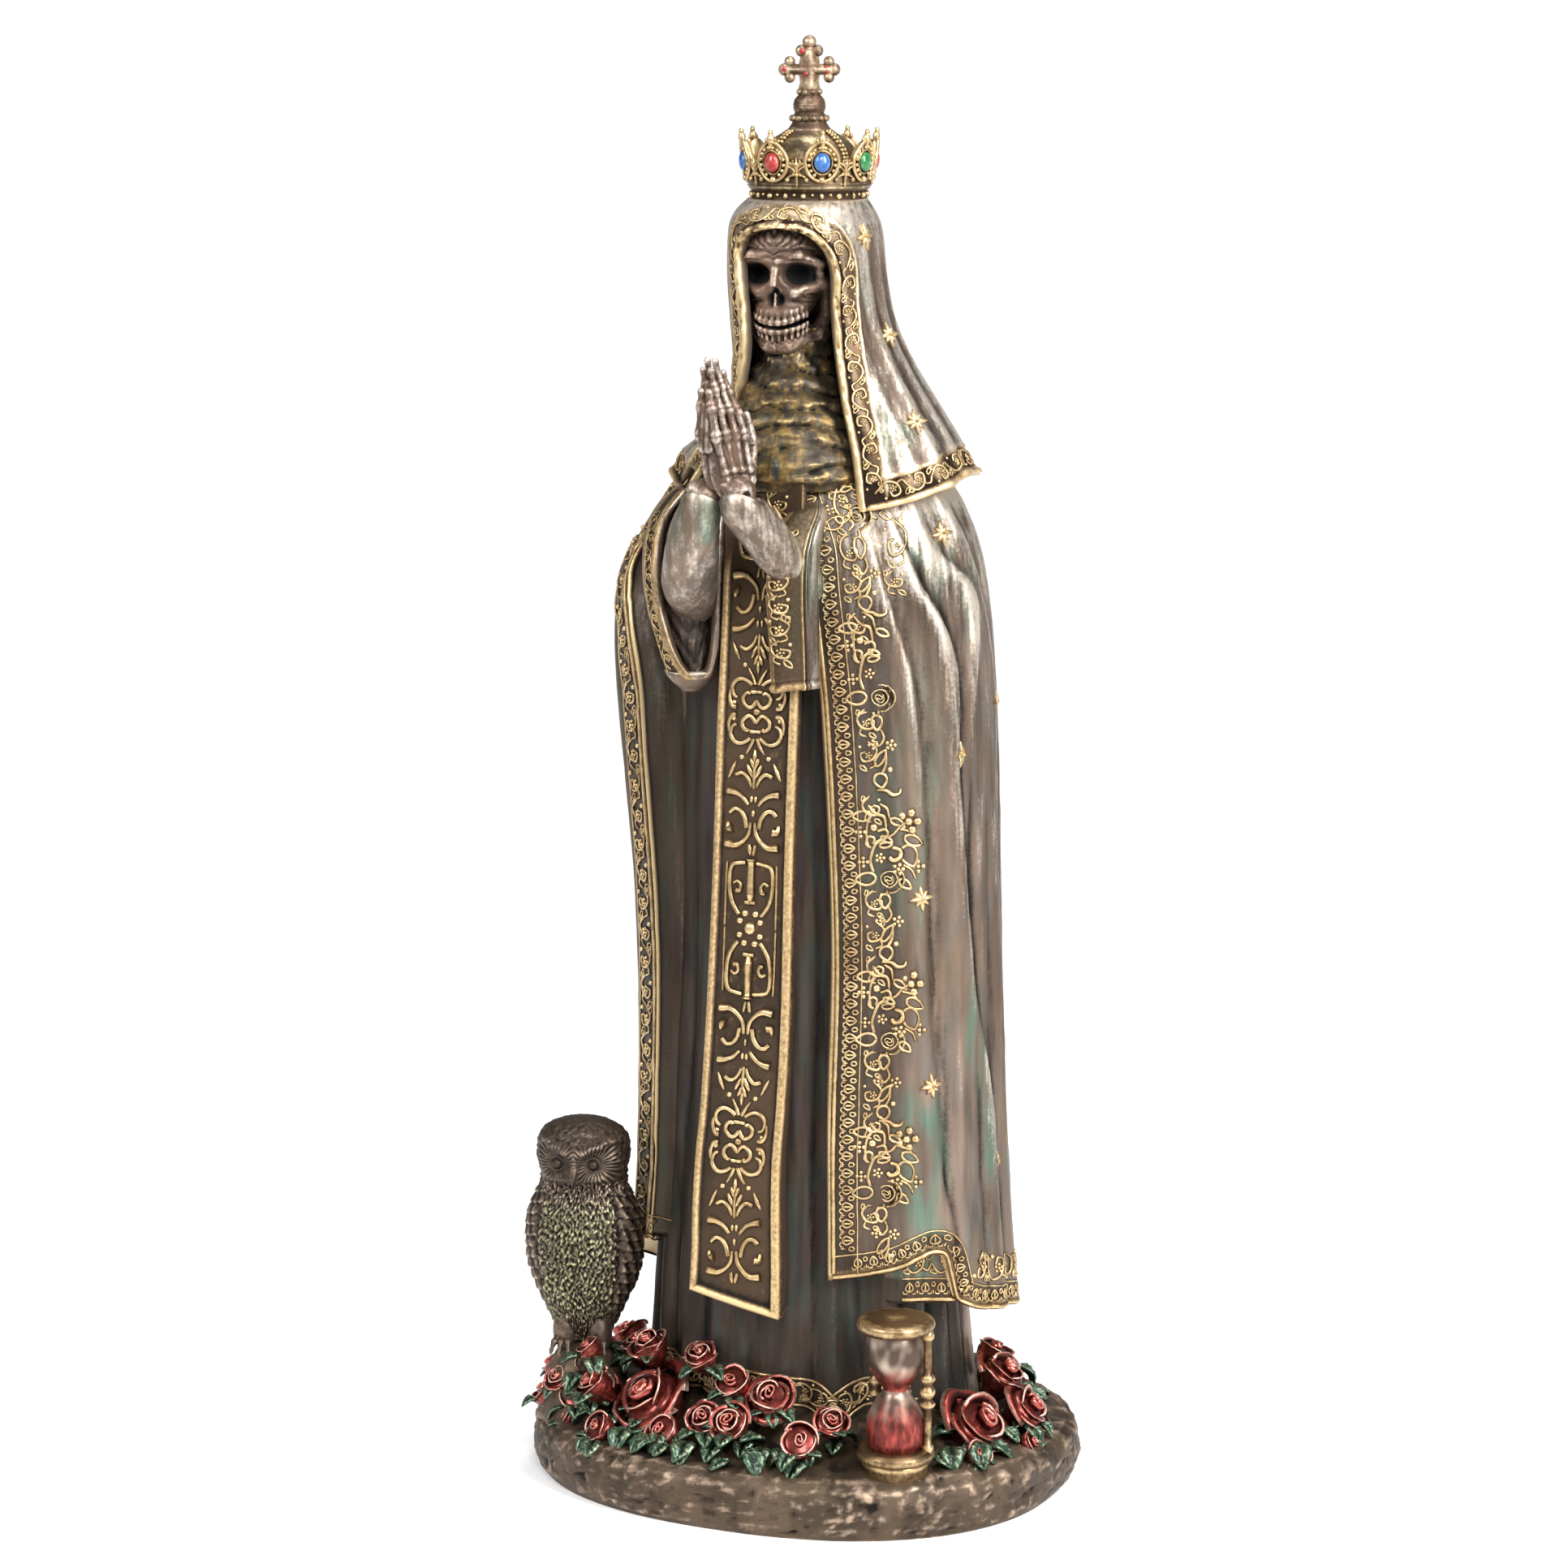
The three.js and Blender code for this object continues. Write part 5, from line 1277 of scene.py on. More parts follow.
# black paint in the sockets, nose and mouth, and painted shade over the teeth at a quarter strength
set_attribute(skull_mesh, "black_paint_and_shade", np.clip(sockets + nose + mouth + 0.25 * shade_round_teeth, 0, 1))
print("skull spans", np.round(points.min(axis=0), 1), np.round(points.max(axis=0), 1), "mm")
add_piece(skull_mesh, "skull", face_bronze, reach=0.00024, rounds=7)

# %% [markdown]
# The praying hands are bare bones. Each finger is a chain of rods, thick at the joints and
# thin between, laid against a flat palm; the gaps between the rods stay open as dark grooves.
# The same field is carved for both hands, mirrored across the plane where the palms meet.

# %% Hands
PALM_X, HAND_Y, HAND_TURN = -2.5, -35.2, math.radians(-24)
FINGERS = [  # place across the palm, then heights of the base, knuckle, joints and tip
    (-3.6, 201.0, 208.5, 214.3, 217.4),
    (-1.2, 201.2, 208.7, 213.7, 218.0, 221.6),
    (1.2, 201.2, 208.8, 213.8, 218.6, 223.4),
    (3.5, 201.0, 208.6, 213.4, 217.4, 221.0),
]
HAND_LEAN = 0.24


def finger_spot(side, across, height, tip):
    opened = smooth(208.6, tip, height)
    closing = mix(0.86, 1, smooth(198.5, 208.6, height)) * mix(1, 0.62, opened)
    return (side * mix(2.35, 1.15, opened), across * closing - HAND_LEAN * (height - 210.5), height)


def hand_field(p, side):
    palm = ball(p, (side * 1.0, 1.2, 203.5), (1.9, 4.8, 8.0))
    for across, *levels in FINGERS:
        for k, (low, high) in enumerate(zip(levels[:-1], levels[1:])):
            a, b = (finger_spot(side, across, h, levels[-1]) for h in (low + 0.42, high - 0.42))
            knob = (1.14, 1.1, 0.98, 0.84)[k]
            middle = tuple(0.5 * (u + v) for u, v in zip(a, b))
            last = k == len(levels) - 2
            shaft = np.minimum(
                rod(p, a, middle, knob * 0.86, knob * 0.66), rod(p, middle, b, knob * 0.66, knob * 0.8)
            )
            bone = melt(shaft, ball(p, a, (knob, knob, knob * 0.8)), 0.35)
            bone = melt(bone, ball(p, b, (knob * (0.7 if last else 0.98),) * 3), 0.35)
            palm = melt(palm, bone, 0.12)
        top = finger_spot(side, across, levels[-1] - 3, levels[-1])
        palm = np.minimum(palm, rod(p, (side * 0.75, top[1], 206), (side * 0.55, top[1], top[2]), 1.05, 0.6))
    for across, high, wide in ((-3.0, 199.7, 1.5), (-0.9, 199.4, 1.7), (1.3, 199.6, 1.7), (3.2, 199.3, 1.5)):
        palm = melt(palm, ball(p, (side * 1.75, across + 2.6, high), (1.7, wide, 1.75)), 0.3)
    thumb = rod(p, (side * 1.7, 6.4, 200.5), (side * 1.4, 7.4, 206.0), 1.15, 0.85)
    thumb = np.minimum(thumb, rod(p, (side * 1.35, 7.3, 206.6), (side * 0.95, 6.0, 212.0), 1.0, 0.7))
    return np.minimum(palm, thumb)


HAND_LOW, HAND_HIGH, HAND_STEP = (-9.0, -14.5, 193.0), (9.0, 10.5, 225.0), 0.23
x, y, z = grid_of(HAND_LOW, HAND_HIGH, HAND_STEP)
bones = np.full(x.shape, 9.0)
for side, part in ((1, x > -0.3), (-1, x < 0.3)):
    cut = tuple(axis[part] for axis in (x, y, z))
    bones[part] = np.minimum(bones[part], hand_field(cut, side))
points, faces = surface_from(bones, HAND_LOW, HAND_STEP)
turned = np.array(Matrix.Rotation(HAND_TURN, 3, "Z"))
points = points @ turned.T + np.array([PALM_X, HAND_Y, BASE_TOP])
add_piece(make_mesh("hands", points, faces), "hands", bone_bronze, reach=0.0002, rounds=6)

# %% Wrists
WRISTS = [((1.1, -34.6, 197.2), (4.1, -36.7, 196.6)), ((-6.1, -34.6, 196.4), (-8.9, -37.2, 195.6))]
wrist_low = (-11.0, -39.5, 192.0)
x, y, z = grid_of(wrist_low, (6.0, -29.5, 203.0), 0.32)
knobs = np.full(x.shape, 9.0)
for centre, dent in WRISTS:
    knob = ball((x, y, z), centre, (3.5, 3.7, 3.3))
    beside = (centre[0] - 1.5, centre[1] - 1.9, centre[2] + 1.3)
    knob = melt(knob, ball((x, y, z), beside, (1.7, 1.6, 1.5)), 0.5)
    knob = hollow(knob, ball((x, y, z), dent, (1.0, 0.95, 1.25)), 0.35)
    knobs = np.minimum(knobs, knob)
points, faces = surface_from(knobs, wrist_low, 0.32)
add_piece(make_mesh("wrists", lifted(points), faces), "wrists", bone_bronze, reach=0.0004, rounds=8)

# %% [markdown]
# The forearms are in close sleeves. Rings are strung on a smooth path from the cuff to the
# elbow; the first rings turn in over the edge of the cuff, and soft creases wander round.

# %% Forearms
def smooth_path(points, count):
    """A curve through the points, by the same rule as the height tables."""
    table = [(k, *point) for k, point in enumerate(points)]
    return np.stack(profile(table, np.linspace(0, len(points) - 1, count)), axis=1)


def tube(path, radii, sides=48, wrinkle=0.0, seed=0):
    """Rings round a path, each at right angles to it."""
    along = np.gradient(path, axis=0)
    along /= np.linalg.norm(along, axis=1, keepdims=True)
    side = np.cross(along, np.array([0.35, 1, 0.2]))
    side /= np.linalg.norm(side, axis=1, keepdims=True)
    over = np.cross(side, along)
    turn = np.linspace(0, 2 * np.pi, sides, endpoint=False)
    row = np.arange(len(path))[:, None]
    cos, sin = np.cos(turn), np.sin(turn)
    radius = radii[:, None] + wrinkle * rough(2.2 * cos + 0 * row, 2.2 * sin + 0 * row, row / 9, seed, 3)
    return path[:, None] + radius[..., None] * (cos[:, None] * side[:, None] + sin[:, None] * over[:, None])


FOREARMS = [
    ([(1.75, -34.5, 195.3), (2.3, -34.2, 193.5), (6, -28.6, 186), (8.6, -23.0, 180), (9.4, -20, 176)],
     [4.2, 4.4, 4.6, 4.4, 4.2]),
    ([(-6.6, -34.9, 195.2), (-7, -35, 193.5), (-9.8, -32.6, 186), (-13.2, -27, 178), (-15.5, -20, 172)],
     [3.9, 4.2, 5.3, 5.6, 4.4]),
]
FOREARM_RINGS = 70
forearm_parts = []
for arm, (path, radii) in enumerate(FOREARMS):
    radius = profile(list(enumerate(radii)), np.linspace(0, len(radii) - 1, FOREARM_RINGS))
    start = np.arange(FOREARM_RINGS)
    turned_in = 1 - 0.28 * (start < 1) - 0.09 * (start < 2) - 0.02 * (start < 3)
    radius = radius * turned_in + 0.25 * bell((start - 7) / 2.2)
    rings = tube(smooth_path(path, FOREARM_RINGS), radius, 40, 0.2, 60 + arm)
    forearm_parts.append(closed_stack(lifted(rings)))
add_piece(make_mesh("forearms", *combined(forearm_parts)), "forearms", robe_bronze, reach=0.0012, rounds=14)

# %% [markdown]
# The right sleeve hangs open like a long pouch. It is made as the hood was: a shell whose two
# front edges come together at the bottom, with the distance from the edge shaping its rim.
# Folded cloth fills the inside, in the U-shaped creases of something hung from both ends.

# %% Right sleeve
RIGHT_SLEEVE = [
    (155.4, -14.9, -22.6, 2.2, 2.2), (157.4, -15, -22.6, 4.3, 3.9), (161, -15.4, -22.4, 5.4, 5.0),
    (166, -16.2, -22, 6.4, 5.9), (174, -17.6, -21.2, 7.5, 6.8), (182, -18.3, -19.6, 8, 7.4),
    (190, -18.4, -16.4, 7.4, 7), (196, -16.6, -11.6, 5.6, 6),
]
SLEEVE_TURN = math.radians(18)
MOUTH_CENTRE = -46.0
MOUTH_HALF = [
    (158.0, 0), (158.5, 12), (159.6, 27), (161.5, 40), (165, 50), (170, 55), (180, 57), (190, 57),
    (196, 56)
]


def sleeve_surface(table, degrees, height, proud=0.0, squareness=1.0):
    centre_x, centre_y, half_width, half_depth = profile(table, height)
    turn = np.radians(degrees) - SLEEVE_TURN
    bent = lambda v: np.sign(v) * np.abs(v) ** squareness
    across, deep = (half_width + proud) * bent(np.cos(turn)), (half_depth + proud) * bent(np.sin(turn))
    cos, sin = math.cos(SLEEVE_TURN), math.sin(SLEEVE_TURN)
    return lifted(
        np.stack(
            [centre_x + across * cos - deep * sin, centre_y + across * sin + deep * cos, height], axis=-1
        )
    )


levels = np.concatenate([np.linspace(158.05, 162, 16), np.linspace(162.6, 195, 46)])
half = profile(MOUTH_HALF, levels)[:, None]
share = np.linspace(0, 1, 104)
degrees = MOUTH_CENTRE + half + (360 - 2 * half) * (share - 0.05 * np.sin(2 * np.pi * share))
height = levels[:, None] + 0 * degrees
flat = sleeve_surface(RIGHT_SLEEVE, degrees, height)
mouth_path = np.concatenate([flat[::-2, 0], flat[::2, -1]])
from_mouth = distance_to_path(flat.reshape(-1, 3), mouth_path).reshape(height.shape)
band = 0.55 * np.sqrt(np.clip(1 - ((from_mouth - 0.7) / 0.9) ** 2, 0, 1)) - 0.2 * smooth(1.5, 1.8, from_mouth)
band = band + 0.2 * smooth(3.7, 4.1, from_mouth) + 0.25 * bell((from_mouth - 4.1) / 0.25)
drape = 0.35 * rough(degrees / 22, height / 10, 0, 66, 2)
outer = sleeve_surface(RIGHT_SLEEVE, degrees, height, band + drape * smooth(4, 6, from_mouth))
inner = sleeve_surface(RIGHT_SLEEVE, degrees, height, -1.3 - 0.5 * smooth(0.5, 3, from_mouth))
points, faces = shell(outer, inner)
sleeve_mesh = make_mesh("right_sleeve", points, faces)
on_band = smooth(4.3, 3.9, from_mouth) * smooth(1.3, 1.6, from_mouth)
on_line = np.clip(bell((from_mouth - 0.9) / 0.8) + bell((from_mouth - 4.2) / 0.4), 0, 1)
side_of = (degrees > 180).astype(float)
set_attribute(sleeve_mesh, "gilt", np.concatenate([(on_line * side_of).ravel(), 0 * on_line.ravel()]))
set_attribute(sleeve_mesh, "ground", np.concatenate([(on_band * side_of).ravel(), 0 * on_line.ravel()]))
right_sleeve = add_piece(sleeve_mesh, "right_sleeve", robe_bronze, reach=0.0005, rounds=14)

# the keel closes the pouch below, where its two sides come together
keel_turn, keel_height = np.meshgrid(np.linspace(0, 360, 60, endpoint=False), np.linspace(155.2, 159.2, 14))
points, faces = closed_stack(
    sleeve_surface(RIGHT_SLEEVE, keel_turn, keel_height, -0.1 + 0.35 * smooth(157, 158.5, keel_height))
)
add_piece(make_mesh("sleeve_keel", points, faces), "sleeve_keel", robe_bronze, reach=0.0005, rounds=14)

turn_deg, height = np.meshgrid(np.linspace(0, 360, 60, endpoint=False), np.linspace(157, 196, 56))
toward_mouth = np.cos(np.radians(turn_deg - MOUTH_CENTRE))
swag = height - 5.2 * (1 - toward_mouth) * 2.2 + 1.2 * rough(turn_deg / 40, height / 8, 0, 71, 2)
pleat = 0.75 * np.abs(np.sin(swag * 0.62)) ** 0.6 * smooth(-0.2, 0.5, toward_mouth)
pleat = -3.2 + pleat + 0.25 * rough(turn_deg / 9, height / 2.5, 0, 72, 3)
points, faces = closed_stack(sleeve_surface(RIGHT_SLEEVE, turn_deg, height, pleat))
# the lining takes the dress's finish: its own dark colour and painted shade
add_piece(make_mesh("sleeve_lining", points, faces), "sleeve_lining", dark_dress_and_shade, reach=0.0006, rounds=14)

# %% Left sleeve
LEFT_SLEEVE = [
    (157.0, 8.4, -23, 4.6, 5), (166, 8.2, -23.2, 4.75, 5.4), (176, 7.8, -23.2, 4.9, 5.6),
    (184, 7.8, -22.4, 4.9, 5.7), (188.5, 8.2, -20.6, 4.7, 5.6), (192, 8.9, -17.6, 3.6, 4.9),
    (194, 9.2, -15.8, 1.8, 3.2),
]
turn_deg = np.concatenate(
    [np.linspace(-180, -155, 14), np.linspace(-153.5, -30, 84), np.linspace(-26, 174, 26)]
)
turn_deg, height = np.meshgrid(
    turn_deg, np.concatenate([np.linspace(157, 160, 12), np.linspace(160.6, 194, 52)])
)
edge_at = -139.0  # the mouth's edge, which the gold trim follows
from_edge = (turn_deg + 180) % 360 - 180 - edge_at
roll = (
    0.5 * bell((from_edge - 1) / 7) + 0.25 * bell((from_edge - 14) / 2.4)
    + 0.3 * bell((from_edge - 86) / 3)
)
seams = 0.25 * bell((from_edge - 96) / 2.5) - 0.3 * bell((from_edge - 92) / 3)
hem_roll = 0.35 * bell((height - 157.8) / 0.5) - 0.15 * bell((height - 158.9) / 0.4)
drape = 0.3 * rough(turn_deg / 16, height / 14, 0, 75, 2) * smooth(96, 104, from_edge)
lines = sleeve_surface(LEFT_SLEEVE, turn_deg, height, roll + seams + hem_roll + drape, 0.7)
lines[..., 2] += (0.9 * smooth(-120, -60, (turn_deg + 180) % 360 - 180) - 0.4) * smooth(165, 157, height)
points, faces = closed_stack(lines)
sleeve_mesh = make_mesh("left_sleeve", points, faces)
trim = smooth(8, 12, from_edge) * smooth(88, 84, from_edge)
foot = bell((height - 157.7) / 0.9) * smooth(-8, -2, from_edge) * smooth(92, 88, from_edge)
gilt = np.clip(
    bell((from_edge - 1) / 9) + bell((from_edge - 14) / 3) + bell((from_edge - 86) / 4) + foot, 0, 1
)
set_attribute(sleeve_mesh, "gilt", np.concatenate([np.maximum(gilt, 0.2 * trim).ravel(), [0, 0]]))
set_attribute(sleeve_mesh, "ground", np.concatenate([(0.55 + 0.45 * trim).ravel(), [0, 0]]))
left_sleeve = add_piece(sleeve_mesh, "left_sleeve", robe_bronze, reach=0.0005, rounds=14)

# %% [markdown]
# Small ornament is assembled from a few closed shapes: beads, turned knobs and wires. Each
# helper returns points and faces, and `combined` puts any number of them in one mesh.

# %% Small closed shapes
def turned_shape(rows, centre=(0, 0, 0), sides=32):
    """A lathe: rows of (radius, height), closed at both ends on the axis."""
    rows = np.array(rows, float)
    turn = np.linspace(0, 2 * np.pi, sides, endpoint=False)
    rings = np.stack(
        [rows[:, :1] * np.cos(turn), rows[:, :1] * np.sin(turn), rows[:, 1:2] + 0 * turn], axis=-1
    )
    points, faces = closed_stack(rings)
    return points + np.array(centre), faces


def spun(points, angle):
    """Points turned about the upright axis."""
    cos, sin = math.cos(angle), math.sin(angle)
    x, y, z = points[..., 0], points[..., 1], points[..., 2]
    return np.stack([x * cos - y * sin, x * sin + y * cos, z], axis=-1)


def bead(centre, radii, sides=10, rows=6):
    """A ball or egg; radii is one number or three."""
    lift = np.linspace(-np.pi / 2, np.pi / 2, rows + 1)[1:-1]
    turn = np.linspace(0, 2 * np.pi, sides, endpoint=False)
    reach, rise = np.cos(lift)[:, None], np.sin(lift)[:, None]
    rings = np.stack([reach * np.cos(turn), reach * np.sin(turn), rise + 0 * turn], axis=-1)
    points, faces = closed_stack(rings, np.array([0, 0, -1.0]), np.array([0, 0, 1.0]))
    return points * np.array(radii if np.ndim(radii) else (radii,) * 3) + np.array(centre), faces


def wire(path, radius, sides=8, closed=False):
    """A round wire along a path; radius may be one number or one for each point."""
    path = np.asarray(path, float)
    ahead = np.roll(path, -1, axis=0) - np.roll(path, 1, axis=0) if closed else np.gradient(path, axis=0)
    ahead /= np.maximum(np.linalg.norm(ahead, axis=1, keepdims=True), 1e-9)
    side = np.cross(ahead[0], [0.31, 0.17, 0.94])
    frames = []
    for direction in ahead:
        side = side - direction * (side @ direction)
        side = side / np.linalg.norm(side)
        frames.append((side, np.cross(direction, side)))
    side, over = (np.array(part)[:, None] for part in zip(*frames))
    turn = np.linspace(0, 2 * np.pi, sides, endpoint=False)[:, None]
    radius = np.broadcast_to(np.asarray(radius, float), len(path))[:, None, None]
    rings = path[:, None] + radius * (np.cos(turn) * side + np.sin(turn) * over)
    if not closed:
        return closed_stack(rings)
    rows = len(path)
    faces = grid_faces(rows + 1, sides, True) % (rows * sides)
    return rings.reshape(-1, 3), [faces]


def coat_finish(name, dark, body, pale, roughness=0.3, metallic=0.55):
    """Translucent coloured lacquer over metal: deep in hollows, thin on the edges."""
    finish = Finish(name)
    relief = finish.attribute("relief")
    grain = finish.grain(1.6, (1, 1, 1), 3.0, 0.2)
    worn = (relief + (grain - 0.5) * 0.45).step(0.62, 0.95)
    colour = finish.blend((relief + (grain - 0.5) * 0.3).step(0.15, 0.5), dark, body)
    colour = finish.blend(worn, colour, pale)
    return finish.paint(
        base_color=colour, metallic=metallic, roughness=worn * 0.12 + (roughness - 0.05) + grain * 0.1,
        normal=finish.bump(grain, 0.04, 0.6), coat_weight=0.35, coat_roughness=0.15,
    )


# %% [markdown]
# Crown ornament is drawn flat, as (across, height, out), and wrapped round the crown's wall.
# The wall leans outwards, so a point higher up also stands further out.

# %% Crown
CROWN_X, CROWN_Y = 0.5, 1.0
PANEL_COUNT, FIRST_PANEL = 8, math.radians(-55)
GEM_HEIGHT = 260.3
WALL_RADIUS, WALL_LEAN, BAND_HEIGHT = 12.45, 0.13, 256  # the radius is that at the band


def on_crown(turn, across, height, out):
    across, height, out = np.broadcast_arrays(*(np.asarray(v, float) for v in (across, height, out)))
    radius = WALL_RADIUS + WALL_LEAN * (height - BAND_HEIGHT) + out
    angle = turn + across / 12.6
    return np.stack([CROWN_X + radius * np.cos(angle), CROWN_Y + radius * np.sin(angle), height], axis=-1)


def crown_bead(turn, across, height, out, radius, sides=10, rows=6):
    centre = on_crown(turn, across, height, out)
    return bead(centre, radius, sides, rows)


def oval_line(half_across, low, high, point=0.0, count=28):
    """A closed oval as (across, height), drawn up to a point at the top."""
    t = np.linspace(0, 2 * np.pi, count, endpoint=False)
    middle, half = 0.5 * (low + high), 0.5 * (high - low)
    up = np.sin(t)
    return half_across * np.cos(t) * (1 - point * np.clip(up, 0, 1) ** 2), middle + half * up


CROWN_WALL = [  # radius and height, from inside the head up over the rim and the cap
    (3, 251.4), (11.5, 251.4), (11.9, 251.8), (11.75, 252.4), (11.5, 252.9), (11.6, 254.4), (12.1, 254.8),
    (12.5, 255.3), (12.2, 255.6), (12.5, 256.0), (12.3, 256.4), (12.35, 258), (12.45, 259.6),
    (12.3, 260.0), (11.6, 260.0), (11.2, 259), (10.9, 257.7), (10.3, 258.4), (9.9, 261.2), (8.8, 263.2),
    (7.0, 264.8), (5.4, 265.7), (4.7, 266.2), (3, 266.8), (0.2, 267),
]
wall = turned_shape(CROWN_WALL, (CROWN_X, CROWN_Y, 0), 96)
crown_parts, gem_parts = [], {"blue": [], "red": [], "green": []}
GEMS = ["blue", "green", "red", "blue", "green", "red", "blue", "red"]
for panel in range(PANEL_COUNT):
    turn = FIRST_PANEL + panel * 2 * np.pi / PANEL_COUNT
    across, height = oval_line(3.25, 256.6, 264.4, 0.3)
    plate_in, plate_out = (on_crown(turn, across, height, out) for out in (-0.9, 0.25))
    boss = on_crown(turn, 0, GEM_HEIGHT, 0.3)
    crown_parts.append(closed_stack(np.stack([plate_in, plate_out]), plate_in.mean(axis=0), boss))
    crown_parts.append(wire(on_crown(turn, across, height, 0.3), 0.36, 8, closed=True))
    inner_across, inner_height = oval_line(1.95, GEM_HEIGHT - 2.35, GEM_HEIGHT + 2.35)
    crown_parts.append(wire(on_crown(turn, inner_across, inner_height, 0.35), 0.2, 6, closed=True))
    for k in range(14):
        angle = math.radians(-55 + k * 290 / 13)
        across, height = 2.55 * math.cos(angle), GEM_HEIGHT + 2.95 * math.sin(angle)
        crown_parts.append(crown_bead(turn, across, height, 0.42, 0.4, 8, 5))
    crown_parts.append(crown_bead(turn, 0, 256.9, 0.35, 0.68))
    for spread, level, size in ((0, 264.9, 0.95), (-0.95, 264.6, 0.5), (0.95, 264.6, 0.5), (0, 266.1, 0.62)):
        crown_parts.append(
            bead(on_crown(turn, spread, level, 0.1), (size * 0.8, size * 0.8, size * 1.1), 10, 7)
        )
    tip = on_crown(turn, np.zeros(5), np.linspace(262.9, 266.7, 5), 0.2)
    crown_parts.append(wire(tip, [0.45, 0.5, 0.55, 0.4, 0.12], 8))
    gem, gem_faces = bead((0, 0, 0), (1.0, 1.62, 1.95), 20, 14)
    gem_parts[GEMS[panel]].append((spun(gem, turn) + on_crown(turn, 0, GEM_HEIGHT, 0.35), gem_faces))
    between = turn + np.pi / PANEL_COUNT
    stem = on_crown(between, np.zeros(6), np.linspace(255.6, 261.4, 6), 0.25)
    crown_parts.append(wire(stem, [0.3, 0.26, 0.28, 0.3, 0.26, 0.1], 7))
    for side in (-1, 1):
        t = np.linspace(0, 1, 9)
        garland = on_crown(
            between, side * (0.1 + 1.75 * t), 259.3 + 0.9 * t**2 + 0.5 * np.sin(np.pi * t), 0.2
        )
        crown_parts.append(wire(garland, 0.26, 7))
        loop = on_crown(between, side * (1.75 - 1.3 * np.sin(np.pi * t) ** 0.8), 259.6 - 2.2 * t, 0.2)
        crown_parts.append(wire(loop, 0.24, 7))
        petal = on_crown(between, side * 0.75 * np.sin(np.pi * t * 0.75), 259.6 + 1.2 * t, 0.3)
        crown_parts.append(wire(petal, 0.3 - 0.16 * t, 7))
        crown_parts.append(crown_bead(between, side * 1.9, 256.9, 0.2, 0.5))
        crown_parts.append(crown_bead(between, side * 0.7, 257.9, 0.25, 0.36, 8, 5))
    crown_parts.append(crown_bead(between, 0, 260.0, 0.35, 0.5))
    crown_parts.append(crown_bead(between, 0, 257.9, 0.35, 0.45))
BAND_BEADS = 40
for k in range(BAND_BEADS):
    turn = k * 2 * np.pi / BAND_BEADS
    size = (0.62, 0.36, 0.48, 0.36)[k % 4]
    centre = (CROWN_X + 11.75 * math.cos(turn), CROWN_Y + 11.75 * math.sin(turn), 253.6 + 0.25 * (k % 2))
    crown_parts.append(bead(centre, (size, size, size * (1.4 if k % 4 == 2 else 1)), 8, 6))
for arch in range(4):
    turn = math.radians(-111 + 90 * arch)
    t = np.linspace(0, 1, 22)
    radius, height = profile([(0, 10.6, 259.6), (0.35, 9.7, 262.3), (0.7, 7.2, 265.1), (1, 5.0, 266.3)], t)
    for side in (-0.42, 0.42):
        for r, h in zip(radius[::2], height[::2]):
            spot = spun(np.array([r, side, h]), turn) + np.array([CROWN_X, CROWN_Y, 0])
            crown_parts.append(bead(spot, 0.4, 8, 5))
wall_mesh = make_mesh("crown_wall", lifted(wall[0]), wall[1])
crown_bronze = aged_metal(
    "crown_bronze", srgb(60, 47, 35), srgb(112, 93, 70), srgb(224, 202, 158), None, 0,
    metallic=0.8, roughness=0.34, ridge=(0.56, 0.94), brush=(1, 1, 1), patch_mm=8,
)
add_piece(wall_mesh, "crown_wall", crown_bronze, reach=0.0006, rounds=6)
points, faces = combined(crown_parts)
crown_mesh = make_mesh("crown_filigree", lifted(points), faces)
add_piece(crown_mesh, "crown_filigree", gold, reach=0.0003, rounds=3)
GEM_COLOURS = {
    "blue": (srgb(10, 26, 66), srgb(34, 86, 156), srgb(118, 164, 212)),
    "red": (srgb(66, 10, 14), srgb(158, 42, 40), srgb(216, 118, 104)),
    "green": (srgb(8, 46, 22), srgb(34, 116, 60), srgb(126, 188, 132)),
}
for colour, parts in gem_parts.items():
    points, faces = combined(parts)
    lacquer = coat_finish(colour + "_enamel", *GEM_COLOURS[colour], roughness=0.22, metallic=0.1)
    gem_mesh = make_mesh(colour + "_gems", lifted(points), faces)
    add_piece(gem_mesh, colour + "_gems", lacquer, reach=0.0006, rounds=10)

# %% Collar and cross
COLLAR = [
    (4.4, 265.6), (4.3, 266.4), (3.9, 267.0), (3.5, 267.6), (3.35, 268.2), (3.55, 268.6), (3.3, 269.1),
    (3.0, 269.5), (2.9, 269.8), (3.1, 270.1), (3.25, 270.9), (3.2, 271.1), (3.3, 271.3), (3.2, 271.5),
    (3.0, 272.3), (2.4, 273.0), (2.0, 273.3), (2.1, 273.7), (1.9, 274.2), (1.2, 274.5),
]
cross_parts = [turned_shape(COLLAR, (CROWN_X, CROWN_Y, 0), 40)]
for count, radius, height, size in ((14, 3.45, 268.6, 0.66), (8, 2.15, 273.8, 0.62)):
    for k in range(count):
        turn = 2 * np.pi * k / count
        spot = (CROWN_X + radius * math.cos(turn), CROWN_Y + radius * math.sin(turn), height)
        cross_parts.append(bead(spot, size, 10, 7))


def cross_bar(path, half, deep):
    """A bar of diamond section with softened corners: flat on the sides and ridged in front."""
    turn = np.linspace(0, 2 * np.pi, 16, endpoint=False)
    corner = 1 / (np.abs(np.cos(turn)) ** 1.3 + np.abs(np.sin(turn)) ** 1.3) ** (1 / 1.3)
    path = np.asarray(path, float)
    ahead = path[-1] - path[0]
    side = np.array([1.0, 0, 0]) if abs(ahead[2]) > abs(ahead[0]) else np.array([0, 0, 1.0])
    depth = np.array([0, 1.0, 0])
    half = np.asarray(half)[:, None, None]
    across, out = (np.cos(turn) * corner)[:, None], (np.sin(turn) * corner)[:, None]
    return closed_stack(path[:, None] + across * side * half + out * depth * deep)


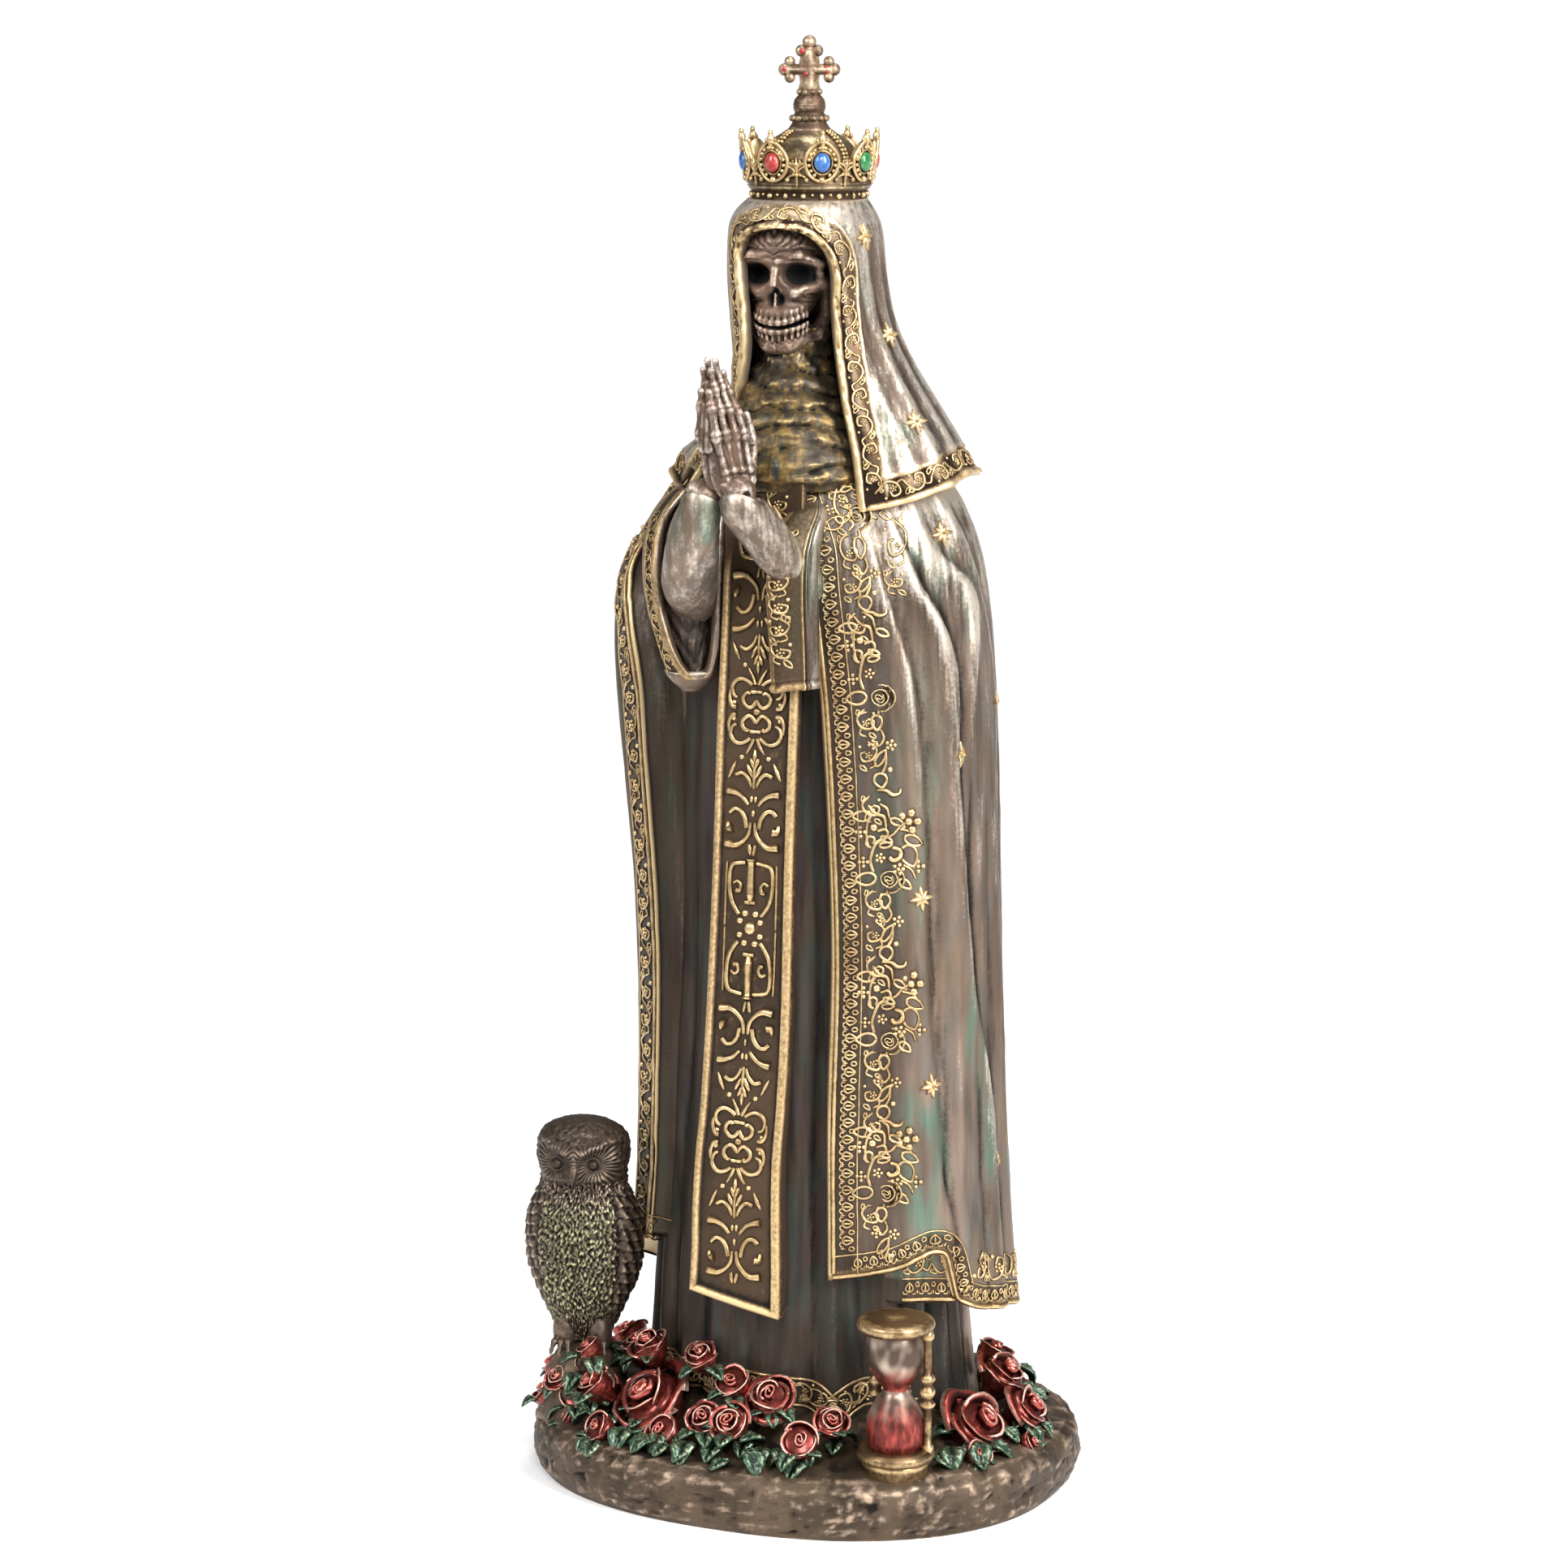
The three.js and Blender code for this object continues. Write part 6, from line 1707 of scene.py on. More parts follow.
UPRIGHT = [
    (273.6, 2.3), (274.4, 2.2), (275.6, 1.9), (277.2, 2.1), (278.2, 2.5), (279.2, 2.1), (281, 1.8),
    (282.6, 1.9)
]
ARM_HEIGHT = 278.2
ARM = [(0, 2.1), (1, 1.7), (2.2, 1.1), (3.6, 1.2), (4.6, 1.4)]  # half of it, as (across, half-width)
both_arms = [(-x, half) for x, half in reversed(ARM[1:])] + ARM
flat_parts = [
    cross_bar([(0, 0, h) for h, _ in UPRIGHT], [half for _, half in UPRIGHT], 1.55),
    cross_bar([(x, 0, ARM_HEIGHT) for x, _ in both_arms], [half for _, half in both_arms], 1.4),
    bead((0, 0, 283.6), 1.4, 14, 10),
]
for x, height, size in ((1.6, 281.9, 1.2), (4.95, ARM_HEIGHT, 1.25), (3.9, 279.75, 1.1), (3.9, 276.65, 1.1)):
    for side in (1, -1):
        flat_parts.append(bead((side * x, 0, height), size, 14, 10))
CROSS_TURN = math.radians(24)
points, faces = combined(flat_parts)
flat_cross = (spun(points, CROSS_TURN) + np.array([CROWN_X, CROWN_Y, 0]), faces)
points, faces = combined([*cross_parts, flat_cross])
cross_bronze = aged_metal(
    "cross_bronze", srgb(38, 28, 22), srgb(112, 88, 70), srgb(226, 200, 166), None, 0,
    metallic=0.7, roughness=0.38, ridge=(0.62, 1.0), brush=(1, 1, 1), patch_mm=6,
)
add_piece(make_mesh("cross", lifted(points), faces), "cross", cross_bronze, reach=0.0006, rounds=6)
dots = []
for x, y, z, size in (
    (-1.5, -0.95, 281.9, 0.62), (-5.0, -0.85, 278.25, 0.68), (3.4, -0.85, 278.25, 0.82),
    (-0.7, -1.15, 277.4, 0.5)
):
    dot, dot_faces = bead((x, y, z), (size, 0.42, size), 12, 8)
    dots.append((spun(dot, CROSS_TURN) + np.array([CROWN_X, CROWN_Y, 0]), dot_faces))
points, faces = combined(dots)
red_enamel = bpy.data.materials["red_enamel"]
add_piece(make_mesh("cross_dots", lifted(points), faces), "cross_dots", red_enamel, reach=0.0005, rounds=4)

# %% [markdown]
# Gilt stars are scattered over the cloth. A star is eight pointed leaves, each with a sharp
# ridge; the even ones are longer. It is laid on the cloth by the cloth's own slope there.

# %% Stars
STAR_RADIUS = 2.75
MANTLE_STARS = [
    (-17, 187), (-20.6, 143), (-38, 114.6), (-35.4, 76), (-3.3, 58), (10, 152), (52, 120), (90, 155),
    (78, 70), (128, 120),
]
VEIL_STARS = [(-15.4, 245.7), (-7, 226), (-22, 209.3), (60, 226), (190, 222)]


def frame_on(surface, degrees, height, step=1.2):
    """Where a point of the cloth is, and its unit directions across, up and out."""
    ask = lambda d, h: surface(np.array([float(d)]), np.array([float(h)]))[0]
    spot = ask(degrees, height)
    across = ask(degrees + step, height) - ask(degrees - step, height)
    up = ask(degrees, height + step) - ask(degrees, height - step)
    out = np.cross(across, up)
    across, out = across / np.linalg.norm(across), out / np.linalg.norm(out)
    return spot, np.stack([across, np.cross(out, across), out])


def star_shape(radius):
    parts = []
    for k in range(8):
        turn = math.radians(90 + 45 * k + 6)
        reach = radius * (1.0 if k % 2 == 0 else 0.74)
        wide = radius * 0.2
        rows = []
        for t in np.linspace(0, 1, 7):
            half = wide * (0.55 + 1.6 * t - 2.15 * t * t) + 0.02
            ridge = 0.34 * radius * (1 - 0.75 * t) * (1 - t**6) + 0.02
            section = ((-half, -0.35), (-half, 0.05), (0, ridge), (half, 0.05), (half, -0.35))
            rows.append([(reach * t, across, rise) for across, rise in section])
        parts.append(closed_stack(spun(np.array(rows), turn)))
    parts.append(bead((0, 0, 0.25 * radius), (0.16 * radius, 0.16 * radius, 0.14 * radius), 8, 6))
    return combined(parts)


stars = []
for surface, places in ((mantle_surface, MANTLE_STARS), (veil_surface, VEIL_STARS)):
    for degrees, height in places:
        spot, frame_axes = frame_on(surface, degrees, height)
        shape = star_shape(STAR_RADIUS)
        stars.append((spot + frame_axes[2] * 0.2 + shape[0] @ frame_axes, shape[1]))
points, faces = combined(stars)
add_piece(make_mesh("stars", points, faces), "stars", gold, reach=0.0004, rounds=3)

# %% [markdown]
# The owl is a stack of ovals like the figure, swollen and hollowed at the brows and eyes. Its
# feathers are relief: combed lines round each eye, short curled tufts on the belly and
# overlapping quills on the folded wings.

# %% Owl
OWL_PLACE, OWL_TURN, OWL_SCALE = (-41.4, -20.16, 26.5), math.radians(13), 0.98
OWL_PROFILE = [
    (1.4, 4.6, 3, 6), (8, 8, 6.6, 7.4), (14, 10.2, 8.6, 8.4), (21, 11.2, 9.4, 9), (28, 11, 9, 9),
    (33, 9.6, 7.8, 8.4), (36, 8.8, 7.2, 8), (39, 9.4, 8.6, 8), (42.5, 10, 8.8, 8), (45, 9.8, 8, 7.6),
    (46.8, 9, 7, 6.8), (48.2, 7.5, 5.6, 5.6), (49.3, 5, 3.6, 3.8), (49.9, 2.4, 1.6, 1.8),
    (50.1, 0.9, 0.6, 0.6),
]
# Each swelling: place across, height, half-width, half-height and how far it stands out. All but
# those in the middle stand on both sides.
OWL_SWELLINGS = [
    (2.2, 44.0, 1.5, 1.0, 1.2), (4.6, 45.2, 2.0, 0.9, 1.3), (7.2, 46.3, 2.0, 0.9, 1.2),
    (0, 42, 1.1, 4, 1.1), (4.1, 41.4, 2.3, 2.2, -1.1), (0, 12, 1.6, 6, -1.2), (1.8, 44.6, 1.6, 1.2, 0.5),
    (4.4, 37.8, 3.4, 0.9, 0.7),
]
EYE_X, EYE_HEIGHT = 3.9, 41.4


def feather_relief(x, y, height, turn):
    """Three kinds of feather, each where it belongs: round the eyes, on the belly and on the wings."""
    face = (
        smooth(36.4, 37.6, height) * smooth(46.2, 45, height) * (np.sin(turn) < 0)
        * smooth(8.9, 8.2, np.abs(x))
    )
    eye_x = np.where(x > 0, EYE_X, -EYE_X)
    away = np.hypot(x - eye_x, (height - EYE_HEIGHT) * 1.05)
    ray = np.arctan2(height - EYE_HEIGHT, (x - eye_x) * np.sign(eye_x))
    combed = 0.13 * np.sin(ray * 30 + 1.6 * noise(away / 1.1, ray * 3, 0, 83))
    combed = combed * smooth(1.2, 2.0, away) * smooth(6.4, 5.0, away)
    crown_fluff = 0.28 * rough(x / 0.85, y / 0.85, height / 0.85, 84, 2)
    warp_x = turn * 9.5 + 0.9 * noise(turn * 6, height / 2.3, 0, 85)
    warp_h = height + 0.8 * noise(turn * 6, height / 2.3, 0, 86)
    row = np.floor(warp_h / 0.95)
    phase = warp_x * 2.9 + row * 1.7 + 0.8 * noise(warp_x / 2, row * 3.1, 0, 87)
    tuft = np.abs(np.sin(phase * 1.15)) ** 0.7
    flake = (tuft - 0.5) * (0.4 + 0.6 * np.abs(np.sin(np.pi * warp_h / 0.95)) ** 0.6)
    belly = 0.6 * flake + 0.4 * rough(turn * 16, height / 0.8, 0, 88, 2)
    sideways = np.abs(np.cos(turn))
    quill_row = height * 0.42 + sideways * 2.0
    quill = 0.4 * (1 - (quill_row % 1)) + 0.3 * np.sin(turn * 26 + height * 0.9) * 0.6
    quill = quill + 0.12 * rough(turn * 12, height, 0, 89, 2)
    on_wing = smooth(0.74, 0.86, sideways) * smooth(36, 33.5, height)
    on_back = (np.sin(turn) > 0) * smooth(0.86, 0.74, sideways) * smooth(36, 34, height)
    body = mix(belly * smooth(38, 36.6, height), quill, np.clip(on_wing + on_back, 0, 1))
    top = smooth(45, 46.5, height)
    return (
        body * (1 - face) + face * combed
        + np.maximum(top, (1 - face) * smooth(36.6, 37.8, height)) * crown_fluff
    )


def owl_surface(turn, height):
    half_width, front, back = profile(OWL_PROFILE, height)
    cos, sin = np.cos(turn), np.sin(turn)
    wing = 1.3 * np.exp(-(((height - 24) / 11) ** 4)) * np.abs(cos) ** 6
    fold = (
        -0.55 * bell((np.abs(cos) - 0.78) / 0.05) * smooth(35, 32, height) * smooth(8, 12, height)
        * (sin < 0)
    )
    x = (half_width + wing) * cos
    swell = np.zeros_like(x)
    for centre_x, level, wide, high, proud in OWL_SWELLINGS:
        for side in (1, -1) if centre_x else (1,):
            swell += proud * np.exp(-(((x - side * centre_x) / wide) ** 2) - ((height - level) / high) ** 2)
    deep = np.where(sin > 0, back, front)
    y = deep * sin - np.where(sin < 0, swell, 0)
    lift = feather_relief(x, y, height, turn) + fold
    return np.stack([x + lift * cos, y + lift * sin, height], axis=-1)


around = np.linspace(-0.5, 0.5, 190, endpoint=False)
spread = -np.pi / 2 + 2 * np.pi * around - 0.5 * np.sin(2 * np.pi * around)
OWL_LEVELS = [
    np.linspace(1.4, 34, 104), np.linspace(34.2, 48, 72), np.linspace(48.15, 49.9, 14), [50.0, 50.1]
]
turn, height = np.meshgrid(spread, np.concatenate(OWL_LEVELS))
owl_parts = [closed_stack(owl_surface(turn, height), np.array([0, 0.5, 1.0]), np.array([0, 0.5, 50.1]))]
body_points = len(owl_parts[0][0])
for side in (-1, 1):
    for size, out in ((1.45, -0.1), (0.95, 0.7)):
        owl_parts.append(bead((side * EYE_X, -7.1 - out, EYE_HEIGHT), (size, size * 0.8, size), 22, 14))
    ring_turn = np.linspace(0, 2 * np.pi, 26, endpoint=False)
    ring_x, ring_height = side * EYE_X + 1.5 * np.cos(ring_turn), EYE_HEIGHT + 1.5 * np.sin(ring_turn)
    owl_parts.append(wire(np.stack([ring_x, -7.9 + 0 * ring_turn, ring_height], axis=1), 0.22, 6, True))
    owl_parts.append(bead((side * 3.8, -2.6, 3.6), (2.6, 3.2, 4.6), 24, 16))
    for toe in (-1, 0, 1):
        t = np.linspace(0, 1, 12)
        toe_x = side * 3.9 + toe * (0.5 + 1.5 * t)
        toe_y = -3.6 - 4.6 * t + 0.6 * toe * toe * t
        toe_height = 1.2 + 1.1 * np.sin(np.pi * (0.15 + 0.75 * t)) - 2.2 * t**3
        thick = 0.95 - 0.3 * t + 0.12 * np.sin(t * 22) - 0.45 * t**4
        owl_parts.append(wire(np.stack([toe_x, toe_y, toe_height], axis=1), thick, 10))
t = np.linspace(0, 1, 14)
beak = np.stack([0 * t, -8.6 - 1.5 * np.sin(np.pi * (0.1 + 0.62 * t)), 40.6 - 3.6 * t], axis=1)
owl_parts.append(wire(beak, 0.95 * (1 - t**1.6) + 0.08, 12))
owl_parts.append(bead((0, 7, 6), (5, 3, 8), 30, 20))
points, faces = combined(owl_parts)
across, deep, up = np.abs(points[:, 0]), points[:, 1], points[:, 2]
colour_zone = smooth(35, 30, up) * smooth(4, 9, up) * ((deep < 0) & (across < 9)) * smooth(8.8, 7.2, across)
colour_zone[body_points:] = 0
owl_turn = np.array(Matrix.Rotation(OWL_TURN, 3, "Z"))
points = (points * OWL_SCALE) @ owl_turn.T + np.array(OWL_PLACE)
owl_mesh = make_mesh("owl", points, faces)
set_attribute(owl_mesh, "belly", colour_zone)
owl_finish = Finish("owl_bronze")
relief, belly = owl_finish.attribute("relief"), owl_finish.attribute("belly")
grain = owl_finish.grain(1.2, (1, 1, 1), 3.0)
patch = owl_finish.grain(9, (1, 1, 1), 2.0, 0.4)
body = owl_finish.blend(belly, srgb(82, 70, 60), srgb(90, 85, 66))
pale = owl_finish.blend(belly, srgb(196, 172, 148), srgb(192, 184, 142))
shade = relief + (grain - 0.5) * 0.3
colour = owl_finish.blend(shade.step(0.32, 0.54), srgb(22, 18, 16), body)
colour = owl_finish.blend((shade + (patch - 0.5) * 0.4).step(0.56, 0.94), colour, pale)
owl_bronze = owl_finish.paint(
    base_color=colour, metallic=0.75, roughness=grain * 0.1 + 0.42, normal=owl_finish.bump(grain, 0.06, 0.6)
)
owl_relief = relief_of(owl_mesh, 0.00032, 5)
owl_relief[body_points:] *= 0.7
set_attribute(owl_mesh, "relief", owl_relief)
add_piece(owl_mesh, "owl", owl_bronze)

perch = turned_shape(
    [(10.4, 11), (10, 13), (9.2, 17), (8.4, 21), (6.6, 24.6), (4.8, 26.6), (2, 27.2)], (0, 0, 0), 90
)
points = perch[0] + np.array([OWL_PLACE[0], OWL_PLACE[1], 0])
out = points - np.array([OWL_PLACE[0], OWL_PLACE[1], 18])
lumps = rough(*(points / 2.4).T, 91, 3)
points = points + out * 0.05 * lumps[:, None]
# the perch takes the rock's finish, its own dark colour and painted shade
add_piece(make_mesh("perch", points, perch[1]), "perch", dark_rock_and_shade, reach=0.002, rounds=4)

# %% [markdown]
# The hourglass is turned on a lathe. Its glass is cast metal too, painted: bright above and
# red where the sand lies, with the red fading upwards in a soft brushed edge.

# %% Hourglass
GLASS_X, GLASS_Y, GLASS_FOOT, GLASS_TALL = 33.7, -30.96, 14.8, 29.5
GLASS_RADIUS, BULB_RADIUS, DISC = 7.9, 5.9, 2.6
glass_top, waist = GLASS_FOOT + GLASS_TALL, GLASS_FOOT + GLASS_TALL / 2
half = GLASS_TALL / 2 - DISC
glass_spot = (GLASS_X, GLASS_Y, 0)
DISC_ROWS = [  # shares of the radius and of the thickness, from below
    (0.55, 0.0), (0.86, 0.0), (0.95, 0.1), (0.99, 0.3), (1.0, 0.5), (0.98, 0.72), (0.94, 0.84),
    (0.93, 0.9), (0.9, 1.0), (0.5, 1.0),
]
lower_disc = [(GLASS_RADIUS * r, GLASS_FOOT + DISC * h) for r, h in DISC_ROWS]
upper_disc = [(GLASS_RADIUS * r, glass_top - DISC + DISC * (1 - h)) for r, h in reversed(DISC_ROWS)]
frame_parts = [turned_shape(rows, glass_spot, 72) for rows in (lower_disc, upper_disc)]
frame_parts.append(turned_shape([(5, 11.5), (6.6, 12), (6.5, 13.4), (6.9, 14.2), (6.6, 15)], glass_spot, 48))
# The turned posts: (radius, height) above the foot, about the waist and below the top
POST_FOOT = [(0.9, 1.2), (1.25, 2.8), (1.3, 3.3), (0.8, 3.9)]
POST_MIDDLE = [
    (0.85, -6), (0.8, -3.6), (1.3, -3.2), (1.6, -2.6), (1.2, -2.0), (0.85, -1.6), (1.2, -1.2),
    (1.55, -0.3), (1.55, 0.2), (1.2, 1.0), (0.85, 1.4), (1.2, 1.8), (1.6, 2.6), (1.3, 3.3), (0.8, 3.8),
    (0.85, 6),
]
POST_HEAD = [(0.8, -4.2), (1.2, -3.7), (1.3, -3.1), (0.9, -1.6)]
post_rows = []
for rows, level in ((POST_FOOT, GLASS_FOOT), (POST_MIDDLE, waist), (POST_HEAD, glass_top)):
    post_rows += [(r, level + h) for r, h in rows]
POST_REACH = GLASS_RADIUS * 0.96 - 0.9
for degrees in (6, 98, 148):
    turn = math.radians(degrees)
    spot = (GLASS_X + POST_REACH * math.cos(turn), GLASS_Y + POST_REACH * math.sin(turn), 0)
    frame_parts.append(turned_shape(post_rows, spot, 18))
points, faces = combined(frame_parts)
glass_gilt = aged_metal(
    "hourglass_gilt", srgb(34, 25, 19), srgb(112, 87, 62), srgb(218, 188, 140), None, 0,
    metallic=0.88, roughness=0.34, ridge=(0.66, 1.05), brush=(1, 1, 1), patch_mm=8,
)
add_piece(make_mesh("hourglass_frame", points, faces), "hourglass_frame", glass_gilt, reach=0.0005, rounds=8)
# The upper bulb, from the waist up: height and radius; the lower bulb is its mirror image
upper_bulb = [(half * h, BULB_RADIUS * r) for h, r in ((0.22, 0.72), (0.5, 0.98), (0.8, 1.0), (1, 0.9))]
upper_bulb.append((half + 0.6, BULB_RADIUS * 0.8))
lower_bulb = [(-h, r) for h, r in reversed(upper_bulb)]
bulb_levels = np.linspace(-half - 0.6, half + 0.6, 60)
bulb_radii = profile([*lower_bulb, (0, BULB_RADIUS * 0.44), *upper_bulb], bulb_levels)
points, faces = turned_shape(list(zip(bulb_radii, waist + bulb_levels)), glass_spot, 56)
bulb_mesh = make_mesh("hourglass_bulbs", points, faces)
level = points[:, 2] - waist
sand = smooth(7.5, 1.0, level) * (level > 0) + (0.25 + 0.75 * smooth(-1.0, -9.0, level)) * (level <= 0)
set_attribute(bulb_mesh, "sand", sand)
bulb_finish = Finish("painted_bulb")
sand_value = bulb_finish.attribute("sand")
brushed = bulb_finish.grain(1.4, (1, 1, 0.35), 3.0)
cloudy = bulb_finish.grain(6, (1, 1, 0.6), 2.0, 0.3)
metal = bulb_finish.blend(cloudy.step(0.4, 0.62), srgb(84, 68, 58), srgb(196, 176, 158))
red = bulb_finish.blend(brushed.step(0.4, 0.7), srgb(96, 34, 30), srgb(164, 74, 64))
colour = bulb_finish.blend((sand_value + (brushed - 0.5) * 0.6).step(0.1, 1.0), metal, red)
painted_bulb = bulb_finish.paint(
    base_color=colour, metallic=0.7, roughness=brushed * 0.14 + 0.3,
    normal=bulb_finish.bump(brushed, 0.05, 0.5)
)
add_piece(bulb_mesh, "hourglass_bulbs", painted_bulb, reach=0.001, rounds=10)

# %% [markdown]
# A rose is a calyx, a wound heart and rings of petals. Each petal is a thin closed shell bent
# round the axis: it bellies out, stands up, and its lip rolls back. The pale metal sits on the
# lip, so the petals carry their own relief values. Three kinds of bloom are modelled once, and
# Geometry Nodes places a copy at each point, turned and scaled by the point's own attributes.

# %% Rose petals
def petal(turn, half_angle, radius, low, high, flare, seed, thick=0.07):
    """One petal of a rose of radius 1; returns points, faces and relief."""
    u, v = np.meshgrid(np.linspace(-1, 1, 9), np.linspace(0, 1, 8))
    wave = 0.05 * np.sin(3.1 * u + seed) * v**2 + 0.04 * noise(u * 1.6 + seed, v * 2, seed, 6)
    lip = smooth(0.72, 1.0, v)
    body = radius * (0.62 + 0.38 * np.sin(np.pi * np.clip(0.12 + 0.62 * v, 0, 1))) - 0.1 * radius * u * u
    out = body + flare * lip**1.5 + wave
    top = high - 0.34 * (high - low) * np.abs(u) ** 3.2 * 0.8 + 0.07 * bell(u / 0.25) * (flare > 0.15)
    height = low + (top - low) * v - 0.55 * flare * smooth(0.86, 1.0, v)
    angle = turn + half_angle * u * (0.72 + 0.28 * np.sin(np.pi * 0.5 * np.clip(v * 1.4, 0, 1)))

    def at_radius(offset):
        return np.stack([(out + offset) * np.cos(angle), (out + offset) * np.sin(angle), height], axis=-1)

    edge = np.maximum(smooth(0.86, 1.0, v), 0.8 * smooth(0.88, 1.0, np.abs(u)) * smooth(0.2, 0.6, v))
    points, faces = shell(at_radius(0.0), at_radius(-thick))
    shade = 0.34 + 0.66 * edge + 0.1 * noise(u * 3, v * 4, seed, 5)
    inside = 0.22 + 0.7 * edge
    return points, faces, np.concatenate([shade.ravel(), inside.ravel()])


def rose_shape(rings, seed):
    """A bloom of rings of petals round a wound heart; no two petals of a ring are quite alike."""
    parts, shade = [], []

    def put(points, faces, relief):
        parts.append((points, faces))
        shade.append(np.broadcast_to(relief, len(points)))

    for k, (count, radius, low, high, flare, half_angle) in enumerate(rings):
        for j in range(count):
            turn = 2 * np.pi * (j + 0.5 * (k % 2)) / count + 0.35 * k + 0.14 * math.sin(seed * 5 + j * 2.3)
            wide = half_angle * (1 + 0.12 * math.sin(seed + 5 * j))
            reach = radius * (1 + 0.08 * math.sin(seed + 3 * j))
            top = high + 0.09 * math.sin(seed * 3 + 2 * j)
            curled = flare * (1 + 0.4 * math.sin(seed + 2 * j + k))
            put(*petal(turn, wide, reach, low, top, curled, seed + 7 * k + j))
    t, v = np.meshgrid(np.linspace(0, 1, 34), np.linspace(0, 1, 4))
    wound = 2 * np.pi * 1.7 * t + seed
    r = 0.06 + 0.3 * t + 0.05 * np.sin(2.3 * wound)
    high = rings[-1][3] + 0.02 + 0.07 * (1 - t)
    level = -0.2 + (high + 0.2) * v
    heart = [
        np.stack([(r + out) * np.cos(wound), (r + out) * np.sin(wound), level], axis=-1)
        for out in (0.045, -0.03)
    ]
    put(*shell(*heart), np.concatenate([(0.2 + 0.55 * smooth(0.8, 1, v)).ravel()] * 2))
    put(*turned_shape(CALYX, (0, 0, 0), 22), 0.3)
    return *combined(parts), np.concatenate(shade)


CALYX = [
    (0.3, -1.5), (0.42, -1.2), (0.62, -0.85), (0.84, -0.5), (0.9, -0.2), (0.82, 0.0), (0.62, 0.08),
    (0.1, 0.1)
]
ROSE_KINDS = {
    "open_rose": ([(5, 1.0, -0.55, 0.12, 0.3, 0.92), (3, 0.68, -0.4, 0.4, 0.16, 1.2)], 1.3),
    "round_rose": ([(4, 0.95, -0.55, 0.28, 0.2, 1.05), (3, 0.6, -0.4, 0.48, 0.08, 1.25)], 2.7),
    "rose_bud": ([(3, 0.88, -0.6, 0.34, 0.16, 1.3)], 4.1),
}
rose_lacquer = coat_finish(
    "rose_lacquer", srgb(36, 14, 12), srgb(172, 74, 62), srgb(236, 194, 176), roughness=0.3, metallic=0.8
)


def collection_of(name, shapes):
    """A collection of the shapes that a tree plants; shapes gives points, faces and relief by name."""
    collection = bpy.data.collections.new(name)
    for shape_name, (points, faces, relief) in shapes.items():
        mesh = make_mesh(shape_name, points, faces)
        set_attribute(mesh, "relief", relief)
        collection.objects.link(bpy.data.objects.new(shape_name, mesh))
    return collection


kinds = collection_of(
    "rose kinds", {name: rose_shape(rings, seed) for name, (rings, seed) in ROSE_KINDS.items()}
)

# %% Where the roses grow
ROSES = [  # place in mm, radius, tilt away from upright
    (-37, -28, 28.4, 3.0, 34), (-45.5, -22, 18.8, 3.4, 52), (-34.5, -31, 21.8, 4.1, 46),
    (-41.6, -29, 13.2, 2.8, 55), (-30.5, -36.6, 14.4, 3.6, 52), (-24.6, -24.8, 29.6, 4.1, 26),
    (-22.2, -29.8, 20.2, 7.4, 44), (-15.2, -37.8, 16.2, 3.9, 54), (-10.6, -28.7, 30.1, 3.5, 30),
    (-6.3, -35.8, 19.3, 3.8, 50), (-3.2, -29.6, 25.6, 4.2, 40), (-0.2, -37, 19.8, 4.1, 52),
    (5.7, -30.4, 24, 4.7, 42), (15.8, -38.2, 18.2, 4.1, 52), (19.6, -31, 20.6, 3.5, 44),
    (-29.5, -19, 27.5, 4.2, 20), (38.5, 11.6, 26, 4.2, 24), (43, 6, 23.4, 5.2, 34),
    (44, -10.4, 17.6, 6.9, 44), (50, 2, 18, 5.1, 50), (53, -4.6, 12.8, 2.7, 60),
    (47.2, -19.5, 14.2, 3, 55), (-48, -2.4, 20, 4.6, 40), (-46, 9.5, 19.6, 4.4, 40),
    (34.4, 24.8, 19, 4.8, 40),
]
ROSE_RADIUS = 4.0


def tilted_turn(x, y, tilt, spin):
    """The Euler turn of a bloom spun on its stem, tipped by tilt and headed away from the middle."""
    heading = math.atan2(y, x)
    turn = (
        Matrix.Rotation(heading, 4, "Z") @ Matrix.Rotation(math.radians(tilt), 4, "Y")
        @ Matrix.Rotation(spin, 4, "Z")
    )
    return turn.to_euler()


def point_cloud(name, rows):
    """A mesh of bare points with a turn, a size and a kind for each: rows of (place, euler, size, kind)."""
    mesh = bpy.data.meshes.new(name)
    mesh.from_pydata([Vector(place) * MM for place, *_ in rows], [], [])
    set_vectors(mesh, "turn", [tuple(euler) for _, euler, _, _ in rows])
    set_vectors(mesh, "size", [(size,) * 3 if np.ndim(size) == 0 else size for _, _, size, _ in rows])
    layer = mesh.attributes.new("kind", "INT", "POINT")
    layer.data.foreach_set("value", np.array([kind for *_, kind in rows], np.int32))
    return mesh


# %% A tree that plants shapes on points
class Tree:
    """A Geometry Nodes tree under construction, with its named inputs."""

    def __init__(self, name, **inputs):
        self.group = bpy.data.node_groups.new(name, "GeometryNodeTree")
        for label, kind in inputs.items():
            self.group.interface.new_socket(label, in_out="INPUT", socket_type="NodeSocket" + kind)
        self.group.interface.new_socket("Result", in_out="OUTPUT", socket_type="NodeSocketGeometry")
        self.start, self.end = self.node("NodeGroupInput"), self.node("NodeGroupOutput")
        self.link = self.group.links.new

    def node(self, kind, **settings):
        made = self.group.nodes.new(kind)
        for key, value in settings.items():
            setattr(made, key, value)
        return made

    def named(self, name, data_type):
        made = self.node("GeometryNodeInputNamedAttribute", data_type=data_type)
        made.inputs["Name"].default_value = name
        return made.outputs["Attribute"]

    def close(self, geometry):
        """Real geometry in the piece's finish ends every tree."""
        real, paint = self.node("GeometryNodeRealizeInstances"), self.node("GeometryNodeSetMaterial")
        self.link(geometry, real.inputs[0])
        self.link(real.outputs[0], paint.inputs["Geometry"])
        self.link(self.start.outputs["Finish"], paint.inputs["Material"])
        self.link(paint.outputs[0], self.end.inputs[0])
        return self.group


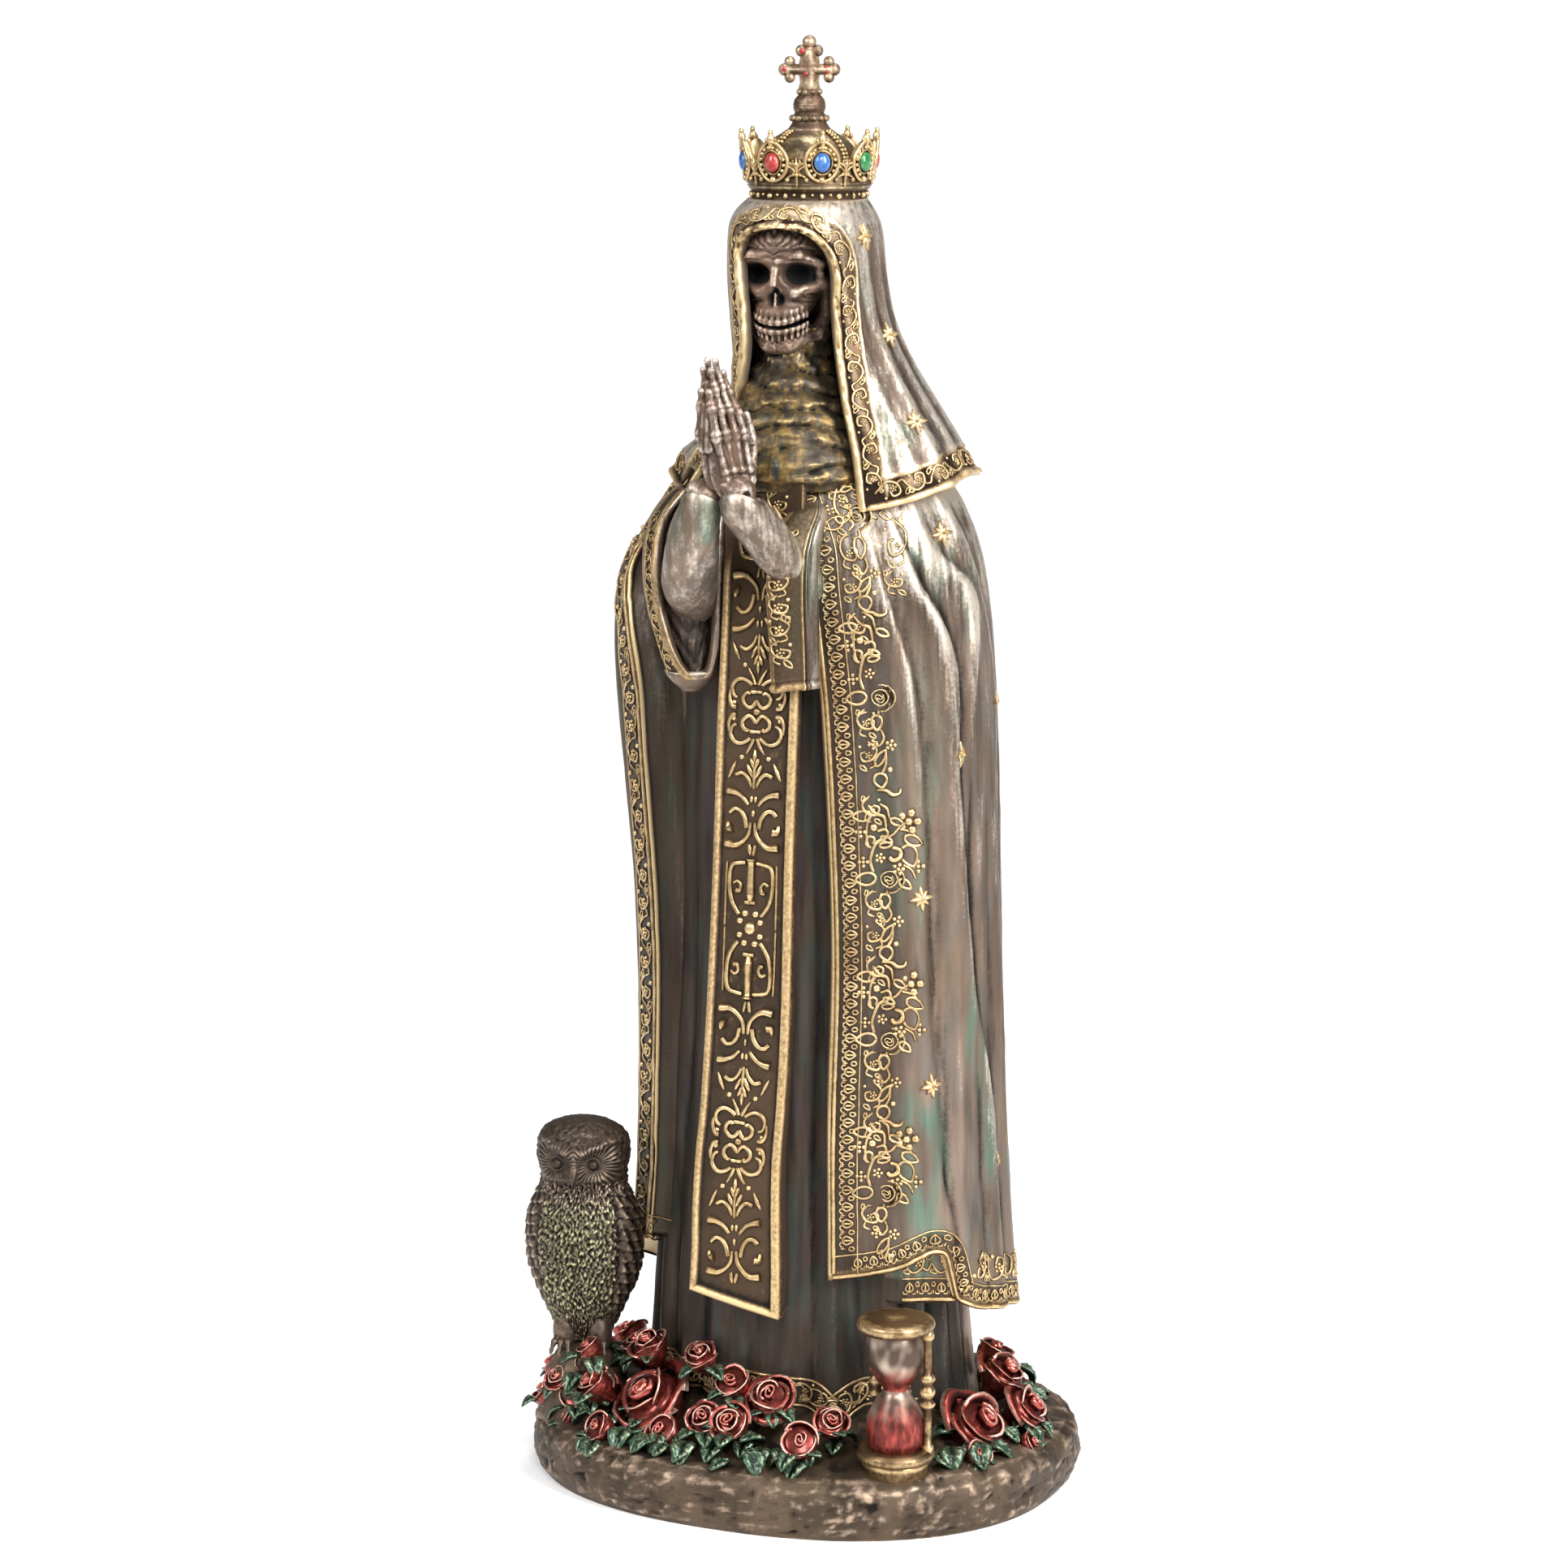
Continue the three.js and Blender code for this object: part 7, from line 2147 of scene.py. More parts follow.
def grown(name, host_mesh, group, **inputs):
    """Runs a tree on a mesh and returns the result as a plain mesh."""
    host = bpy.data.objects.new(name, host_mesh)
    bpy.context.scene.collection.objects.link(host)
    modifier = host.modifiers.new("tree", "NODES")
    modifier.node_group = group
    sockets = {item.name: item.identifier for item in group.interface.items_tree if item.in_out == "INPUT"}
    for label, value in inputs.items():
        modifier[sockets[label]] = value
    bpy.context.view_layer.update()
    seen = host.evaluated_get(bpy.context.evaluated_depsgraph_get())
    mesh = bpy.data.meshes.new_from_object(seen)
    bpy.data.objects.remove(host)
    mesh.name = name
    mesh.shade_smooth()
    return mesh


def planting_tree():
    tree = Tree("plant shapes on points", Points="Geometry", Shapes="Collection", Finish="Material")
    node, named, link = tree.node, tree.named, tree.link
    shapes = node("GeometryNodeCollectionInfo", transform_space="ORIGINAL")
    shapes.inputs["Separate Children"].default_value = True
    shapes.inputs["Reset Children"].default_value = True
    plant = node("GeometryNodeInstanceOnPoints")
    plant.inputs["Pick Instance"].default_value = True
    link(tree.start.outputs["Points"], plant.inputs["Points"])
    link(tree.start.outputs["Shapes"], shapes.inputs["Collection"])
    link(shapes.outputs[0], plant.inputs["Instance"])
    link(named("kind", "INT"), plant.inputs["Instance Index"])
    link(named("turn", "FLOAT_VECTOR"), plant.inputs["Rotation"])
    link(named("size", "FLOAT_VECTOR"), plant.inputs["Scale"])
    return tree.close(plant.outputs[0])


PLANTING = planting_tree()


def plant(name, rows, shapes, finish):
    return grown(name, point_cloud(name, rows), PLANTING, Shapes=shapes, Finish=finish)


rose_rows = []
kind_order = sorted(ROSE_KINDS)
for k, (x, y, height, size, tilt) in enumerate(ROSES):
    kind = "open_rose" if size > 4.6 else ("rose_bud" if k % 3 == 1 or size < 3.1 else "round_rose")
    tip = tilted_turn(x, y, tilt, math.radians(31 * k))
    rose_rows.append(((x, y, height), tip, size, kind_order.index(kind)))
PERCH_ROSES = [  # round the owl's perch: turn, reach, height above the floor, size
    (-150, 8.6, 16.5, 0.95), (-112, 7.6, 20.5, 0.85), (-78, 8.2, 17.5, 0.9), (-40, 8.4, 19.5, 1.05),
    (-8, 8.2, 17, 0.9), (175, 7.4, 21, 0.8), (-60, 6.4, 23.6, 0.7), (120, 8, 18, 0.9), (60, 8.5, 17, 0.9),
]
for k, (turn_deg, reach, height, size) in enumerate(PERCH_ROSES):
    turn = math.radians(turn_deg)
    spot = (OWL_PLACE[0] + reach * math.cos(turn), OWL_PLACE[1] + reach * math.sin(turn), height)
    kind = "round_rose" if k % 2 else "rose_bud"
    tip = tilted_turn(math.cos(turn), math.sin(turn), 42, 1.3 * k)
    rose_rows.append((spot, tip, size * ROSE_RADIUS, kind_order.index(kind)))
add_piece(plant("roses", rose_rows, kinds, rose_lacquer), "roses", rose_lacquer, facing=False)

# %% [markdown]
# Rose leaves are small and toothed, with a sunken midrib and slanting veins. Each is a thin
# shell with its stalk end at the origin, so that it can be tipped and laid between the blooms.

# %% Leaves
def leaf_shape(bend, seed):
    v, u = np.meshgrid(np.linspace(0, 1, 13), np.linspace(-1, 1, 7), indexing="ij")
    tooth = 1 + 0.26 * (1 - (v * 5) % 1) * smooth(0.04, 0.15, v) * (1 - v)
    half = 0.36 * np.sin(np.pi * np.clip(v, 0, 1) ** 0.8) ** 0.75 * tooth + 0.02
    vein = np.abs(np.sin(np.pi * (v * 5 - np.abs(u) * 1.1)))
    height = 0.12 * np.sin(np.pi * v) * (1 + bend) + 0.1 * np.abs(u) * half / 0.36 - bend * 0.3 * v * v
    rib = 0.055 * bell(u / 0.1) * smooth(1, 0.7, v)
    puff = 0.09 * vein**0.5 * smooth(0.02, 0.15, np.abs(u)) * smooth(1, 0.8, np.abs(u))
    outer = np.stack([v, u * half, height - rib + puff + 0.02 * noise(u * 3, v * 4, 0, seed)], axis=-1)
    inner = outer - np.array([0, 0, 0.09])
    points, faces = shell(outer, inner)
    shade = (
        0.45 + 0.3 * smooth(0.8, 1, np.abs(u)) - 0.35 * bell(u / 0.09) - 0.3 * (1 - vein**0.4)
        + 0.2 * puff / 0.05
    )
    return points, faces, np.concatenate([shade.ravel(), 0.3 + 0 * shade.ravel()])


leaf_green = coat_finish(
    "leaf_green", srgb(20, 25, 20), srgb(60, 88, 68), srgb(176, 176, 144), roughness=0.36, metallic=0.7
)
LEAF_BENDS = (0.2, 0.7, -0.2)
leaf_kinds = collection_of(
    "leaf kinds", {f"leaf_{k}": leaf_shape(bend, k) for k, bend in enumerate(LEAF_BENDS)}
)
LEAF_LENGTH = 7.0
LEAVES = [
    (-0.13, -0.28, 2.6, -100, -50), (-0.06, -0.33, 2, -60, -30), (-0.15, -0.93, 0.9, -110, 24),
    (0.05, -0.79, 0.9, -85, 24), (0.22, -0.81, 0.9, -70, 24), (0.36, -0.68, 0.9, -75, 20),
    (-0.33, -0.86, 0.9, -120, 26), (-0.42, -0.82, 0.9, -95, 26), (-0.56, -0.73, 0.9, -130, 26),
    (-0.7, -0.6, 0.9, -140, 30), (0.75, -0.5, 0.9, -60, 26), (0.8, -0.42, 0.9, -40, 30),
    (0.92, -0.05, 0.9, -5, 40), (0.64, -0.34, 0.9, -150, 10), (-0.56, -0.62, 4, -30, 20),
    (-0.05, -0.86, 0.8, -95, 22), (0.13, -0.84, 0.8, -80, 22), (-0.24, -0.9, 0.8, -104, 22),
    (-0.62, -0.62, 3.2, -60, 34), (0.32, -0.56, 1.2, -60, 20),
]


def mound_level(x, y):
    """Height of the earth above the floor at a place on the base."""
    power = 2 / OVAL_BEND
    share = (abs(2 * x / BASE_LENGTH) ** power + abs(2 * y / BASE_WIDTH) ** power) ** (1 / power)
    rise = np.interp(share, [0.45, 0.56, 0.68, 0.8, 0.89, 0.94], [1, 0.7, 0.32, 0.14, 0.05, 0])
    return BASE_TOP + MOUND_HEIGHT * float(rise)


def undergrowth():
    """Leaves between and below the blooms, in two loose rings that leave the hourglass free."""
    rows = []
    for ring, (reach, count, dip) in enumerate(((0.9, 40, 28), (0.78, 24, 8))):
        for k in range(count):
            turn = 2 * math.pi * (k + 0.37 * ring) / count
            drift = 0.035 * math.sin(5.3 * k + 2 * ring)
            share_x, share_y = (reach + drift) * math.cos(turn), (reach + drift) * math.sin(turn)
            if abs(share_x - 0.52) < 0.17 and share_y < -0.45:
                continue
            heading = math.degrees(turn) + 38 * math.sin(3.7 * k + ring)
            height = 0.9 + 1.3 * ring + 0.8 * math.sin(2.9 * k)
            rows.append((share_x, share_y, height, heading, dip + 22 * math.sin(4.1 * k)))
    return rows


leaf_rows = []
for k, (share_x, share_y, height, heading, dip) in enumerate(LEAVES + undergrowth()):
    x, y = share_x * BASE_LENGTH / 2, share_y * BASE_WIDTH / 2
    turn = (
        Matrix.Rotation(math.radians(heading), 4, "Z") @ Matrix.Rotation(math.radians(dip), 4, "Y")
        @ Matrix.Translation((-0.5, 0, 0))
    )
    start = Vector((x, y, mound_level(x, y) + height)) + LEAF_LENGTH * turn.translation
    leaf_rows.append((tuple(start), turn.to_euler(), LEAF_LENGTH * (0.8 + 0.14 * math.sin(2.1 * k)), k % 3))
for k, ((x, y, height), _, size, _) in enumerate(rose_rows):
    outward = math.atan2(y, x)
    for j in (-1, 0, 1):
        heading = outward + math.radians(70 * j + 35 * math.sin(2.3 * k + j))
        dip = math.radians(14 + 22 * math.sin(1.7 * k + 2 * j))
        turn = Matrix.Rotation(heading, 4, "Z") @ Matrix.Rotation(dip, 4, "Y")
        reach = 0.45 * size
        start = (x + reach * math.cos(heading), y + reach * math.sin(heading), height - 0.62 * size)
        length = (4.4 + 1.2 * math.sin(3.1 * k + j)) * (0.7 if abs(x) > 40 else 1)
        leaf_rows.append((start, turn.to_euler(), length, (k + j) % 3))
add_piece(plant("leaves", leaf_rows, leaf_kinds, leaf_green), "leaves", leaf_green, facing=False)

# %% [markdown]
# All the gilt ornament is drawn the same way. A trail is a line on a carved piece, and a stroke
# is drawn in millimetres across and along that trail. Each point is dropped on to the carving,
# so the ornament follows every fold. Geometry Nodes then sweep a round section of the point's
# own thickness along each stroke, half sunk in the cloth, as a modeller's clay thread is.

# %% Trails on a carved piece
DROP_FROM = 6.0  # millimetres above the trail from which points are dropped
carvings = {}


def unit(vectors):
    return vectors / np.maximum(np.linalg.norm(vectors, axis=-1, keepdims=True), 1e-9)


class Trail:
    """A line on a piece; side says on which hand of the line the places across it lie."""

    def __init__(self, piece, path, side, centre=(0, 4, None), look=2.5):
        if piece.name not in carvings:
            bpy.context.view_layer.update()
            carvings[piece.name] = BVHTree.FromObject(piece, bpy.context.evaluated_depsgraph_get())
        self.carving, self.side = carvings[piece.name], side
        self.path = np.asarray(path, float)
        step = np.linalg.norm(np.diff(self.path, axis=0), axis=1)
        self.arc = np.concatenate([[0], np.cumsum(step)])
        self.length = self.arc[-1]
        self.ahead = unit(np.gradient(self.path, axis=0))
        away = self.path - np.array([centre[0], centre[1], centre[2] or 0])
        if centre[2] is None:
            away[:, 2] = 0
        self.settle(unit(away))
        seen = np.array([self.drop(look, along)[1] for along in self.arc])
        window = np.ones(9) / 9
        padded = np.pad(seen, ((4, 4), (0, 0)), mode="edge")
        softened = [np.convolve(padded[:, k], window, mode="valid") for k in range(3)]
        self.settle(unit(np.stack(softened, axis=1)))

    def settle(self, outward):
        self.outward = unit(outward - (outward * self.ahead).sum(axis=1, keepdims=True) * self.ahead)
        self.inward = np.cross(self.outward, self.ahead) * self.side

    def at(self, rows, along):
        return np.array([np.interp(along, self.arc, rows[:, k]) for k in range(3)])

    def drop(self, across, along):
        """The place on the carving, the carving's direction there and the trail's outward direction."""
        out = unit(self.at(self.outward, along))
        start = self.at(self.path, along) + self.at(self.inward, along) * across
        above = Vector((start + out * DROP_FROM) * MM)
        spot, normal, _, _ = self.carving.ray_cast(above, Vector(-out), 3 * DROP_FROM * MM)
        if spot is None:
            spot, normal, _, _ = self.carving.find_nearest(Vector(start * MM))
        return np.array(spot) / MM, np.array(normal), out


# %% A tree that sweeps raised lines
def line_tree():
    tree = Tree("raised lines", Lines="Geometry", Finish="Material", Sides="Int")
    curve = tree.node("GeometryNodeMeshToCurve")
    section = tree.node("GeometryNodeCurvePrimitiveCircle")
    section.inputs["Radius"].default_value = 1.0
    sweep = tree.node("GeometryNodeCurveToMesh")
    sweep.inputs["Fill Caps"].default_value = True
    tree.link(tree.start.outputs["Lines"], curve.inputs[0])
    tree.link(tree.start.outputs["Sides"], section.inputs["Resolution"])
    tree.link(curve.outputs[0], sweep.inputs["Curve"])
    tree.link(section.outputs[0], sweep.inputs["Profile Curve"])
    tree.link(tree.named("thick", "FLOAT"), sweep.inputs["Scale"])
    return tree.close(sweep.outputs[0])


RAISED_LINES = line_tree()


# %% Small shapes that are planted on a trail
def petals(count, reach, wide, rise):
    parts = [bead((0, 0, rise * 0.6), (reach * 0.3, reach * 0.3, rise * 0.8), 6, 4)]
    for k in range(count):
        turn = 2 * math.pi * k / count
        lobe, lobe_faces = bead((0, 0, 0), (reach * 0.36, wide, rise), 6, 4)
        parts.append((spun(lobe + np.array([reach * 0.62, 0, 0]), turn), lobe_faces))
    return combined(parts)


BRAID_SHAPES = {
    "bead": bead((0, 0, 0), 1.0, 8, 5),
    "five_petals": petals(5, 1.0, 0.34, 0.34),
    "four_petals": petals(4, 1.0, 0.36, 0.36),
}
BRAID_KINDS = sorted(BRAID_SHAPES)
risen = lambda points: np.clip(0.5 + 0.5 * (points[:, 2] / points[:, 2].max()), 0, 1)
braid_kinds = collection_of(
    "braid kinds", {name: (*shape, risen(shape[0])) for name, shape in BRAID_SHAPES.items()}
)


# %% Drawing on a trail
class Braid:
    """Strokes and small shapes that will become one piece."""

    def __init__(self, name, finish, step=0.5):
        self.name, self.finish, self.step = name, finish, step
        self.points, self.edges, self.thick, self.outward, self.planted = [], [], [], [], []

    def line(self, trail, path, radius, rise=0.25):
        """A stroke through (across, along); radius is one number or the start, middle and end."""
        closed = tuple(path[0]) == tuple(path[-1]) and len(path) > 3
        rough_length = float(np.hypot(*np.diff(np.array(path, float), axis=0).T).sum())
        count = max(3, int(rough_length / self.step) + 2)
        drawn = smooth_path(path, count)
        if closed:
            drawn = drawn[:-1]
        share, steps = np.linspace(0, 1, len(drawn)), np.linspace(0, 1, np.size(radius))
        radii = np.interp(share, steps, np.atleast_1d(radius))
        first = len(self.points)
        for (across, along), r in zip(drawn, radii):
            spot, _, out = trail.drop(across, along)
            self.points.append((spot + out * r * rise) * MM)
            self.thick.append(r * MM)
            self.outward.append(out)
        last = len(self.points) - 1
        self.edges += [(k, k + 1) for k in range(first, last)]
        if closed:
            self.edges.append((last, first))

    def loop(self, trail, centre, half_across, half_along, radius, turn=0.0, point=0.0, count=9):
        """A closed oval, drawn out to a point at its first end."""
        t = np.linspace(0, 2 * np.pi, count)
        x = half_across * np.cos(t)
        y = half_along * np.sin(t) * (1 - point * np.clip(np.cos(t), 0, 1))
        cos, sin = math.cos(math.radians(turn)), math.sin(math.radians(turn))
        path = [(centre[0] + a * cos - b * sin, centre[1] + a * sin + b * cos) for a, b in zip(x, y)]
        path[-1] = path[0]
        self.line(trail, path, radius)

    def grow(self, trail, kind, place, size, spin=0.0, sink=0.0):
        spot, _, out = trail.drop(*place)
        ahead = unit(trail.at(trail.ahead, place[1]))
        side = np.cross(out, ahead)
        axes = Matrix((side, np.cross(out, side), out)).transposed()
        turn = (axes @ Matrix.Rotation(math.radians(spin), 3, "Z")).to_euler()
        self.planted.append((spot - out * sink, turn, size, BRAID_KINDS.index(kind)))

    def finish_piece(self):
        host = bpy.data.meshes.new(self.name)
        host.from_pydata(self.points, self.edges, [])
        set_attribute(host, "thick", self.thick)
        set_vectors(host, "outward", self.outward)
        mesh = grown(self.name, host, RAISED_LINES, Finish=self.finish, Sides=5)
        outward = np.empty(len(mesh.vertices) * 3, np.float32)
        mesh.attributes["outward"].data.foreach_get("vector", outward)
        mesh.attributes.remove(mesh.attributes["outward"])
        face_outward(mesh)
        up = (outward.reshape(-1, 3) * read_rows(mesh, "normal")).sum(axis=1)
        set_attribute(mesh, "relief", np.clip(0.2 + 0.7 * up, 0, 1))
        if self.planted:
            beads = plant(self.name + "_beads", self.planted, braid_kinds, self.finish)
            both = bmesh.new()
            both.from_mesh(mesh)
            both.from_mesh(beads)
            both.to_mesh(mesh)
            both.free()
            mesh.shade_smooth()
        return add_piece(mesh, self.name, self.finish, facing=False)


# %% [markdown]
# The stole's pattern is a tall unit between a bead and a rosette, mirrored left to right, and
# turned over at each end. Only half of one unit is drawn; the loops below repeat it.

# %% Stole scrolls
STOLE_UNIT = 43.8
STOLE_ROSETTE = 108.3
STOLE_STROKES = [
    (0.42, [(0, 2.3), (0.7, 1.2), (1.6, 0.8), (2.85, 1.8), (2.85, 3.1), (1.9, 3.85), (1.45, 3.4)]),
    (0.4, [(0, 4.0), (1.2, 3.95)]),
    ((0.5, 0.4, 0.3), [(4.3, 0.8), (5.3, 0.95), (5.95, 2.6), (5.8, 4.3)]),
    ((0.3, 0.45, 0.4), [(4.2, 2.7), (5.1, 3.2), (5.45, 4.8), (4.6, 6.1), (3.2, 6.5), (1.9, 6.0),
                        (1.05, 5.3)]),
    ((0.42, 0.35, 0.2), [(0.35, 5.4), (1.0, 6.9), (2.0, 8.6)]),
    ((0.2, 0.42, 0.3), [(0, 7.6), (0, 10.2)]),
    ((0.3, 0.42, 0.25), [(0.85, 9.4), (0.1, 11.4)]),
    ((0.3, 0.45, 0.25), [(1.55, 10.7), (0.35, 13.2)]),
    ((0.3, 0.36, 0.3), [(0, 11.3), (0, 15.6)]),
    ((0.2, 0.4, 0.2), [(4.1, 10.2), (5.7, 13.6)]),
    ((0.45, 0.42, 0.3), [(4.0, 12.9), (2.6, 12.4), (1.25, 13.5), (0.5, 15.2)]),
    ((0.75, 0.45, 0.35), [(5.7, 16.3), (4.1, 16.5), (2.45, 17.3), (1.1, 18.8)]),
    ((0.2, 0.38, 0.2), [(0.45, 17.0), (0.45, 18.3)]),
    ((0.2, 0.42, 0.2), [(0, 19.8), (0, 21.2)]),
    (0.45, [(5.2, 20.7), (4.1, 19.75), (2.8, 20.1), (1.8, 21.5), (1.4, 23.5)]),
    ((0.3, 0.6, 0.8), [(5.6, 22.6), (5.5, 23.9), (4.6, 23.9)]),
    ((0.35, 0.45, 0.8), [(0.45, 22.3), (0.8, 24.7), (2.1, 26.3), (3.7, 27.2), (5.8, 27.0)]),
    ((0.3, 0.4, 0.25), [(0.7, 26.8), (0.3, 29.0)]),
    ((1.0, 0.6, 0.75), [(0, 29.6), (0, 31.0), (0, 36.8)]),
    ((0.4, 0.42, 0.4), [(1.2, 30.5), (2.7, 30.7), (4.2, 31.2), (4.75, 33.1), (4.7, 36.0), (4.2, 38.4),
                        (3.2, 40.2), (2.4, 41.2)]),
    ((0.3, 0.34, 0.5), [(3.9, 35.0), (3.0, 34.4), (2.2, 35.2), (2.5, 36.4), (3.2, 36.3)]),
    (0.4, [(0, 38.6), (1.15, 38.6)]),
    ((0.8, 0.6, 0.45), [(0, 36.8), (0, 38.4)]),
    (0.22, [(5.5, 30.6), (5.6, 36), (5.65, 43.8)]),
]
STOLE_BEADS = [
    (0, 0, 0.85), (5.0, 1.6, 0.55), (2.9, 9.3, 0.6), (1.15, 40.9, 0.75), (2.25, 42.5, 0.72),
    (0, 43.8, 1.25)
]
stole_line = lambda height: stole_surface(np.zeros_like(height), height)
TRAIL_TOP, TRAIL_FOOT = 197, 30
stole_trail = Trail(stole, stole_line(np.linspace(TRAIL_TOP, TRAIL_FOOT, 240)), 1)
stole_at = lambda height: stole_trail.length * (TRAIL_TOP - height) / (TRAIL_TOP - TRAIL_FOOT)
stole_braid = Braid("stole_scrolls", gold)
for bead_offset, down in ((STOLE_UNIT, 1), (STOLE_UNIT, -1), (-STOLE_UNIT, -1), (-STOLE_UNIT, 1)):
    start = stole_at(STOLE_ROSETTE + bead_offset)
    inside = lambda t: 3 < start + down * t < stole_trail.length - 3.2
    for radius, path in STOLE_STROKES:
        if all(inside(t) for _, t in path):
            for hand in (1,) if all(abs(x) < 0.01 for x, _ in path) else (1, -1):
                drawn = [(hand * x, start + down * t) for x, t in path]
                stole_braid.line(stole_trail, drawn, np.multiply(1.28, radius))
    for x, t, size in STOLE_BEADS:
        if inside(t):
            for hand in (1,) if x == 0 else (1, -1):
                stole_braid.grow(stole_trail, "bead", (hand * x, start + down * t), (size, size, size * 0.7))
stole_braid.finish_piece()

# %% [markdown]
# The mantle's front edges carry two bands. A chain of teardrops and curls runs beside the gold
# rim, and outside it climbs a vine with roses, split leaves and small flowers. The chain turns
# the corner and goes on round the hem.

# %% Motifs in millimetres, across and along
def chain_link(braid, trail, along, wide=1.0, long=1.0):
    """One teardrop with the small loop and the two curls beside it."""
    spot = lambda x, t: (wide * x, along + long * t)
    braid.loop(trail, spot(2.95, 0), 1.1 * wide, 0.95 * long, 0.26, 0, 0.75, 8)
    braid.line(trail, [spot(2.2, 0), spot(3.9, 0)], (0.34, 0.2), 0.5)
    braid.loop(trail, spot(3.7, 1.75), 0.62 * wide, 0.55 * long, 0.24, 0, 0.6, 6)
    for hand in (1, -1):
        hook = [(2.1, 1.4), (1.4, 1.3), (1.3, 0.6), (1.8, 0.45)]
        braid.line(trail, [spot(x, hand * t) for x, t in hook], 0.22)
    braid.line(trail, [spot(1.5, 1.75), spot(2.4, 1.75)], (0.3, 0.2))


BOLD = 1.4  # the vine's strokes are this much heavier than listed
VINE_LINES = [
    (0.3, [(-3.0, -1.6), (-3.5, -3.7), (-3.0, -5.8), (-2.2, -7.4), (-0.9, -8.2)]),
    (0.26, [(-3.3, -6.4), (-4.3, -7.4), (-3.7, -8.8), (-2.6, -8.3), (-2.9, -7.2)]),
    (0.26, [(-3.8, -6.6), (-4.1, -9.2), (-3.8, -11.6), (-3.2, -13.0)]),
    ((0.26, 0.36, 0.3), [(-1.9, -9.7), (-0.4, -10.1), (0.1, -8.8), (-1.2, -7.7)]),
    ((0.2, 0.4, 0.26), [(-3.5, -15.0), (-2.1, -13.3), (-0.5, -12.6), (-0.2, -10.2)]),
    ((0.2, 0.34, 0.2), [(-1.2, -15.2), (0.2, -14.2), (0.5, -12.2)]),
    (0.22, [(-4.4, 2.8), (-3.6, 2.5), (-2.6, 2.4)]),
    (0.26, [(-0.4, 2.2), (-0.5, 3.2)]),
    (0.26, [(-0.2, 5.6), (0.35, 7.2), (-0.4, 8.4), (-1.3, 8.6)]),
    (0.26, [(0.5, 9.2), (0.5, 11.6), (-0.4, 13.5)]),
    ((0.26, 0.4, 0.2), [(-1.7, 16.6), (0.2, 16.7), (1.5, 17.6), (2.9, 17.4), (3.1, 16.5)]),
]
VINE_LEAVES = [  # place, half-length, half-width, turn
    ((-4.6, -0.2), 1.8, 1.15, 175), ((-4.9, -12.9), 1.6, 0.95, 180), ((-0.2, -8.0), 1.1, 0.5, 25),
    ((-0.4, -6.9), 1.1, 0.5, -5), ((-0.9, 4.4), 1.3, 1.0, 90), ((-0.5, 10.8), 1.7, 0.7, -55),
    ((-0.8, 14.9), 1.3, 1.2, 80), ((1.9, -11.4), 1.2, 0.6, 30),
]
VINE_FLOWERS = [
    ("four_petals", -5.3, -9.7, 1.15), ("four_petals", -4.9, -3.6, 1.05),
    ("five_petals", -1.6, -4.3, 1.0), ("four_petals", -1.9, 8.3, 1.0), ("bead", -2.7, -10.5, 0.7),
    ("five_petals", 1.6, 8.6, 1.1), ("bead", 1.2, 13.0, 0.5),
]
SIDE_LINES = [
    ((0.3, 0.5, 0.4), [(0.9, -6.3), (2.3, -5.9), (2.5, -4.4), (1.0, -3.7), (0.3, -4.5)]),
    (0.26, [(-0.6, -8.4), (1.2, -9.0), (2.4, -10.4), (3.6, -11.2)]),
    (0.26, [(2.4, -9.9), (4.4, -9.3), (5.4, -8.2)]),
    (0.24, [(3.0, -2.6), (4.6, -1.6), (5.4, 0.2)]),
]
SIDE_LEAVES = [((4.2, -4.4), 2.0, 1.4, 70), ((4.9, -7.4), 1.6, 0.9, 30), ((3.3, 1.2), 1.3, 0.7, 40)]
SIDE_FLOWERS = [
    ("five_petals", 4.2, -11.4, 2.3), ("four_petals", 5.9, -2.2, 1.3), ("five_petals", 2.0, -1.9, 1.2)
]


def vine_unit(braid, trail, middle, along, stretch=1.0, side_group=False):
    """One length of vine about a rose, with the group beyond it where there is room."""
    spot = lambda x, t: (middle + x, along + stretch * t)
    groups = [(VINE_LINES, VINE_LEAVES, VINE_FLOWERS), (SIDE_LINES, SIDE_LEAVES, SIDE_FLOWERS)]
    for lines, leaf_list, flowers in groups[: 2 if side_group else 1]:
        for radius, path in lines:
            if all(0.5 < spot(x, t)[1] < trail.length - 0.5 for x, t in path):
                braid.line(trail, [spot(x, t) for x, t in path], np.multiply(BOLD, radius), 0.25)
        for place, half_long, half_wide, turn in leaf_list:
            if 2 < spot(*place)[1] < trail.length - 2:
                braid.loop(trail, spot(*place), 1.15 * half_long, 1.15 * half_wide, 0.36, turn, 0.5, 10)
        for kind, x, t, size in flowers:
            if 1 < spot(x, t)[1] < trail.length - 1:
                braid.grow(trail, kind, spot(x, t), (1.25 * size, 1.25 * size, size))


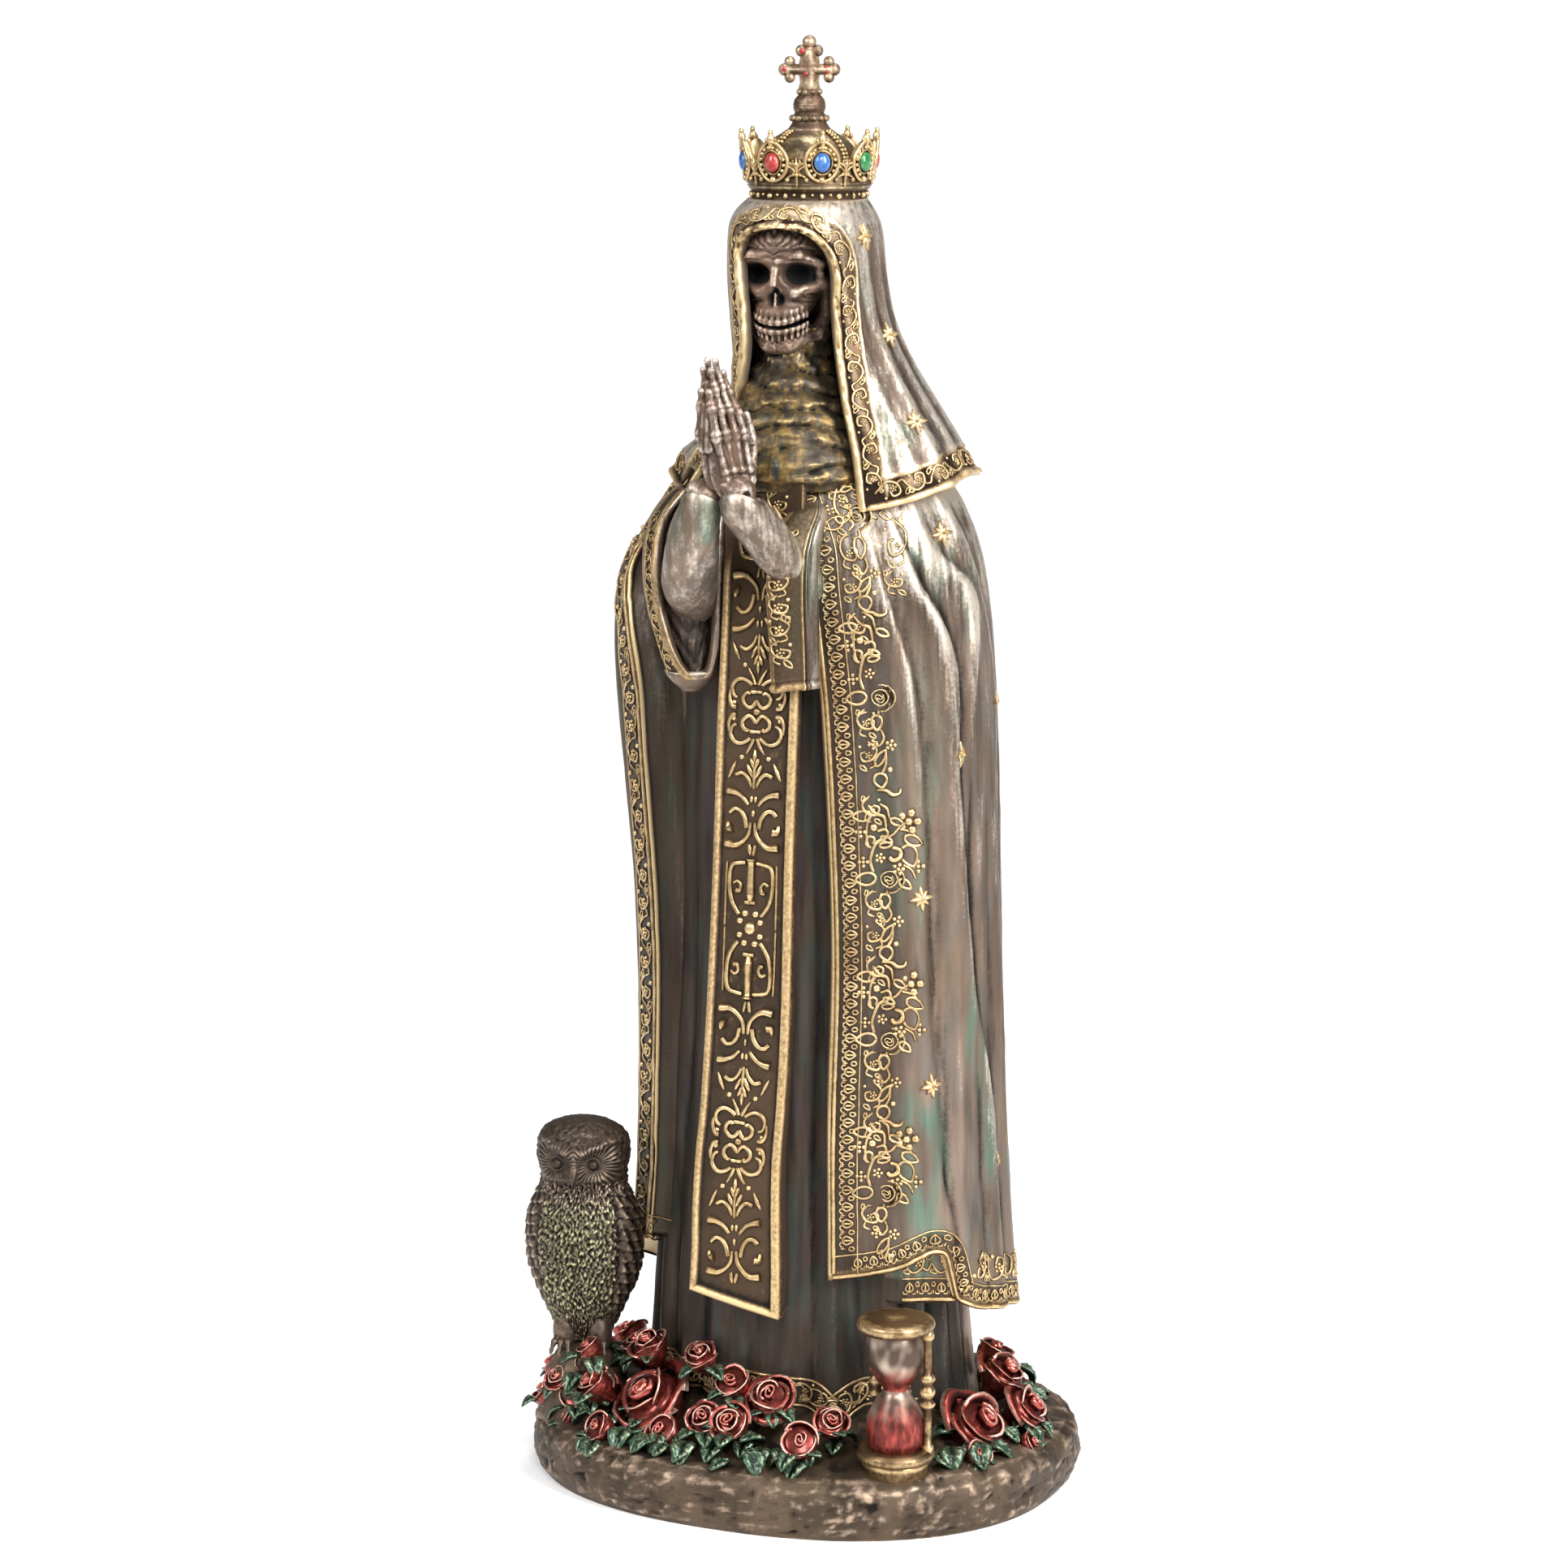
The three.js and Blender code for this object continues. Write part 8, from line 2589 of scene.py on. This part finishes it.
def foliage_unit(braid, trail, low, wide, along, long, hand):
    """A scroll with a flower in its eye, for narrow bands: low and wide bound it across."""
    spot = lambda x, t: (low + wide * (0.5 + hand * (x - 0.5)), along + long * t)
    thick = min(0.3, 0.075 * wide)
    scroll = [(0.5, -0.1), (0.12, 0.2), (0.3, 0.55), (0.75, 0.62), (0.86, 0.35), (0.6, 0.27)]
    braid.line(trail, [spot(x, t) for x, t in scroll], (thick, thick * 1.3, thick))
    braid.line(trail, [spot(0.3, 0.55), spot(0.2, 0.78), spot(0.5, 0.9)], thick)
    braid.loop(trail, spot(0.78, 0.88), 0.2 * wide, 0.1 * wide, thick * 0.8, 40, 0.5, 8)
    braid.loop(trail, spot(0.16, 0.0), 0.14 * wide, 0.09 * wide, thick * 0.8, 110, 0.5, 8)
    braid.grow(trail, "five_petals", spot(0.5, 0.42), (0.2 * wide,) * 3)
    braid.grow(trail, "bead", spot(0.88, 0.08), (0.09 * wide,) * 3)


def foliage_run(braid, trail, low, wide, long, places):
    """Scrolls at places along a trail, each turned over against the last."""
    for k, along in enumerate(places):
        foliage_unit(braid, trail, low, wide, along, long, 1 if k % 2 else -1)


# %% Mantle braid
RIM_TOP, RIM_FOOT = 199, 37.5
rim_heights = np.linspace(RIM_TOP, RIM_FOOT, 240)
near_line, far_line = profile(MANTLE_EDGES, rim_heights)
near_rim_trail = Trail(mantle, mantle_surface(near_line + 1.2, rim_heights), 1)
far_rim_trail = Trail(mantle, mantle_surface(far_line - 1.2, rim_heights), -1)
hem_degrees = np.linspace(-68, 231, 420)
hem_trail = Trail(mantle, mantle_surface(hem_degrees, profile(MANTLE_HEM, hem_degrees) + 0.5), 1)
print("trails:", [round(t.length) for t in (near_rim_trail, far_rim_trail, hem_trail)], "mm")
rim_braid = Braid("mantle_rim_chain", gold, 0.6)
LINK_LENGTH, CHAIN_WIDTH = 3.5, 4.9
near_full, far_full = (np.linspace(0, trail.length, 160) for trail in (near_rim_trail, far_rim_trail))
rim_braid.line(near_rim_trail, [(0.0, t) for t in near_full], 0.62, -0.1)
rim_braid.line(near_rim_trail, [(CHAIN_WIDTH, t) for t in near_full], 0.24)
rim_braid.line(far_rim_trail, [(0.0, t) for t in far_full], 0.62, -0.1)
for along in np.arange(3, near_rim_trail.length - 4, LINK_LENGTH):
    chain_link(rim_braid, near_rim_trail, along)
rim_braid.line(far_rim_trail, [(8.0, t) for t in far_full], 0.3)
foliage_run(rim_braid, far_rim_trail, 0.9, 6.8, 6.2, np.arange(3, far_rim_trail.length - 6, 6.2))
for along, low, hand in (
    (3, 5.6, 1), (3.5, 10.6, -1), (9.5, 12.2, 1), (10, 6, -1), (15.5, 14.5, -1), (22, 13.5, 1)
):
    foliage_unit(rim_braid, near_rim_trail, low, 4.6, along, 5.6, hand)
for high, low, hand in ((195.5, 0.6, 1), (191, 2.6, -1), (186.5, 1.6, 1)):
    foliage_unit(rim_braid, stole_trail, low, 5.2, stole_at(high), 4.8, hand)
rim_braid.finish_piece()

hem_braid = Braid("mantle_hem_chain", gold, 0.6)
hem_line = np.linspace(0, hem_trail.length, 300)
HEM_LINK, HEM_CHAIN_WIDTH = 3.3, 4.3
hem_braid.line(hem_trail, [(0.0, t) for t in hem_line], 0.6, -0.1)
hem_braid.line(hem_trail, [(HEM_CHAIN_WIDTH, t) for t in hem_line], 0.24)
for along in np.arange(5.5, hem_trail.length - 5, HEM_LINK):
    chain_link(hem_braid, hem_trail, along, 0.86, 0.94)
fold_degrees = np.linspace(-45, -20, 60)
inset = mix(4.0, 0.7, smooth(-43, -23, fold_degrees))
fold_trail = Trail(lower_fold, mantle_surface(fold_degrees, np.full(60, 31.0), -inset), 1)
for across, thick in ((0.0, 0.6), (HEM_CHAIN_WIDTH, 0.24)):
    hem_braid.line(fold_trail, [(across, t) for t in np.linspace(0, fold_trail.length, 40)], thick, -0.1)
for along in np.arange(1.5, fold_trail.length - 1.5, HEM_LINK):
    chain_link(hem_braid, fold_trail, along, 0.86, 0.94)
foliage_run(hem_braid, hem_trail, 4.9, 6.2, 7.6, np.interp([-27, -16, -5, 6], hem_degrees, hem_trail.arc))
for along in np.arange(1, fold_trail.length - 6, 5.5):
    foliage_unit(hem_braid, fold_trail, 4.9, 5.5, along, 5.5, 1)
hem_braid.finish_piece()

VINE_MIDDLE, ROSE_HEIGHTS = 10.6, (186, 153, 117.3, 85.4, 54)
vine = Braid("mantle_vine", gold, 0.62)
vine_roses = []
height_of = RIM_TOP - near_rim_trail.arc / near_rim_trail.length * (RIM_TOP - RIM_FOOT)
for k, height in enumerate(ROSE_HEIGHTS):
    along = float(np.interp(-height, -height_of, near_rim_trail.arc))
    vine_unit(vine, near_rim_trail, VINE_MIDDLE, along, 1.1 if k == 1 else 1.0, side_group=k >= 2)
    spot, _, out = near_rim_trail.drop(VINE_MIDDLE, along)
    axes = Vector(out).to_track_quat("Z", "Y").to_euler()
    vine_roses.append((spot - out * 0.35, axes, (2.9, 2.9, 1.7), kind_order.index("round_rose")))
    for low, up, hand in ((5.3, 2.6, 1), (5.5, 9.0, -1), (5.4, -16.4, 1)):
        if 2 < along + up < near_rim_trail.length - 8:
            foliage_unit(vine, near_rim_trail, low, 4.4, along + up, 5.4, hand)
vine.finish_piece()
add_piece(plant("mantle_vine_roses", vine_roses, kinds, gold), "mantle_vine_roses", gold, facing=False)

# %% [markdown]
# The hood has the same scrolls, smaller, between its rolled brim and a fine line, and again
# along its hem. The sleeves' turned-back borders and the skirt's foot get narrow bands.

# %% Hood braid
brim_trail = Trail(veil, brim_path[2:-2], -1, (0.5, 0, 237))
veil_hem_trail = Trail(veil, hem_path, 1)
print("hood trails:", [round(trail.length) for trail in (brim_trail, veil_hem_trail)], "mm")
hood_braid = Braid("hood_braid", gold, 0.45)
brim_places, hem_places = (
    np.arange(0.9, brim_trail.length - 5, 5.6), np.arange(5.5, veil_hem_trail.length - 8, 6.0)
)
foliage_run(hood_braid, brim_trail, ROLL + 0.15, TRIM_WIDTH - ROLL - 0.3, 5.6, brim_places)
foliage_run(hood_braid, veil_hem_trail, 1.25, TRIM_WIDTH - 1.5, 6.0, hem_places)
hood_braid.finish_piece()

# %% Sleeve braid
sleeve_braid = Braid("sleeve_braid", gold, 0.45)
mouth_trail = Trail(right_sleeve, mouth_path[len(mouth_path) // 2 + 1 : -1], 1, (-11, -22, None))
foliage_run(sleeve_braid, mouth_trail, 1.5, 2.6, 4.0, np.arange(4, mouth_trail.length - 5, 4.0))
cuff_heights = np.linspace(190, 158.5, 60)
cuff_path = sleeve_surface(LEFT_SLEEVE, np.full(60, -94.0), cuff_heights, 0, 0.7)
cuff_trail = Trail(left_sleeve, cuff_path, 1, (8, -20, None), 0.5)
foliage_run(sleeve_braid, cuff_trail, -2.9, 5.6, 4.9, np.arange(1.5, cuff_trail.length - 4.5, 4.5))
sleeve_braid.finish_piece()

# %% Braid at the foot of the skirt
foot_turns = np.radians(np.linspace(-150, -30, 200))
foot_heights = 9.2 - 4.4 * bell((np.degrees(foot_turns) + 62) / 7)
foot_trail = Trail(dress, lifted(dress_surface(foot_turns, foot_heights)), 1)
skirt_braid = Braid("skirt_braid", gold, 0.6)
skirt_line = np.linspace(0, foot_trail.length, 120)
for across in (0.0, 5.4):  # the band's two lines
    skirt_braid.line(foot_trail, [(across, t) for t in skirt_line], 0.42)
SKIRT_UNIT = 5.4
for k, along in enumerate(np.arange(2, foot_trail.length - 6, SKIRT_UNIT)):
    hand = 1 if k % 2 else -1
    foliage_unit(skirt_braid, foot_trail, 0.4, 4.7, along, SKIRT_UNIT, hand)
    foliage_unit(skirt_braid, foot_trail, 0.4, 4.7, along + SKIRT_UNIT / 2, SKIRT_UNIT, -hand)
skirt_braid.finish_piece()
